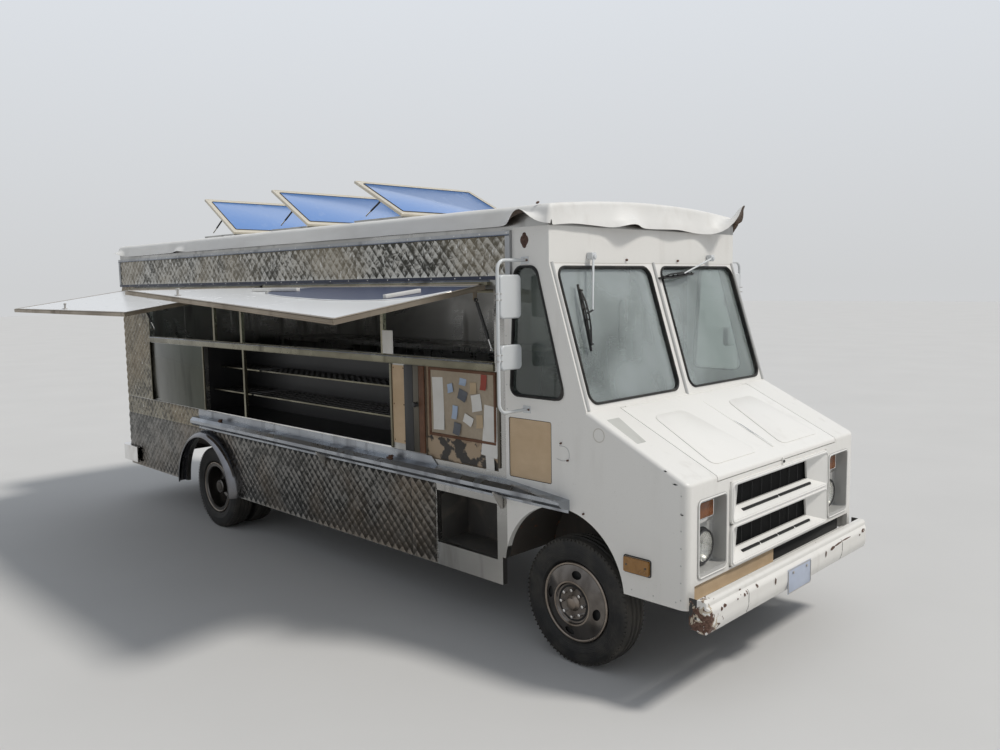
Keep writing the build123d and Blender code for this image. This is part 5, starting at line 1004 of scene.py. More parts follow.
@dataclass
class Hood(Assembly):
    """Pressed forms, ridge, scuff and tape on the sloping hood."""

    rear: Pair = (0.149, 1.592)
    front: Pair = (0.830, 1.261)
    press: float = 0.005
    body: str = "hood"

    def at(self, x: float, y: float, lift: float = 0.0) -> Point:
        """A point over the sloping hood."""
        run = self.front[0] - self.rear[0]
        fall = self.rear[1] - self.front[1]
        length = math.hypot(run, fall)
        z = self.rear[1] - fall * (x - self.rear[0]) / run
        return (x + lift * fall / length, y, z + lift * run / length)

    def build(self) -> None:
        """Model every piece."""
        up = Vector(self.at(0.3, 0.0, self.press)) - Vector(self.at(0.3, 0.0))
        for side in SIDES:
            outline = [(0.292, side * 0.265), (0.292, side * 0.600), (0.752, side * 0.672), (0.752, side * 0.150)]
            points = [self.at(x, y, -0.0005) for x, y in outline]
            form = Bench.slab(f"hood_form_{SIDE_NAMES[side]}", points, up, 0.055, 0.0045)
            self.fit(form, Skin.HOOD_WHITE, self.body, 60.0)
        ridge = Bench.rod("hood_ridge", self.at(0.255, 0.034, -0.007), self.at(0.750, 0.034, -0.004), 0.010, 24,
                          tip=0.011)
        self.fit(ridge, Skin.HOOD_WHITE, self.body, 60.0)
        scuff = [(0.47, 0.036, 0.004), (0.53, 0.046, 0.004), (0.75, 0.038, 0.0055), (0.60, 0.028, 0.0045)]
        piece = Bench.slab("ridge_scuff", [self.at(*place) for place in scuff], up * 0.15, 0.004)
        self.fit(piece, Skin.RAIL_STEEL, self.body)
        tape = [(0.246, -0.875), (0.247, -0.990), (0.472, -1.005), (0.472, -0.922)]
        self.fit(Bench.slab("hood_tape", [self.at(*place) for place in tape], up * 0.12, 0.006), Skin.TAPE_GREY)
        pin = Bench.rod("latch_pin", (0.838, 0.0, 1.226), (0.846, 0.0, 1.226), 0.009, 16, 0.002)
        self.fit(pin, Skin.BLACK_PAINT, self.body)


@dataclass
class Grille(Assembly):
    """Bright rims and bars, near-black strips in the slots that paint the shade inside them, and the radiator core
    behind the two grille frames, kept near black so that it paints the shade in the openings too.
    """

    face: float = 0.844
    half: float = 0.625
    low: float = 0.712
    high: float = 1.205
    slot_gap: float = 0.012
    fins: int = 84
    fin_pitch: float = 0.012

    def build(self) -> None:
        """Model every piece."""
        middle = (self.low + self.high) / 2
        for name, z0, z1 in (("upper", middle, self.high), ("lower", self.low, middle)):
            y, x = self.half - 0.012, self.face
            rim = across(x, (-y, y), (z0 + 0.012, z1 - 0.012))
            self.fit(Bench.bead(f"grille_rim_{name}", rim, 0.0055, corner=0.03), Skin.GRILLE_WHITE)
            y, x = self.half - 0.155, self.face - 0.072
            throat = [(x, -y, z0 + 0.068), (x, y, z0 + 0.068), (x, y - 0.02, z1 - 0.042), (x, 0.02 - y, z1 - 0.042)]
            self.fit(Bench.bead(f"grille_throat_{name}", throat, 0.003, corner=0.004), Skin.BLACK_PAINT)
            # Painted shade: near-black strips laid in the slots stand for the dark inside the openings.
            slots = 2 if name == "upper" else 4
            span = 2 * (self.half - 0.0003 - 0.165 - self.slot_gap)
            pitch = span / slots
            starts = [index * pitch - span / 2 + self.slot_gap / 2 for index in range(slots)]
            pads = [Bench.box("pad", (0.800, y0, z0 + 0.040), (0.812, y0 + pitch - self.slot_gap, z0 + 0.054), 0.0)
                    for y0 in starts]
            self.fit_joined(f"grille_slot_shade_{name}", pads, Skin.CORE_BLACK)
            bar = Bench.rod("bar", (0.758, -0.36, z0 + 0.05), (0.758, -0.36, z1 - 0.03), 0.0018, 8)
            self.fit_joined(f"grille_bars_{name}", [Bench.array(bar, 7, Vector((0.0, 0.12, 0.0)))], Skin.BLACK_PAINT)
        # Painted shade: a near-black sheet behind the bumper where there is only shadow under the nose.
        self.fit(Bench.box("nose_painted_shade", (0.796, -0.058, 0.500), (0.799, 0.900, 0.698), 0.001), Skin.CORE_BLACK)
        # The radiator screen and its fins are a real core, made near black to paint the shade inside the nose as well.
        self.fit(Bench.box("radiator_screen", (0.738, -0.50, 0.72), (0.748, 0.50, 1.20)), Skin.CORE_BLACK)
        fin = Bench.box("fin", (0.748, -0.498, 0.735), (0.752, -0.494, 1.185), 0.0)
        self.fit(Bench.array(fin, self.fins, Vector((0.0, self.fin_pitch, 0.0))), Skin.CORE_BLACK)


@dataclass
class Lamps(Assembly):
    """Headlamps, turn lamps, side markers and tail lamps."""

    back: float = 0.745
    across: float = 0.800
    height: float = 0.865
    radius: float = 0.089
    screw_turns: Point = (0.5, 2.6, 4.71)
    marker_y: float = -1.0585
    marker_z: float = 0.7585
    tail_ring: tuple[Pair, ...] = ((0.053, 0.0), (0.053, 0.026), (0.056, 0.030), (0.062, 0.026), (0.066, 0.0))
    tail_dome: tuple[Pair, ...] = ((0.0, 0.006), (0.03, 0.0045), (0.049, 0.0))

    def build(self) -> None:
        """Model every piece."""
        r, seat = self.radius, self.back + 0.030
        centre = (0.0, -self.across, self.height)
        foot = self.back + 0.006
        turned = (
            ("lamp_bowl", Skin.CHROME, [(0.0, seat - 0.055), (0.03, seat - 0.052), (0.06, seat - 0.036),
                                        (r - 0.004, seat - 0.004), (r, seat - 0.006), (0.064, seat - 0.044),
                                        (0.0, seat - 0.063)]),
            ("lamp_ring", Skin.BLACK_PAINT, [(r - 0.003, seat - 0.006), (r - 0.003, seat + 0.003),
                                             (r + 0.002, seat + 0.006), (r + 0.008, seat + 0.002),
                                             (r + 0.010, foot), (r - 0.003, foot)]),
            ("lamp_seal", Skin.SOFT_BLACK, [(r + 0.009, foot), (r + 0.009, foot + 0.010),
                                            (r + 0.016, foot + 0.006), (r + 0.018, foot)]),
            ("lamp_lens", Skin.LAMP_CLEAR, [(0.0, seat + 0.014), (0.03, seat + 0.0125), (0.06, seat + 0.008),
                                            (r - 0.002, seat), (r - 0.002, seat - 0.003), (0.0, seat - 0.003)]),
        )
        for name, skin, profile in turned:
            self.fit_pair(Bench.lathe(name, centre, FORWARD, profile), skin, name)
        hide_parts("headlamps")
        places = [((r + 0.014) * math.cos(a) - self.across, (r + 0.014) * math.sin(a) + self.height)
                  for a in self.screw_turns]
        screws = [Bench.rod("screw", (foot, *place), (foot + 0.012, *place), 0.005, 10, 0.001) for place in places]
        self.fit_pair(Bench.join("screws", screws), Skin.CHROME, "lamp_screws")
        self.build_turns()
        self.build_tails()

    def build_turns(self) -> None:
        """Amber turn lenses with their frames, the side markers' seals and screws, and the bezels' rims."""
        x, y = self.back + 0.006, -self.across
        lens = Bench.box("turn", (x, y - 0.074, 1.034), (x + 0.037, y + 0.074, 1.121), 0.006)
        self.fit_pair(lens, Skin.LAMP_AMBER, "turn_lens")
        foot = Bench.box("foot", (x, y - 0.078, 1.006), (x + 0.030, y + 0.078, 1.026), 0.004)
        self.fit_pair(foot, Skin.TRIM_BRIGHT, "turn_foot")
        rim = across(x + 0.032, (y - 0.078, y + 0.078), (1.030, 1.125))
        self.fit_pair(Bench.bead("rim", rim, 0.004, corner=0.012), Skin.CHROME, "turn_frame")
        wall, mid = self.marker_y, self.marker_z
        base = beside(wall, (0.419, 0.600), (mid - 0.0475, mid + 0.0475))
        self.fit_pair(Bench.bead("base", base, 0.0035, corner=0.012), Skin.SOFT_BLACK, "marker_seal")
        screws = [Bench.rod("screw", (sx, wall - 0.015, mid), (sx, wall - 0.0195, mid), 0.006, 12, 0.001)
                  for sx in (0.445, 0.574)]
        self.fit_pair(Bench.join("screws", screws), Skin.POST_BRONZE, "marker_screws")
        edge = across(0.835, (-0.662, -0.953), (0.7295, 1.1575))
        self.fit_pair(Bench.bead("edge", edge, 0.0045, corner=0.029), Skin.GRILLE_WHITE, "bezel_rim")

    def build_tails(self) -> None:
        """Bright rings and red domes of the tail lamps, and dark bases of the clearance lamps."""
        for z in (0.760, 0.900):
            for name, x, profile, skin in (("tail_ring", -6.400, self.tail_ring, Skin.CHROME),
                                           ("tail_dome", -6.428, self.tail_dome, Skin.LAMP_RED)):
                piece = Bench.lathe(name, (x, -0.880, z), BACKWARD, profile, 40)
                self.fit_pair(piece, skin, f"{name}_{round(z * 100)}")
        for y in (-0.860, -0.120):
            base = Bench.box("base", (-6.404, y - 0.052, 2.552), (-6.400, y + 0.052, 2.603), 0.0015)
            self.fit_pair(base, Skin.SOFT_BLACK, f"clearance_base_{round(-y * 100)}")


@dataclass
class Bumpers(Assembly):
    """Bolts, end seams, scars and blank plate of the two bumpers."""

    face: float = 0.955
    plate: tuple[float, float, float, float] = (-0.155, 0.150, 0.452, 0.604)
    profile: tuple[Pair, ...] = (
        (0.467, 0.929), (0.482, 0.939), (0.512, 0.951), (0.545, 0.955), (0.592, 0.955), (0.6025, 0.951),
        (0.613, 0.943), (0.621, 0.935), (0.636, 0.935))
    scars: tuple[tuple[float, ...], ...] = (
        (-0.310, 0.578, 0.020, 0.042, 0.003), (0.370, 0.578, 0.020, 0.042, 0.003), (-0.520, 0.606, 0.026, 0.020),
        (-0.690, 0.628, 0.022, 0.010), (-0.668, 0.596, 0.020, 0.020), (-0.640, 0.602, 0.014, 0.022),
        (-0.745, 0.594, 0.014, 0.010), (-0.880, 0.596, 0.034, 0.020), (-0.915, 0.588, 0.020, 0.024),
        (0.470, 0.592, 0.070, 0.022, 0.004), (0.560, 0.600, 0.130, 0.010, 0.003), (0.690, 0.604, 0.150, 0.007),
        (0.965, 0.600, 0.060, 0.020, 0.004), (0.900, 0.584, 0.018, 0.014))

    def skin_at(self, z: float) -> float:
        """Where the front bumper's outer face lies at a height."""
        for (z0, x0), (z1, x1) in zip(self.profile, self.profile[1:]):
            if z <= z1:
                return x0 + (x1 - x0) * max(0.0, z - z0) / (z1 - z0)
        return self.profile[-1][1]

    def scar(self, y: float, z: float, wide: float, tall: float, lean: float = 0.0) -> Object:
        """A small chip in the paint, bent over the bumper's face."""
        shape = ((-1.0, -0.2), (-0.3, -1.0), (0.8, -0.6), (1.0, 0.3), (0.1, 1.0), (-0.7, 0.7))
        points = []
        for u, v in shape:
            up = z + v * tall / 2 + u * lean
            points.append((self.skin_at(up) + 0.0016, y + u * wide / 2, up))
        return Bench.slab("scar", points, (0.0006, 0.0, 0.0))

    def build(self) -> None:
        """Model every piece."""
        y0, y1, z0, z1 = self.plate
        plate = Bench.box("number_plate_blank", (self.face, y0, z0), (self.face + 0.002, y1, z1), 0.0006)
        self.fit(plate, Skin.PLATE_BLANK)
        rim = across(self.face + 0.003, (y0 + 0.004, y1 - 0.004), (z0 + 0.004, z1 - 0.004))
        self.fit(Bench.bead("number_plate_rim", rim, 0.0024, corner=0.012), Skin.TUBE_SILVER)
        bolts = [Bench.rod("bolt", (self.face, y, 0.575), (self.face + 0.008, y, 0.575), 0.009, 6, 0.001)
                 for y in (-0.089, 0.089)]
        self.fit_joined("plate_bolts", bolts, Skin.TUBE_SILVER)
        for side in SIDES:
            line = [(x + 0.0004, side * 0.622, z) for z, x in self.profile[1:7]]
            self.fit(Bench.bead(f"bumper_seam_{SIDE_NAMES[side]}", line, 0.0017, closed=False), Skin.BLACK_PAINT)
        self.fit_joined("bumper_scars", [self.scar(*sizes) for sizes in self.scars], Skin.SOCKET_RUST)
        heads = [Bench.lathe("head", (-6.560, y, z), BACKWARD, [(0.0, 0.006), (0.008, 0.0055), (0.014, 0.0)], 16)
                 for y in (-0.41, 0.41) for z in (0.475, 0.555)]
        self.fit_joined("rear_bumper_bolts", heads, Skin.TUBE_SILVER)


@dataclass
class Mirrors(Assembly):
    """Glasses, rubber rims, clamps and bolts of the mirrors."""

    out: float = 1.298
    heads: tuple[Pair, ...] = ((2.125, 2.385), (1.818, 1.968))

    def build(self) -> None:
        """Model every piece."""
        for side, x in ((-1, -0.315), (1, -0.200)):
            name = SIDE_NAMES[side]
            y_in, y_out = side * (self.out - 0.190), side * (self.out - 0.012)
            face = x - 0.0245
            for index, (low, high) in enumerate(self.heads):
                rim = across(face, (y_in + side * 0.004, y_out - side * 0.004), (low + 0.004, high - 0.004))
                self.fit(Bench.bead(f"mirror_rim_{name}_{index}", rim, 0.0055, corner=0.026), Skin.SOFT_BLACK)
                self.fit(Bench.slab(f"mirror_glass_{name}_{index}", rim, (-0.002, 0.0, 0.0), 0.026), Skin.CHROME)
                middle, tube = (low + high) / 2, side * self.out
                clamp = [Bench.bead("clamp", [(x + 0.02, tube - 0.014, z), (x - 0.014, tube - 0.014, z),
                                              (x - 0.014, tube + 0.014, z), (x + 0.02, tube + 0.014, z)],
                                    0.003, corner=0.01, closed=False) for z in (middle - 0.018, middle + 0.018)]
                self.fit_joined(f"mirror_clamp_{name}_{index}", clamp, Skin.TUBE_SILVER)
            bolts = [Bench.rod("bolt", (x + dx, side * 1.062, z), (x + dx, side * 1.069, z), 0.007, 6, 0.001)
                     for z in (2.470, 1.562) for dx in (-0.02, 0.02)]
            self.fit_joined(f"mirror_bolts_{name}", bolts, Skin.SOCKET_RUST)


@dataclass
class Wipers(Assembly):
    """Two wipers: tapered arm, bridge with its yokes and the rubber strip."""

    cab: Cab
    pivot_x: float = -0.089
    strokes: tuple[tuple[float, ...], ...] = (
        (-0.685, 2.490, -0.809, 2.154, -0.856, 2.317, -0.886, 1.921),
        (0.697, 2.490, 0.292, 2.371, -0.001, 2.346, 0.449, 2.378),
    )
    bridge: tuple[Point, ...] = ((0.08, 0.35, 0.0), (0.26, 0.8, 1.0), (0.45, 1.0, 1.0), (0.66, 0.8, 1.0),
                                 (0.92, 0.35, 0.0))
    yokes: tuple[float, ...] = (0.10, 0.24, 0.38, 0.54, 0.70, 0.90)

    def over(self, y: float, z: float, out: float) -> Vector:
        """A point over the screens at a height, as a vector."""
        rise = self.cab.header[1] - self.cab.cowl[1]
        length = math.hypot(self.cab.cowl[0] - self.cab.header[0], rise)
        return Vector(self.cab.on_screen(y, (z - self.cab.cowl[1]) * length / rise, out))

    def build(self) -> None:
        """Model every piece."""
        for index, (py, pz, ay, az, ty, tz, fy, fz) in enumerate(self.strokes):
            grip = self.over(ay, az, 0.036)
            pivot = Vector((self.pivot_x, py, pz))
            block = Bench.box("block", (-0.125, py - 0.022, pz - 0.020), (-0.080, py + 0.022, pz + 0.025), 0.006)
            cap = Bench.lathe("cap", (-0.080, py, pz), FORWARD, [(0.0, 0.012), (0.012, 0.010), (0.016, 0.0)], 20)
            arm = Bench.rod("arm", pivot, grip, 0.0085, 12, tip=0.005)
            self.fit_joined(f"wiper_arm_{index}", [arm, block, cap], Skin.MIRROR_SHELL)
            top, foot = self.over(ty, tz, 0.010), self.over(fy, fz, 0.010)
            out = self.over(ty, tz, 0.040) - top
            aside = (foot - top).normalized().cross(out.normalized()) * 0.013
            pieces = [Bench.rod("strip", top, foot, 0.0080, 8, 0.001)]
            for way in SIDES:
                line = [top.lerp(foot, share) + out * lift + aside * (way * wide) for share, lift, wide in self.bridge]
                pieces.append(Bench.bead("bridge", line, 0.0055, closed=False, corner=0.03))
            for share in self.yokes:
                at = top.lerp(foot, share)
                lift = 0.45 if share in (self.yokes[0], self.yokes[-1]) else 0.85
                pieces.append(Bench.rod("yoke", at, at + out * lift, 0.0055, 8, 0.001))
                pieces.append(Bench.rod("yoke", at + out * 0.6 - aside, at + out * 0.6 + aside, 0.005, 8, 0.001))
            pieces.append(Bench.rod("link", grip, top.lerp(foot, 0.45) + out, 0.006, 12))
            self.fit_joined(f"wiper_blade_{index}", pieces, Skin.SOFT_BLACK)
        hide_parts("wipers")


# Body
@dataclass
class Quilting(Assembly):
    """Stamped diamond sheets on the fascias, the skirts and the rear corners."""

    pitch: float = 0.082
    depth: float = 0.0060
    crease: float = 19.0
    arch: Point = (-4.521, 0.397, 0.556)

    def sheet(self, name: str, x: Pair, z: Pair, y: float, arch: Optional[Point] = None) -> Object:
        """One right-hand sheet of diamonds, each a shallow pillow with four facets.

        Args:
            name: the sheet's name.
            x: its rear and front ends.
            z: its lower and upper edges.
            y: where its back lies.
            arch: station, height and radius of the wheel arch that is cut from it.

        Returns:
            The finished sheet.
        """
        Bench.clear()
        columns = max(2, 2 * round((x[1] - x[0]) / self.pitch))
        rows = max(2, 2 * round((z[1] - z[0]) / self.pitch))
        centre = on_truck((x[0] + x[1]) / 2, y, (z[0] + z[1]) / 2)
        bpy.ops.mesh.primitive_grid_add(x_subdivisions=columns, y_subdivisions=rows, size=1.0, location=centre,
                                        rotation=(math.pi / 2, 0.0, 0.0))
        bpy.context.object.scale = (x[1] - x[0], z[1] - z[0], 1.0)
        piece = Bench.settle(name)
        low = on_truck(x[0], y, z[0])
        step = ((x[1] - x[0]) / columns, (z[1] - z[0]) / rows)

        def cell(place: Vector, whole: Callable[[float], int]) -> int:
            """The sum of a place's column and row."""
            return whole((place.x - low.x) / step[0]) + whole((place.z - low.z) / step[1])

        with Bench.editing():
            for parity, method in ((0, "FIXED"), (1, "FIXED_ALTERNATE")):
                Bench.pick(piece, "faces", lambda face: len(face.verts) == 4 and cell(
                    face.calc_center_median(), math.floor) % 2 == parity)
                bpy.ops.mesh.quads_convert_to_tris(quad_method=method)
            bpy.ops.mesh.select_all(action="DESELECT")
            Bench.pick(piece, "verts", lambda vert: cell(vert.co, round) % 2 == 1)
            bpy.ops.transform.translate(value=(0.0, -self.depth, 0.0))
            if arch:
                self.cut_arch(piece, on_truck(arch[0], y, arch[1]), arch[2])
        return piece

    @staticmethod
    def cut_arch(piece: Object, centre: Vector, radius: float) -> None:
        """Delete what lies inside a wheel arch and draw the cut edge onto its circle."""
        bpy.ops.mesh.select_all(action="DESELECT")
        Bench.pick(piece, "faces", lambda face: (face.calc_center_median() - centre).xz.length < radius)
        bpy.ops.mesh.delete(type="FACE")
        mesh = bmesh.from_edit_mesh(piece.data)
        for vert in mesh.verts:
            away = vert.co - centre
            reach = away.xz.length
            if reach < radius:
                vert.co.x = centre.x + away.x * radius / reach
                vert.co.z = centre.z + away.z * radius / reach
        bmesh.update_edit_mesh(piece.data)

    def build(self) -> None:
        """Model every piece."""
        fascia = self.sheet("fascia", (-6.360, -0.464), (2.381, 2.627), -WALL - 0.0125)
        self.fit_pair(fascia, Skin.QUILT, "fascia_quilt", self.crease)
        for name, x, arch in (("rear", (-6.400, -1.452), self.arch), ("front", (-1.448, -1.190), None)):
            skirt = self.sheet("skirt", x, (0.395, 0.969), -WALL - 0.0032, arch)
            self.fit_pair(skirt, Skin.SKIRT_QUILT_PAINTED_SHADE, f"skirt_quilt_{name}", self.crease)
        for name, front, z in (("corner", -5.745, (1.160, 2.355)), ("beam", -4.702, (0.972, 1.152))):
            sheet = self.sheet(f"{name}_quilt_right", (-6.398, front), z, -WALL - 0.0006)
            self.fit(sheet, Skin.REAR_QUILT_PAINTED_REFLECTION, angle=self.crease)


@dataclass
class RoofCloth(Assembly):
    """Vinyl roof covering: one sheet draped over the cap, its hem loose and lifted in places."""

    rear: float = -6.409
    front: float = -0.116
    half: float = 1.0655
    edge: float = 2.7935
    crown: float = 2.8485
    bend: float = 0.040
    end_bend: float = 0.018
    drop: float = 0.140
    drop_front: float = 0.183
    swing_most: float = 2.4
    thick: float = 0.0022
    curb: Point = (-0.6445, -0.0255, 0.6145)
    hinges: tuple[float, ...] = (-2.006, -3.318, -4.639)

    def swing(self, x: float, y: float, side: Vector) -> float:
        """How far the hem swings out, in radians, at a place on the rim."""
        angle = 0.10 + 0.30 * max(0.0, noise.noise(Vector((x * 1.7, y * 1.7, 3.1))))
        angle += 0.10 * noise.noise(Vector((x * 5.0, y * 5.0, 7.7)))
        near, ahead = max(0.0, -side.y) ** 3, max(0.0, side.x) ** 3
        for weight, along, middle, width in ((near * 1.7, x, -0.29, 0.10), (near * 0.5, x, -4.9, 0.12),
                                             (near * 0.9, x, -6.35, 0.12), (ahead * 0.55, y, -0.335, 0.11),
                                             (ahead * 0.15, y, 0.20, 0.16), (max(0.0, side.x) * 2.2, y, 1.00, 0.22)):
            angle += weight * math.exp(-((along - middle) / width) ** 2)
        return max(0.02, min(angle, self.swing_most))

    def drape(self, u: float, v: float) -> Vector:
        """Where a point of the flat sheet comes to lie, in the truck's axes."""
        x0, x1 = self.rear + self.end_bend, self.front - self.end_bend
        y1 = self.half - self.bend
        x, y = min(max(u, x0), x1), min(max(v, -y1), y1)
        over = Vector((u - x, v - y, 0.0))
        top = self.crown - (self.crown - self.edge) * (y / self.half) ** 2
        billow = 0.0022 * noise.noise(Vector((x * 2.2, y * 2.2, 0.3)))
        billow += 0.0012 * noise.noise(Vector((x * 7, y * 3, 1.3)))
        if over.length < 1e-9:
            return Vector((x, y, top + billow))
        side = over.normalized()
        length = max(abs(over.x), abs(over.y))
        bend = self.bend + (self.end_bend - self.bend) * side.x ** 2
        quarter = bend * math.pi / 2
        turn = min(length, quarter) / bend
        flat = bend * math.sin(turn)
        down = bend * (1 - math.cos(turn))
        loose = max(0.0, length - quarter)
        if side.x > 0.6:
            loose *= 1.0 - 0.30 * min(1.0, max(0.0, (-0.45 - y) / 0.45))
        loose *= 1.0 - 0.80 * max(0.0, side.x * side.y) ** 0.5
        if loose:
            full = self.drop + (self.drop_front - self.drop) * max(0.0, side.x) ** 2
            share = min(1.0, loose / (full - quarter))
            angle = self.swing(x, y, side) * min(1.0, 0.45 + 0.75 * share)
            fold = 0.006 * share * noise.noise(Vector((x * 9.0, y * 9.0, 5.0)))
            flat += loose * math.sin(angle) + fold
            down += loose * math.cos(angle)
        return Vector((x + side.x * flat, y + side.y * flat, top + billow * (1 - turn / 1.6) - down))

    def in_curb(self, place: Vector) -> bool:
        """Whether a place lies over one of the vents' openings."""
        return abs(place.y) < self.curb[2] and any(
            hinge + self.curb[0] < place.x < hinge + self.curb[1] for hinge in self.hinges)

    def stations(self, marks: Sequence[float], fine: float, coarse: float) -> list[float]:
        """Grid lines that pass through given marks, fine near the rims."""
        lines = [marks[0]]
        for low, high in zip(marks, marks[1:]):
            step = fine if high - low <= 0.21 else coarse
            count = max(1, math.ceil((high - low) / step))
            lines += [low + (high - low) * (i + 1) / count for i in range(count)]
        return lines

    def build(self) -> None:
        """Model every piece."""
        out = self.drop - self.bend
        marks = [self.rear + self.end_bend - self.drop, self.rear + self.end_bend]
        for hinge in sorted(self.hinges):
            marks += [hinge + self.curb[0], hinge + self.curb[1]]
        marks += [self.front - self.end_bend, self.front + self.drop_front - self.end_bend]
        xs = self.stations(marks, 0.014, 0.05)
        y1 = self.half - self.bend
        ys = self.stations([-self.half - out, -y1, -self.curb[2], self.curb[2], y1, self.half + out], 0.02, 0.085)
        columns, rows = len(xs) - 1, len(ys) - 1
        piece = Bench.grid("roof_cloth", columns, rows,
                           lambda u, v: TRUCK_ORIGIN + self.drape(xs[round(u * columns)], ys[round(v * rows)]))
        with Bench.editing():
            Bench.pick(piece, "faces", lambda face: self.in_curb(face.calc_center_median() - TRUCK_ORIGIN))
            bpy.ops.mesh.delete(type="FACE")
        Bench.apply(piece, "SUBSURF", levels=1, render_levels=1, boundary_smooth="PRESERVE_CORNERS")
        piece.data.materials.append(material(Skin.ROOF_CLOTH))
        piece.data.materials.append(material(Skin.ROOF_UNDER))
        Bench.apply(piece, "SOLIDIFY", thickness=self.thick, offset=1.0, use_rim=True, material_offset=1)
        Bench.smooth(piece, 50.0)
        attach(piece, TRUCK)
        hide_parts("roof_membrane")
        LOG.info("RoofCloth: %d faces", len(piece.data.polygons))
        screws = Bench.domes("cloth_screws", (-0.214, -1.052, 2.806), (-0.214, -1.050, 2.807), 1.0, (0.0, -0.6, 0.8),
                             0.012, 0.006)
        self.fit(screws, Skin.SOCKET_RUST)


@dataclass
class VentLid(Assembly):
    """One open roof vent: glazed panel, seal, cream frame and lip, strut sleeve and screws."""

    name: str
    hinge_x: float
    angle: float
    length: float = 0.670
    half: float = 0.640
    rim: float = 0.020
    border: float = 0.052
    edge: float = 0.006
    foot_z: float = 2.856
    ahead: float = 0.010

    def on_lid(self, x: float, y: float, z: float) -> Point:
        """A point given on the closed lid, turned open with it."""
        turn = math.radians(self.angle)
        dx = x - self.ahead
        return (self.hinge_x + self.ahead + dx * math.cos(turn) + z * math.sin(turn), y,
                self.foot_z - dx * math.sin(turn) + z * math.cos(turn))

    def build(self) -> None:
        """Model every piece."""
        body = f"vent_lid_{self.name}"
        b, top = self.border, self.rim
        up = Vector(self.on_lid(*UPWARD)) - Vector(self.on_lid(0.0, 0.0, 0.0))
        pane = corners((b - self.length, -b), (b - self.half, self.half - b))
        panel = Bench.slab(f"vent_panel_{self.name}", [self.on_lid(x, y, top - 0.001) for x, y in pane],
                           up * 0.0035, 0.012, 0.001)
        self.fit(panel, Skin.PANEL_BLUE, body)
        e = self.edge
        rim = corners((e - self.length, -e), (e - self.half, self.half - e))
        for name, outline, z, radius, corner, skin in (("seal", pane, top + 0.002, 0.004, 0.012, Skin.SOFT_BLACK),
                                                       ("frame", rim, top - 0.004, 0.008, 0.01, Skin.LID_CREAM),
                                                       ("lip", rim, 0.004, 0.0055, 0.01, Skin.LID_CREAM)):
            points = [self.on_lid(x, y, z) for x, y in outline]
            self.fit(Bench.bead(f"vent_{name}_{self.name}", points, radius, corner=corner), skin, body)
        seat = Vector(self.on_lid(self.ahead - 0.355, -0.565, 0.0155))
        foot = Vector((self.hinge_x - 0.550, -0.565, 2.900))
        sleeve = Bench.rod(f"vent_strut_{self.name}", seat.lerp(foot, 0.06), seat.lerp(foot, 0.72), 0.0078, 16, 0.0015)
        self.fit(sleeve, Skin.BLACK_PAINT, body)
        rows = [Bench.domes("row", self.on_lid(0.03 - self.length, y, top), self.on_lid(-0.03, y, top), 0.15, up)
                for y in (0.026 - self.half, self.half - 0.026)]
        rows.append(Bench.domes("row", self.on_lid(0.026 - self.length, 0.05 - self.half, top),
                                self.on_lid(0.026 - self.length, self.half - 0.05, top), 0.2, up))
        self.fit_joined(f"vent_screws_{self.name}", rows, Skin.TRIM_BRIGHT, body)


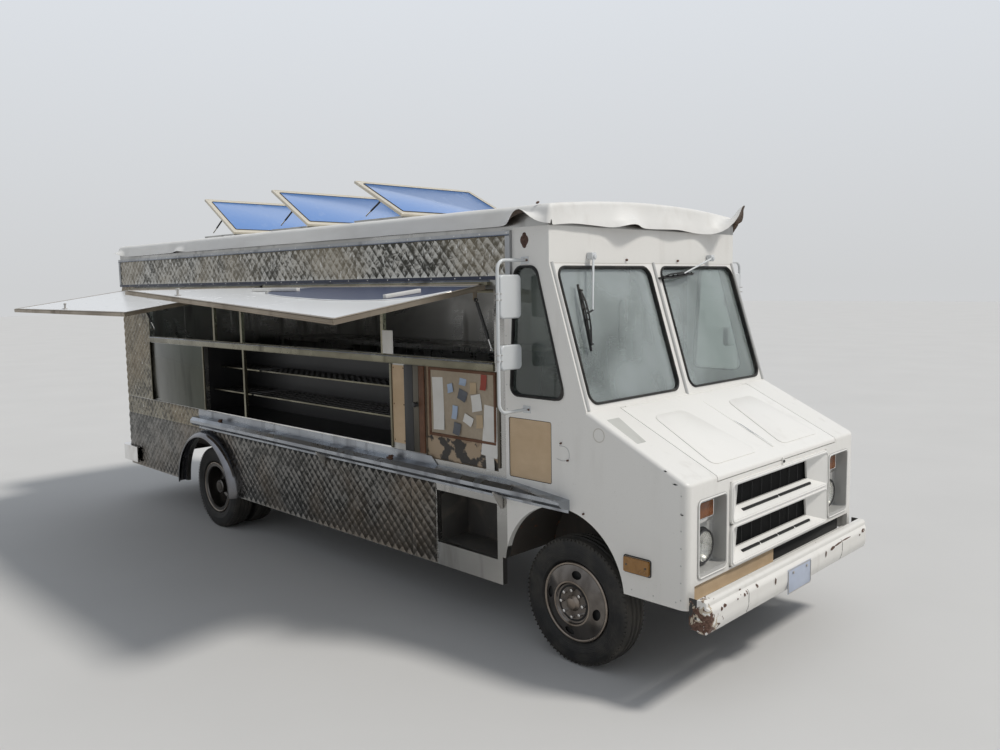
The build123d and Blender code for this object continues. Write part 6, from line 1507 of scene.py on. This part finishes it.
@dataclass
class Awning(Assembly):
    """One hinged awning: white skins, edge trims, hinge strip, lip and rivets."""

    name: str
    rear: float
    front: float
    drop_rear: float
    drop_front: float
    hinge_y: float = -1.093
    hinge_z: float = 2.326
    out_y: float = -2.240

    @property
    def body(self) -> str:
        """The CAD body that carries the awning."""
        return f"awning_{self.name}"

    def at(self, x: float, share: float, lift: float = 0.0) -> Point:
        """A point over the awning's top, from the hinge at 0 to the outer edge at 1."""
        part = (x - self.rear) / (self.front - self.rear)
        drop = self.drop_rear + (self.drop_front - self.drop_rear) * part
        fall = self.hinge_z - drop
        reach = self.hinge_y - self.out_y
        length = math.hypot(fall, reach)
        return (x, self.hinge_y - reach * share - lift * fall / length,
                self.hinge_z - fall * share + lift * reach / length)

    def patch(self, name: str, x: Pair, share: Pair, lift: float, thick: float,
              columns: int = 12) -> Object:
        """A thin sheet that lies on the awning's top."""
        piece = Bench.grid(name, columns, 4, lambda u, v: on_truck(*self.at(
            x[0] + (x[1] - x[0]) * u, share[1] + (share[0] - share[1]) * v, lift)))
        return Bench.apply(piece, "SOLIDIFY", thickness=thick, offset=1.0)

    def build(self) -> None:
        """Model every piece."""
        long = self.front - self.rear
        joints = (self.rear + 0.012, self.rear + long * 0.36, self.rear + long * 0.68, self.front - 0.012)
        for index, (x0, x1) in enumerate(zip(joints, joints[1:])):
            skin = self.patch(f"awning_skin_{self.name}_{index}", (x0 + 0.001, x1 - 0.001), (0.03, 0.985), 0.0002,
                              0.0022)
            self.fit(Bench.round_edges(skin, 0.0008, 1), Skin.AWNING_WHITE, self.body)
        self.build_edges()
        self.build_rivets(joints)

    def build_edges(self) -> None:
        """Angle trims along the outer edge and the two ends."""
        for name, x0, x1, s0, s1 in (("outer", self.rear, self.front, 0.978, 0.999),
                                     ("rear", self.rear, self.rear + 0.024, 0.03, 0.98),
                                     ("front", self.front - 0.024, self.front, 0.03, 0.98)):
            trim = self.patch(f"awning_trim_{self.name}_{name}", (x0, x1), (s0, s1), 0.0022, 0.0026)
            self.fit(Bench.round_edges(trim, 0.001, 1), Skin.AWNING_EDGE, self.body)
        strip = Bench.box(f"awning_hinge_strip_{self.name}", (self.rear + 0.004, -1.0605, 2.333),
                          (self.front - 0.004, -1.0575, 2.355), 0.001)
        self.fit(strip, Skin.RAIL_STEEL)
        lip = Bench.bead(f"awning_lip_{self.name}", [self.at(self.rear + 0.006, 0.999, -0.014),
                                                     self.at(self.front - 0.006, 0.999, -0.014)], 0.0045, closed=False)
        self.fit(lip, Skin.AWNING_EDGE, self.body)

    def build_rivets(self, joints: Sequence[float]) -> None:
        """Rivet rows along the skins' joints and the outer edge."""
        rows = []
        for x in joints[1:-1]:
            rows.append(Bench.domes("row", self.at(x - 0.012, 0.08, 0.0024), self.at(x - 0.012, 0.95, 0.0024), 0.14,
                                    UPWARD))
        rows.append(Bench.domes("row", self.at(self.rear + 0.05, 0.966, 0.0024),
                                self.at(self.front - 0.05, 0.966, 0.0024), 0.22, UPWARD))
        self.fit_joined(f"awning_rivets_{self.name}", rows, Skin.TRIM_BRIGHT, self.body)


@dataclass
class AwningGear(Assembly):
    """Bars and latches that the awnings carry, and dark glossy sheets with bowed borders that paint the reflection of
    the dark fascia in the awnings' tops.
    """

    main: Awning
    rear: Awning

    def build(self) -> None:
        """Model every piece."""
        for index, (awning, x, share) in enumerate(((self.main, -2.66, 0.92), (self.rear, -4.9, 0.93))):
            foot = Vector(awning.at(x, share, 0.002))
            top = foot + Vector((0.0, 0.0, 0.042))
            post = Bench.rod("post", foot, top, 0.008, 16, 0.001)
            hook = Bench.rod("hook", top - Vector((0.022, 0.0, 0.0)), top + Vector((0.022, 0.0, 0.004)), 0.007, 12,
                             0.001)
            base = Bench.box("base", foot + Vector((-0.022, -0.016, 0.0)), foot + Vector((0.022, 0.016, 0.006)))
            self.fit_joined(f"awning_latch_{index}", [post, hook, base], Skin.TUBE_SILVER, awning.body)
        for index, (start, end) in enumerate((((-2.51, 0.476), (-2.10, 0.37)), ((-0.915, 0.50), (-0.875, 0.285)))):
            a, b = Vector(self.main.at(*start, 0.004)), Vector(self.main.at(*end, 0.004))
            aside = (b - a).cross(Vector(UPWARD)).normalized() * 0.020
            bar = Bench.slab(f"awning_bar_{index}", [a - aside, a + aside, b + aside, b - aside], (0.0, 0.0, 0.024),
                             0.006, 0.002)
            self.fit(bar, Skin.CAB_WHITE, self.main.body)
        # Painted reflection sheets on both awnings.
        for awning, x0, x1, deep in ((self.main, -2.42, -0.65, 0.63), (self.rear, -4.60, -3.45, 0.50)):
            self.shade(awning, x0, x1, deep)

    @staticmethod
    def bow(part: float, deep: float) -> float:
        """How far down the awning the border lies, at a part of the sheet's length."""
        return 0.22 + (deep - 0.22) * (1 - abs(2 * part - 1) ** 2.5) ** 0.4

    def shade(self, awning: Awning, x0: float, x1: float, deep: float) -> None:
        """Painted reflection: a dark glossy sheet beside the hinge, with a bright bead along its bowed outer border,
        for the dark fascia mirrored in the awning.
        """
        piece = Bench.grid(f"awning_shade_{awning.name}", 36, 4, lambda u, v: on_truck(*awning.at(
            x0 + (x1 - x0) * u, self.bow(u, deep) * (1 - v) + 0.08 * v, 0.0026)))
        Bench.apply(piece, "SOLIDIFY", thickness=0.0012, offset=1.0)
        self.fit(piece, Skin.PAINTED_REFLECTION_BLUE, awning.body)
        border = [awning.at(x0 + (x1 - x0) * i / 36, self.bow(i / 36, deep) + 0.012, 0.005) for i in range(37)]
        rim = Bench.bead(f"awning_reflection_rim_{awning.name}", border, 0.005, closed=False)
        self.fit(rim, Skin.TRIM_BRIGHT, awning.body)


@dataclass
class ServingSide(Assembly):
    """Display shelves, counter edge, notice board, posts and the blank cards of the serving side."""

    wire_pitch: float = 0.085
    board_y: float = -1.0392
    card_gap: float = 0.0006
    knob: tuple[Pair, ...] = ((0.0, 0.03), (0.016, 0.028), (0.020, 0.018), (0.010, 0.006), (0.016, 0.0))
    ledge_knob: tuple[Pair, ...] = ((0.0, 0.028), (0.016, 0.027), (0.022, 0.020), (0.012, 0.010), (0.020, 0.0))
    cards: tuple[tuple[str | float, ...], ...] = (
        ("w", -1.150, 1.525, 0.110, 0.360, -3), ("w", -0.640, 1.385, 0.150, 0.330, 5),
        ("w", -0.655, 1.200, 0.075, 0.150, -8), ("b", -0.900, 1.690, 0.065, 0.045, 6),
        ("t", -0.800, 1.655, 0.060, 0.075, -4), ("g", -0.905, 1.600, 0.085, 0.070, 18),
        ("w", -0.770, 1.560, 0.090, 0.110, -12), ("r", -0.700, 1.700, 0.055, 0.100, 2),
        ("b", -0.980, 1.480, 0.050, 0.090, 4), ("w", -0.850, 1.440, 0.090, 0.060, 20),
        ("t", -0.740, 1.440, 0.060, 0.085, -7), ("g", -0.960, 1.370, 0.070, 0.080, 9),
        ("b", -1.020, 1.640, 0.050, 0.060, -15))

    def build(self) -> None:
        """Model every piece."""
        self.build_counter()
        self.build_shelves()
        self.build_posts()
        self.build_notices()
        self.build_ledge()

    def build_counter(self) -> None:
        """Nosing along the counter beam and the channel over the windows."""
        y = -WALL
        self.fit_boxes(Skin.WINDOW_BRONZE, (
            ("counter_nosing", (-5.735, y - 0.012, 1.779), (-0.595, y, 1.826), 0.004),
            ("bay_edge_rear", (-5.752, y - 0.0115, 1.160), (-5.737, y, 1.774), 0.002),
            ("bay_edge_front", (-4.562, y - 0.0115, 1.160), (-4.542, y, 1.774), 0.002),
            ("band_edge_rear", (-5.752, y - 0.0060, 1.832), (-5.737, y, 2.270), 0.002),
            ("band_sill", (-5.735, y + 0.004, 1.830), (-0.595, y + 0.036, 1.838), 0.002),
            ("band_track", (-5.735, y + 0.006, 2.276), (-0.595, y + 0.036, 2.299), 0.003)))
        lip = Bench.bead("counter_lip", [(-5.73, y - 0.010, 1.828), (-0.60, y - 0.010, 1.828)], 0.0045, closed=False)
        self.fit(lip, Skin.LEDGE_STEEL)
        # Painted reflection: the bay's side sheet carries steel darkened for the dark surroundings it would mirror.
        sheet = Bench.box("bay_side_sheet", (-5.738, y - 0.0012, 1.158), (-4.560, y, 1.772), 0.0004)
        self.fit(sheet, Skin.PANEL_STEEL_PAINTED_REFLECTION)

    def build_shelves(self) -> None:
        """Bright shelf edges and cross wires over the rods of the display bay."""
        y = -WALL + 0.040
        for index, (x0, x1, z, depth) in enumerate(((-3.78, -1.66, 1.360, 0.060), (-3.78, -1.66, 1.570, 0.150),
                                                    (-4.53, -3.82, 1.360, 0.060), (-4.53, -3.82, 1.570, 0.150))):
            front = y + depth - 0.016
            strip = Bench.box(f"shelf_edge_{index}", (x0, front - 0.002, z - 0.006), (x1, front + 0.004, z + 0.007),
                              0.0015)
            self.fit(strip, Skin.WINDOW_BRONZE)
            wire = Bench.rod("wire", (x0 + 0.05, front, z + 0.007), (x0 + 0.05, y + 0.405, z + 0.007), 0.0028, 8)
            count = int((x1 - x0 - 0.1) / self.wire_pitch)
            self.fit(Bench.array(wire, count, Vector((self.wire_pitch, 0.0, 0.0))), Skin.POST_BRONZE)
        floor = Bench.box("bay_floor_edge", (-4.538, -WALL - 0.002, 1.150), (-1.652, -WALL + 0.014, 1.166))
        self.fit(floor, Skin.TRIM_BRIGHT)

    def build_posts(self) -> None:
        """Trim of the posts between the bay, the tan board and the doorway."""
        y = -WALL
        for name, x0, x1, skin in (("bay", -1.664, -1.642, Skin.WINDOW_BRONZE),
                                   ("board", -1.498, -1.402, Skin.BLACK_PAINT),
                                   ("steel", -1.400, -1.340, Skin.POST_BRONZE),
                                   ("door", -1.338, -1.281, Skin.FRAME_WOOD),
                                   ("cab", -0.569, -0.548, Skin.POST_BRONZE)):
            self.fit(Bench.box(f"post_{name}", (x0, y - 0.010, 1.158), (x1, y, 1.774), 0.003), skin)
        self.fit(Bench.lathe("post_knob", (-1.365, y - 0.010, 1.50), RIGHTWARD, self.knob, 24), Skin.BLACK_PAINT)
        screws = [Bench.domes("row", (x, y, 1.22), (x, y, 1.745), 0.26, RIGHTWARD, 0.006) for x in (-1.625, -1.515)]
        self.fit_joined("post_screws", screws, Skin.SOCKET_RUST)

    def build_notices(self) -> None:
        """Worn door board, the framed cork board and blank cards pinned to it."""
        face = self.board_y
        worn = Bench.box("door_board_face", (-1.279, face - 0.0022, 1.137), (-0.571, face, 1.773), 0.0)
        self.fit(worn, Skin.DOOR_BOARD)
        x0, x1, z0, z1, wide = -1.228, -0.612, 1.318, 1.752, 0.02
        self.fit(Bench.box("cork", (x0, face - 0.008, z0), (x1, face - 0.002, z1), 0.0), Skin.CORK)
        ring = [Bench.box("bar", (xa, face - 0.014, za), (xb, face - 0.002, zb), 0.003)
                for xa, xb, za, zb in ((x0 - wide, x1 + wide, z0 - wide, z0), (x0 - wide, x1 + wide, z1, z1 + wide),
                                       (x0 - wide, x0, z0, z1), (x1, x1 + wide, z0, z1))]
        self.fit_joined("cork_frame", ring, Skin.FRAME_WOOD)
        for colour, skin in (("white", Skin.PAPER), ("blue", Skin.CARD_BLUE), ("tan", Skin.CARD_TAN),
                             ("grey", Skin.CARD_GREY), ("red", Skin.CARD_RED)):
            sheets = [self.card(*sizes, face - 0.0085 - self.card_gap * index)
                      for index, (pick, *sizes) in enumerate(self.cards) if pick == colour[0]]
            self.fit_joined(f"{colour}_cards", sheets, skin)
        self.fit(Bench.box("blank_sign", (-1.735, -1.064, 1.842), (-1.615, -1.060, 2.010), 0.0012), Skin.PAPER)

    @staticmethod
    def card(x: float, z: float, wide: float, tall: float, tilt: float, y: float) -> Object:
        """A sheet of paper, turned a little, with its lower end curling away from the board."""
        Bench.clear()
        bpy.ops.mesh.primitive_grid_add(x_subdivisions=3, y_subdivisions=6, size=1.0, location=on_truck(x, y, z),
                                        rotation=(math.pi / 2, math.radians(tilt), 0.0))
        bpy.context.object.scale = (wide, tall, 1.0)
        piece = Bench.settle("card")
        foot = min(v.co.z for v in piece.data.vertices)
        for vert in piece.data.vertices:
            part = 1 - (vert.co.z - foot) / tall
            vert.co.y -= 0.010 * max(0.0, part) ** 3
        return Bench.apply(piece, "SOLIDIFY", thickness=0.0004)

    def build_ledge(self) -> None:
        """Knobs, seams and stays of the serving ledge."""
        for index, x in enumerate((-4.159, -1.608)):
            knob = Bench.lathe("knob", (x, -1.115, 1.088), UPWARD, self.ledge_knob, 24)
            arm = Bench.box("arm", (x - 0.05, -1.121, 1.088), (x + 0.012, -1.109, 1.098))
            self.fit_joined(f"ledge_knob_{index}", [knob, arm], Skin.SOCKET_RUST)
        lips = Bench.bead("ledge_lip", [(-4.698, -1.151, 1.038), (-0.50, -1.151, 1.038)], 0.004, closed=False)
        self.fit(lips, Skin.RAIL_STEEL)
        stay = Bench.slab("stay", [(-0.545, -1.060, 0.985), (-0.545, -1.145, 1.040), (-0.545, -1.145, 1.012),
                                   (-0.545, -1.072, 0.900), (-0.545, -1.060, 0.900)], (0.012, 0.0, 0.0), 0.0, 0.001)
        self.fit(Bench.array(stay, 2, Vector((-2.0, 0.0, 0.0))), Skin.TUBE_SILVER)
        self.fit(Bench.box("ledge_end_plate", (-0.46, -1.160, 1.030), (-0.30, -1.062, 1.034), 0.001), Skin.RAIL_STEEL)


@dataclass
class Walls(Assembly):
    """Joint strips, rivets and rails on the plain walls, and the rear door's fittings."""

    rear: float = -6.400

    def build(self) -> None:
        """Model every piece."""
        self.build_street_side()
        self.build_rear()
        self.build_fascia_joints()

    def build_street_side(self) -> None:
        """Vertical joint strips with their rivets and a rub rail on the street side, and the bead of the driver's door
        window.
        """
        y = WALL
        strips, rows = [], []
        for x in (-2.10, -3.30, -4.50, -5.70):
            strips.append(Bench.box("strip", (x - 0.022, y, 0.975), (x + 0.022, y + 0.003, 2.352), 0.001))
            rows += [Bench.domes("row", (x + dx, y + 0.003, 1.0), (x + dx, y + 0.003, 2.33), 0.12, LEFTWARD)
                     for dx in (-0.014, 0.014)]
        self.fit_joined("joint_strips", strips, Skin.BODY_STEEL)
        self.fit_joined("joint_rivets", rows, Skin.TRIM_BRIGHT)
        rail = Bench.bead("rub_rail", [(-6.39, y + 0.008, 1.015), (-1.30, y + 0.008, 1.015)], 0.012, closed=False)
        self.fit(rail, Skin.TRIM_BRIGHT)
        pad = Bench.bead("driver_window_bead", beside(1.0095, (-1.150, -0.650), (1.560, 2.180)), 0.0028, corner=0.05)
        self.fit(pad, Skin.SOFT_BLACK, "driver_door")

    def build_rear(self) -> None:
        """Rear wall: corner angles, rivet rows, window bead, grab bar, handle rose and the door's pressed edge."""
        x = self.rear
        for side in SIDES:
            angle = Bench.box(f"corner_angle_{SIDE_NAMES[side]}", (x - 0.003, side * WALL, 0.62),
                              (x, side * 1.012, 2.655), 0.001)
            self.fit(angle, Skin.TRIM_BRIGHT)
            rows = [Bench.domes("row", (x, side * y, 0.66), (x, side * y, 2.54), 0.13, BACKWARD)
                    for y in (0.995, 0.560)]
            self.fit_joined(f"rear_rivets_{SIDE_NAMES[side]}", rows, Skin.TRIM_BRIGHT)
        bar = Bench.bead("grab_bar", [(x, -0.47, 1.25), (x - 0.055, -0.47, 1.25), (x - 0.055, -0.47, 1.75),
                                      (x, -0.47, 1.75)], 0.010, closed=False, corner=0.03)
        self.fit(bar, Skin.TRIM_BRIGHT)
        bead = Bench.bead("rear_window_bead", across(x - 0.001, (-0.250, 0.210), (1.70, 2.25)), 0.008, corner=0.05)
        self.fit(bead, Skin.SOFT_BLACK, "rear_door")
        rose = Bench.lathe("door_rose", (x, -0.3075, 1.30), BACKWARD, [(0.0, 0.008), (0.018, 0.007), (0.026, 0.0)], 24)
        self.fit(rose, Skin.TRIM_BRIGHT, "rear_door")
        edge = across(x - 0.0008, (-0.366, 0.326), (0.898, 2.382))
        self.fit(Bench.bead("door_press", edge, 0.003, corner=0.03), Skin.BODY_STEEL, "rear_door")

    def build_fascia_joints(self) -> None:
        """Rivets along the fascia rails and beads over the rails' joints."""
        y = -WALL - 0.022
        rows = [Bench.domes("row", (-6.37, y, z), (-0.45, y, z), 0.24, RIGHTWARD) for z in (2.640, 2.368)]
        self.fit_pair(Bench.join("rows", rows), Skin.TRIM_BRIGHT, "fascia_rivets")
        rail = Bench.bead("rail", [(-6.395, y, 2.628), (-0.43, y, 2.628)], 0.005, closed=False)
        self.fit_pair(rail, Skin.RAIL_STEEL, "fascia_rail_bead")


@dataclass
class Wheels(Assembly):
    """Bright rims, dishes, caps, nuts, valves and shoulder lugs of the wheels and tyres."""

    axle_z: float = 0.397
    face: float = 0.1025
    bolt_circle: float = 0.083
    rim: tuple[Pair, ...] = ((0.2465, 0.074), (0.2465, 0.084), (0.243, 0.088), (0.236, 0.0885), (0.232, 0.085),
                             (0.232, 0.080))
    lugs: int = 80
    lug_half: Point = (0.0045, 0.009, 0.0)
    hole_turns: tuple[float, ...] = (-9.0, 81.0, 171.0, 261.0)
    hole_at: float = 0.182
    hole_half: Pair = (0.0235, 0.036)

    def build(self) -> None:
        """Model every piece."""
        for side in SIDES:
            name = SIDE_NAMES[side]
            out = (0.0, float(side), 0.0)
            front = (0.0, side * 0.903, self.axle_z)
            rear = (-4.521, side * 0.919, self.axle_z)
            self.dress(f"front_wheel_{name}", front, out, 0.095, (0.0,))
            self.dress(f"rear_wheels_{name}", rear, out, 0.060, (0.0, -0.240))

    def dress(self, body: str, centre: Point, out: Point, cap: float, spread: tuple[float, ...]) -> None:
        """Model what one wheel station carries.

        Args:
            body: the wheel's CAD body.
            centre: the outer tyre's middle.
            out: the axle's outward direction.
            cap: how far the hub reaches out of the middle.
            spread: offsets of the tyres' middles along the axle.
        """
        self.fit(Bench.lathe(f"{body}_rim", centre, out, self.rim, 64), Skin.RIM_BRONZE, body)
        base, side = Vector(centre), Vector(out)
        convex = body.startswith("front")
        if convex:
            self.dish(body, centre, out)
        else:
            dome = Bench.lathe(f"{body}_cap", centre, out, [(0.0, cap + 0.012), (0.022, cap + 0.011),
                                                            (0.040, cap + 0.006), (0.046, cap - 0.002)], 32)
            self.fit(dome, Skin.CHASSIS_BLACK, body)
            root = base + side * 0.055 + Vector((0.150, 0.0, 0.115))
            self.fit(Bench.rod(f"{body}_valve", root, root + side * 0.035, 0.0045, 8, 0.001), Skin.BLACK_PAINT, body)
        for offset in spread:
            lugs = []
            for sign in SIDES:
                foot = base + side * (offset + sign * 0.081) + Vector((0.0, 0.0, 0.3865))
                low = foot - Vector(self.lug_half) - Vector((0.0, 0.0, 0.010))
                high = foot + Vector(self.lug_half) + Vector((0.0, 0.0, 0.0012))
                lugs.append(Bench.ring(Bench.box("lug", low, high, 0.0015), self.lugs, centre, out))
            skin = Skin.TYRE_FRONT if convex else Skin.TYRE_REAR
            self.fit_joined(f"{body}_lugs_{round(-offset * 100)}", lugs, skin, body)

    def dish(self, body: str, centre: Point, out: Point) -> None:
        """The front wheel's outward dish with its four hand-holes, ring, nuts and cap, and a near-black ring behind the
        holes that paints the shade seen through them.
        """
        face, middle, side = self.face, Vector(centre), Vector(out)
        dish = Bench.lathe(f"{body}_dish", centre, out, [
            (0.050, face - 0.004), (0.120, face - 0.004), (0.128, 0.108), (0.134, 0.1145), (0.150, 0.110),
            (0.205, 0.088), (0.2285, 0.0855), (0.222, 0.0885), (0.205, 0.0955), (0.185, 0.1035), (0.165, 0.1105),
            (0.150, 0.1150), (0.140, 0.1180), (0.134, 0.1185), (0.130, 0.1165), (0.126, 0.110), (0.122, 0.1045),
            (0.116, face), (0.050, face), (0.050, face - 0.004)], 72)
        deep, wide = self.hole_half
        for turn in self.hole_turns:
            radial = Vector((math.cos(math.radians(turn)), 0.0, math.sin(math.radians(turn))))
            around = radial.cross(side)
            hole = middle + side * 0.078 + radial * self.hole_at
            points = [hole + radial * deep * math.cos(a) + around * wide * math.sin(a)
                      for a in (math.tau * i / 20 for i in range(20))]
            cutter = Bench.slab("cutter", points, side * 0.06)
            Bench.apply(dish, "BOOLEAN", operation="DIFFERENCE", solver="EXACT", object=cutter)
            bpy.data.objects.remove(cutter)
        self.fit(dish, Skin.DISH_STEEL, body)
        # Painted shade: the near-black back ring sits behind the hand-holes for the dark seen through them.
        turned = (("back", [(0.145, 0.0858), (0.2065, 0.0858), (0.2065, 0.0868), (0.145, 0.0868), (0.145, 0.0858)],
                   Skin.CORE_BLACK),
                  ("ring", [(0.1285, 0.1168), (0.1290, 0.1192), (0.133, 0.1202), (0.138, 0.1192), (0.1385, 0.1168)],
                   Skin.RIM_BRONZE),
                  ("seat", [(0.100, face), (0.100, face + 0.0015), (0.112, face + 0.0015), (0.112, face)],
                   Skin.CORE_BLACK),
                  ("cap", [(0.0, face + 0.030), (0.020, face + 0.029), (0.034, face + 0.023), (0.041, face + 0.010),
                           (0.046, face + 0.007), (0.050, face)], Skin.RIM_BRONZE))
        for name, profile, skin in turned:
            self.fit(Bench.lathe(f"{body}_{name}", centre, out, profile, 48), skin, body)
        seat = middle + side * (face - 0.001) + Vector((0.0, 0.0, self.bolt_circle))
        nuts = Bench.ring(Bench.rod("nut", seat, seat + side * 0.022, 0.0115, 6, 0.003), 8, centre, out)
        nuts.name = f"{body}_nuts"
        self.fit(nuts, Skin.CHROME, body)


@dataclass
class Cushions(Assembly):
    """The driver's seat: pedestal, base cushion and back cushion."""

    def build(self) -> None:
        """Model every piece."""
        post = Bench.box("seat_pedestal", (-0.48, 0.36, 0.880), (-0.24, 0.550, 1.085), 0.012)
        self.fit(post, Skin.CHASSIS_BLACK)
        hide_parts("driver_seat")
        self.fit(Bench.box("seat_pan", (-0.552, 0.343, 1.080), (-0.158, 0.727, 1.100), 0.008), Skin.CHASSIS_BLACK)
        seat = self.pad("seat_cushion", (-0.545, 0.350, 1.102), (-0.165, 0.720, 1.178))
        back = self.pad("seat_back", (-0.615, 0.360, 1.185), (-0.555, 0.710, 1.680), lean=-0.10)
        for cushion in (seat, back):
            self.fit(cushion, Skin.SEAT_VINYL, angle=80.0)

    @staticmethod
    def pad(name: str, low: Point, high: Point, lean: float = 0.0) -> Object:
        """A crowned pad, puffed by pressure, with a welt round its middle.

        Args:
            name: the pad's name.
            low: its lowest corner.
            high: its highest corner.
            lean: how far its top leans back, as a share of its height.

        Returns:
            The pad, simulated.
        """
        piece = Bench.box(name, low, high, 0.018)
        foot = TRUCK_ORIGIN.z + low[2]
        for vert in piece.data.vertices:
            vert.co.x += (vert.co.z - foot) * lean
        Bench.apply(piece, "REMESH", mode="VOXEL", voxel_size=0.012)
        Bench.take(piece)
        cloth = piece.modifiers.new("Cloth", "CLOTH")
        cloth.settings.use_pressure = True
        cloth.settings.uniform_pressure_force = 3.0
        cloth.settings.effector_weights.gravity = 0.0
        rest = [vert.co.copy() for vert in piece.data.vertices]
        for step in range(1, 16):
            bpy.context.scene.frame_set(step)
        bpy.ops.object.modifier_apply(modifier=cloth.name)
        for vert, home in zip(piece.data.vertices, rest):
            move = vert.co - home
            vert.co = home + move * min(1.0, 0.008 / max(move.length, 1e-6))
        bpy.context.scene.frame_set(1)
        return Bench.apply(piece, "SUBSURF", levels=1, render_levels=1)


@dataclass
class Studio:
    """Floor, light and the camera at the photograph's view."""

    place: Point = (3.22249, -4.85410, 2.33718)
    yaw: float = 2.352185
    pitch: float = -0.1076005
    roll: float = -0.0159262
    lens: float = 30.702
    haze: Colour = (0.62, 0.63, 0.64)
    sky: Colour = (0.80, 0.85, 0.92)
    sky_from: float = 0.55
    fill: float = 0.52
    sun: float = 2.05
    sun_width: float = 9.0
    sun_colour: Colour = (1.0, 0.965, 0.91)
    sun_way: Point = (-0.62, -0.30, -0.95)
    floor_size: float = 160.0

    def build(self) -> None:
        """Set up the floor, the world, the lamps and the camera."""
        self.build_camera()
        self.build_floor()
        self.build_world()
        self.build_lamps()

    def build_camera(self) -> None:
        """Camera with the photograph's lens and place."""
        data = bpy.data.cameras.new("view")
        data.sensor_width = 36.0
        data.lens = self.lens
        camera = in_scene("view", data)
        forward = Vector((math.cos(self.yaw) * math.cos(self.pitch), math.sin(self.yaw) * math.cos(self.pitch),
                          math.sin(self.pitch)))
        right = Vector((math.sin(self.yaw), -math.cos(self.yaw), 0.0))
        up = right.cross(forward)
        right, up = (right * math.cos(self.roll) + up * math.sin(self.roll),
                     up * math.cos(self.roll) - right * math.sin(self.roll))
        turn = Matrix((right, up, -forward)).transposed()
        camera.matrix_world = Matrix.Translation(on_truck(*self.place)) @ turn.to_4x4()
        bpy.context.scene.camera = camera

    def build_floor(self) -> None:
        """Pale floor far wider than the truck."""
        Bench.clear()
        bpy.ops.mesh.primitive_plane_add(size=self.floor_size, location=(0.0, 0.0, 0.0))
        floor = Bench.settle("studio_floor")
        g = Graph("studio_floor")
        g.set(Base_Color=g.blend(g.noise(0.7, 4.0), (0.60, 0.595, 0.585), (0.66, 0.655, 0.645)), Roughness=0.9)
        floor.data.materials.append(g.material)

    def build_world(self) -> None:
        """Even pale surroundings, a little brighter overhead."""
        world = bpy.data.worlds.new("studio")
        bpy.context.scene.world = world
        world.use_nodes = True
        tree = world.node_tree
        tree.nodes.clear()
        nodes = Nodes(tree)
        split = nodes.node("SeparateXYZ", {0: nodes.node("TexCoord").outputs["Generated"]})
        ramp = nodes.node("ValToRGB", {0: split.outputs["Z"]})
        for element, place, colour in zip(ramp.color_ramp.elements, (0.0, self.sky_from), (self.haze, self.sky)):
            element.position = place
            element.color = (*colour, 1.0)
        path = nodes.node("LightPath")
        seen = nodes.node("Math", {0: path.outputs["Is Camera Ray"], 1: path.outputs["Is Glossy Ray"]},
                          operation="MAXIMUM")
        strength = nodes.node("MapRange", {"Value": seen.outputs[0], "To Min": self.fill, "To Max": 1.0})
        back = nodes.node("Background", {"Color": ramp.outputs[0], "Strength": strength.outputs[0]})
        nodes.node("OutputWorld", {0: back.outputs[0]})

    def build_lamps(self) -> None:
        """A soft sun from ahead, from the left and above."""
        data = bpy.data.lights.new("key", "SUN")
        data.energy = self.sun
        data.angle = math.radians(self.sun_width)
        data.color = self.sun_colour
        lamp = in_scene("key", data)
        lamp.rotation_mode = "QUATERNION"
        lamp.rotation_quaternion = Vector(self.sun_way).to_track_quat("-Z", "Y")


def main() -> None:
    """Build the studio and every sub-assembly in order."""
    logging.basicConfig(level=logging.INFO, format="%(message)s")
    bpy.context.scene.view_settings.view_transform = "Standard"
    Bench.clear()
    Studio().build()
    cab = Cab()
    main_awning = Awning("main", -3.350, -0.620, 2.321, 2.154)
    rear_awning = Awning("rear", -6.080, -3.390, 2.154, 2.154)
    parts: list[Assembly] = [
        CadFrame(), cab, Hood(), Grille(), Lamps(), Bumpers(), Mirrors(), Wipers(cab), Quilting(), RoofCloth(),
        VentLid("front", -2.006, 27.0), VentLid("middle", -3.318, 30.8), VentLid("rear", -4.639, 32.7),
        main_awning, rear_awning, AwningGear(main_awning, rear_awning), ServingSide(), Walls(), Wheels(), Cushions(),
    ]
    for part in parts:
        part.build()
    Bench.clear()
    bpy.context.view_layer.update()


if __name__ == "__main__":
    main()
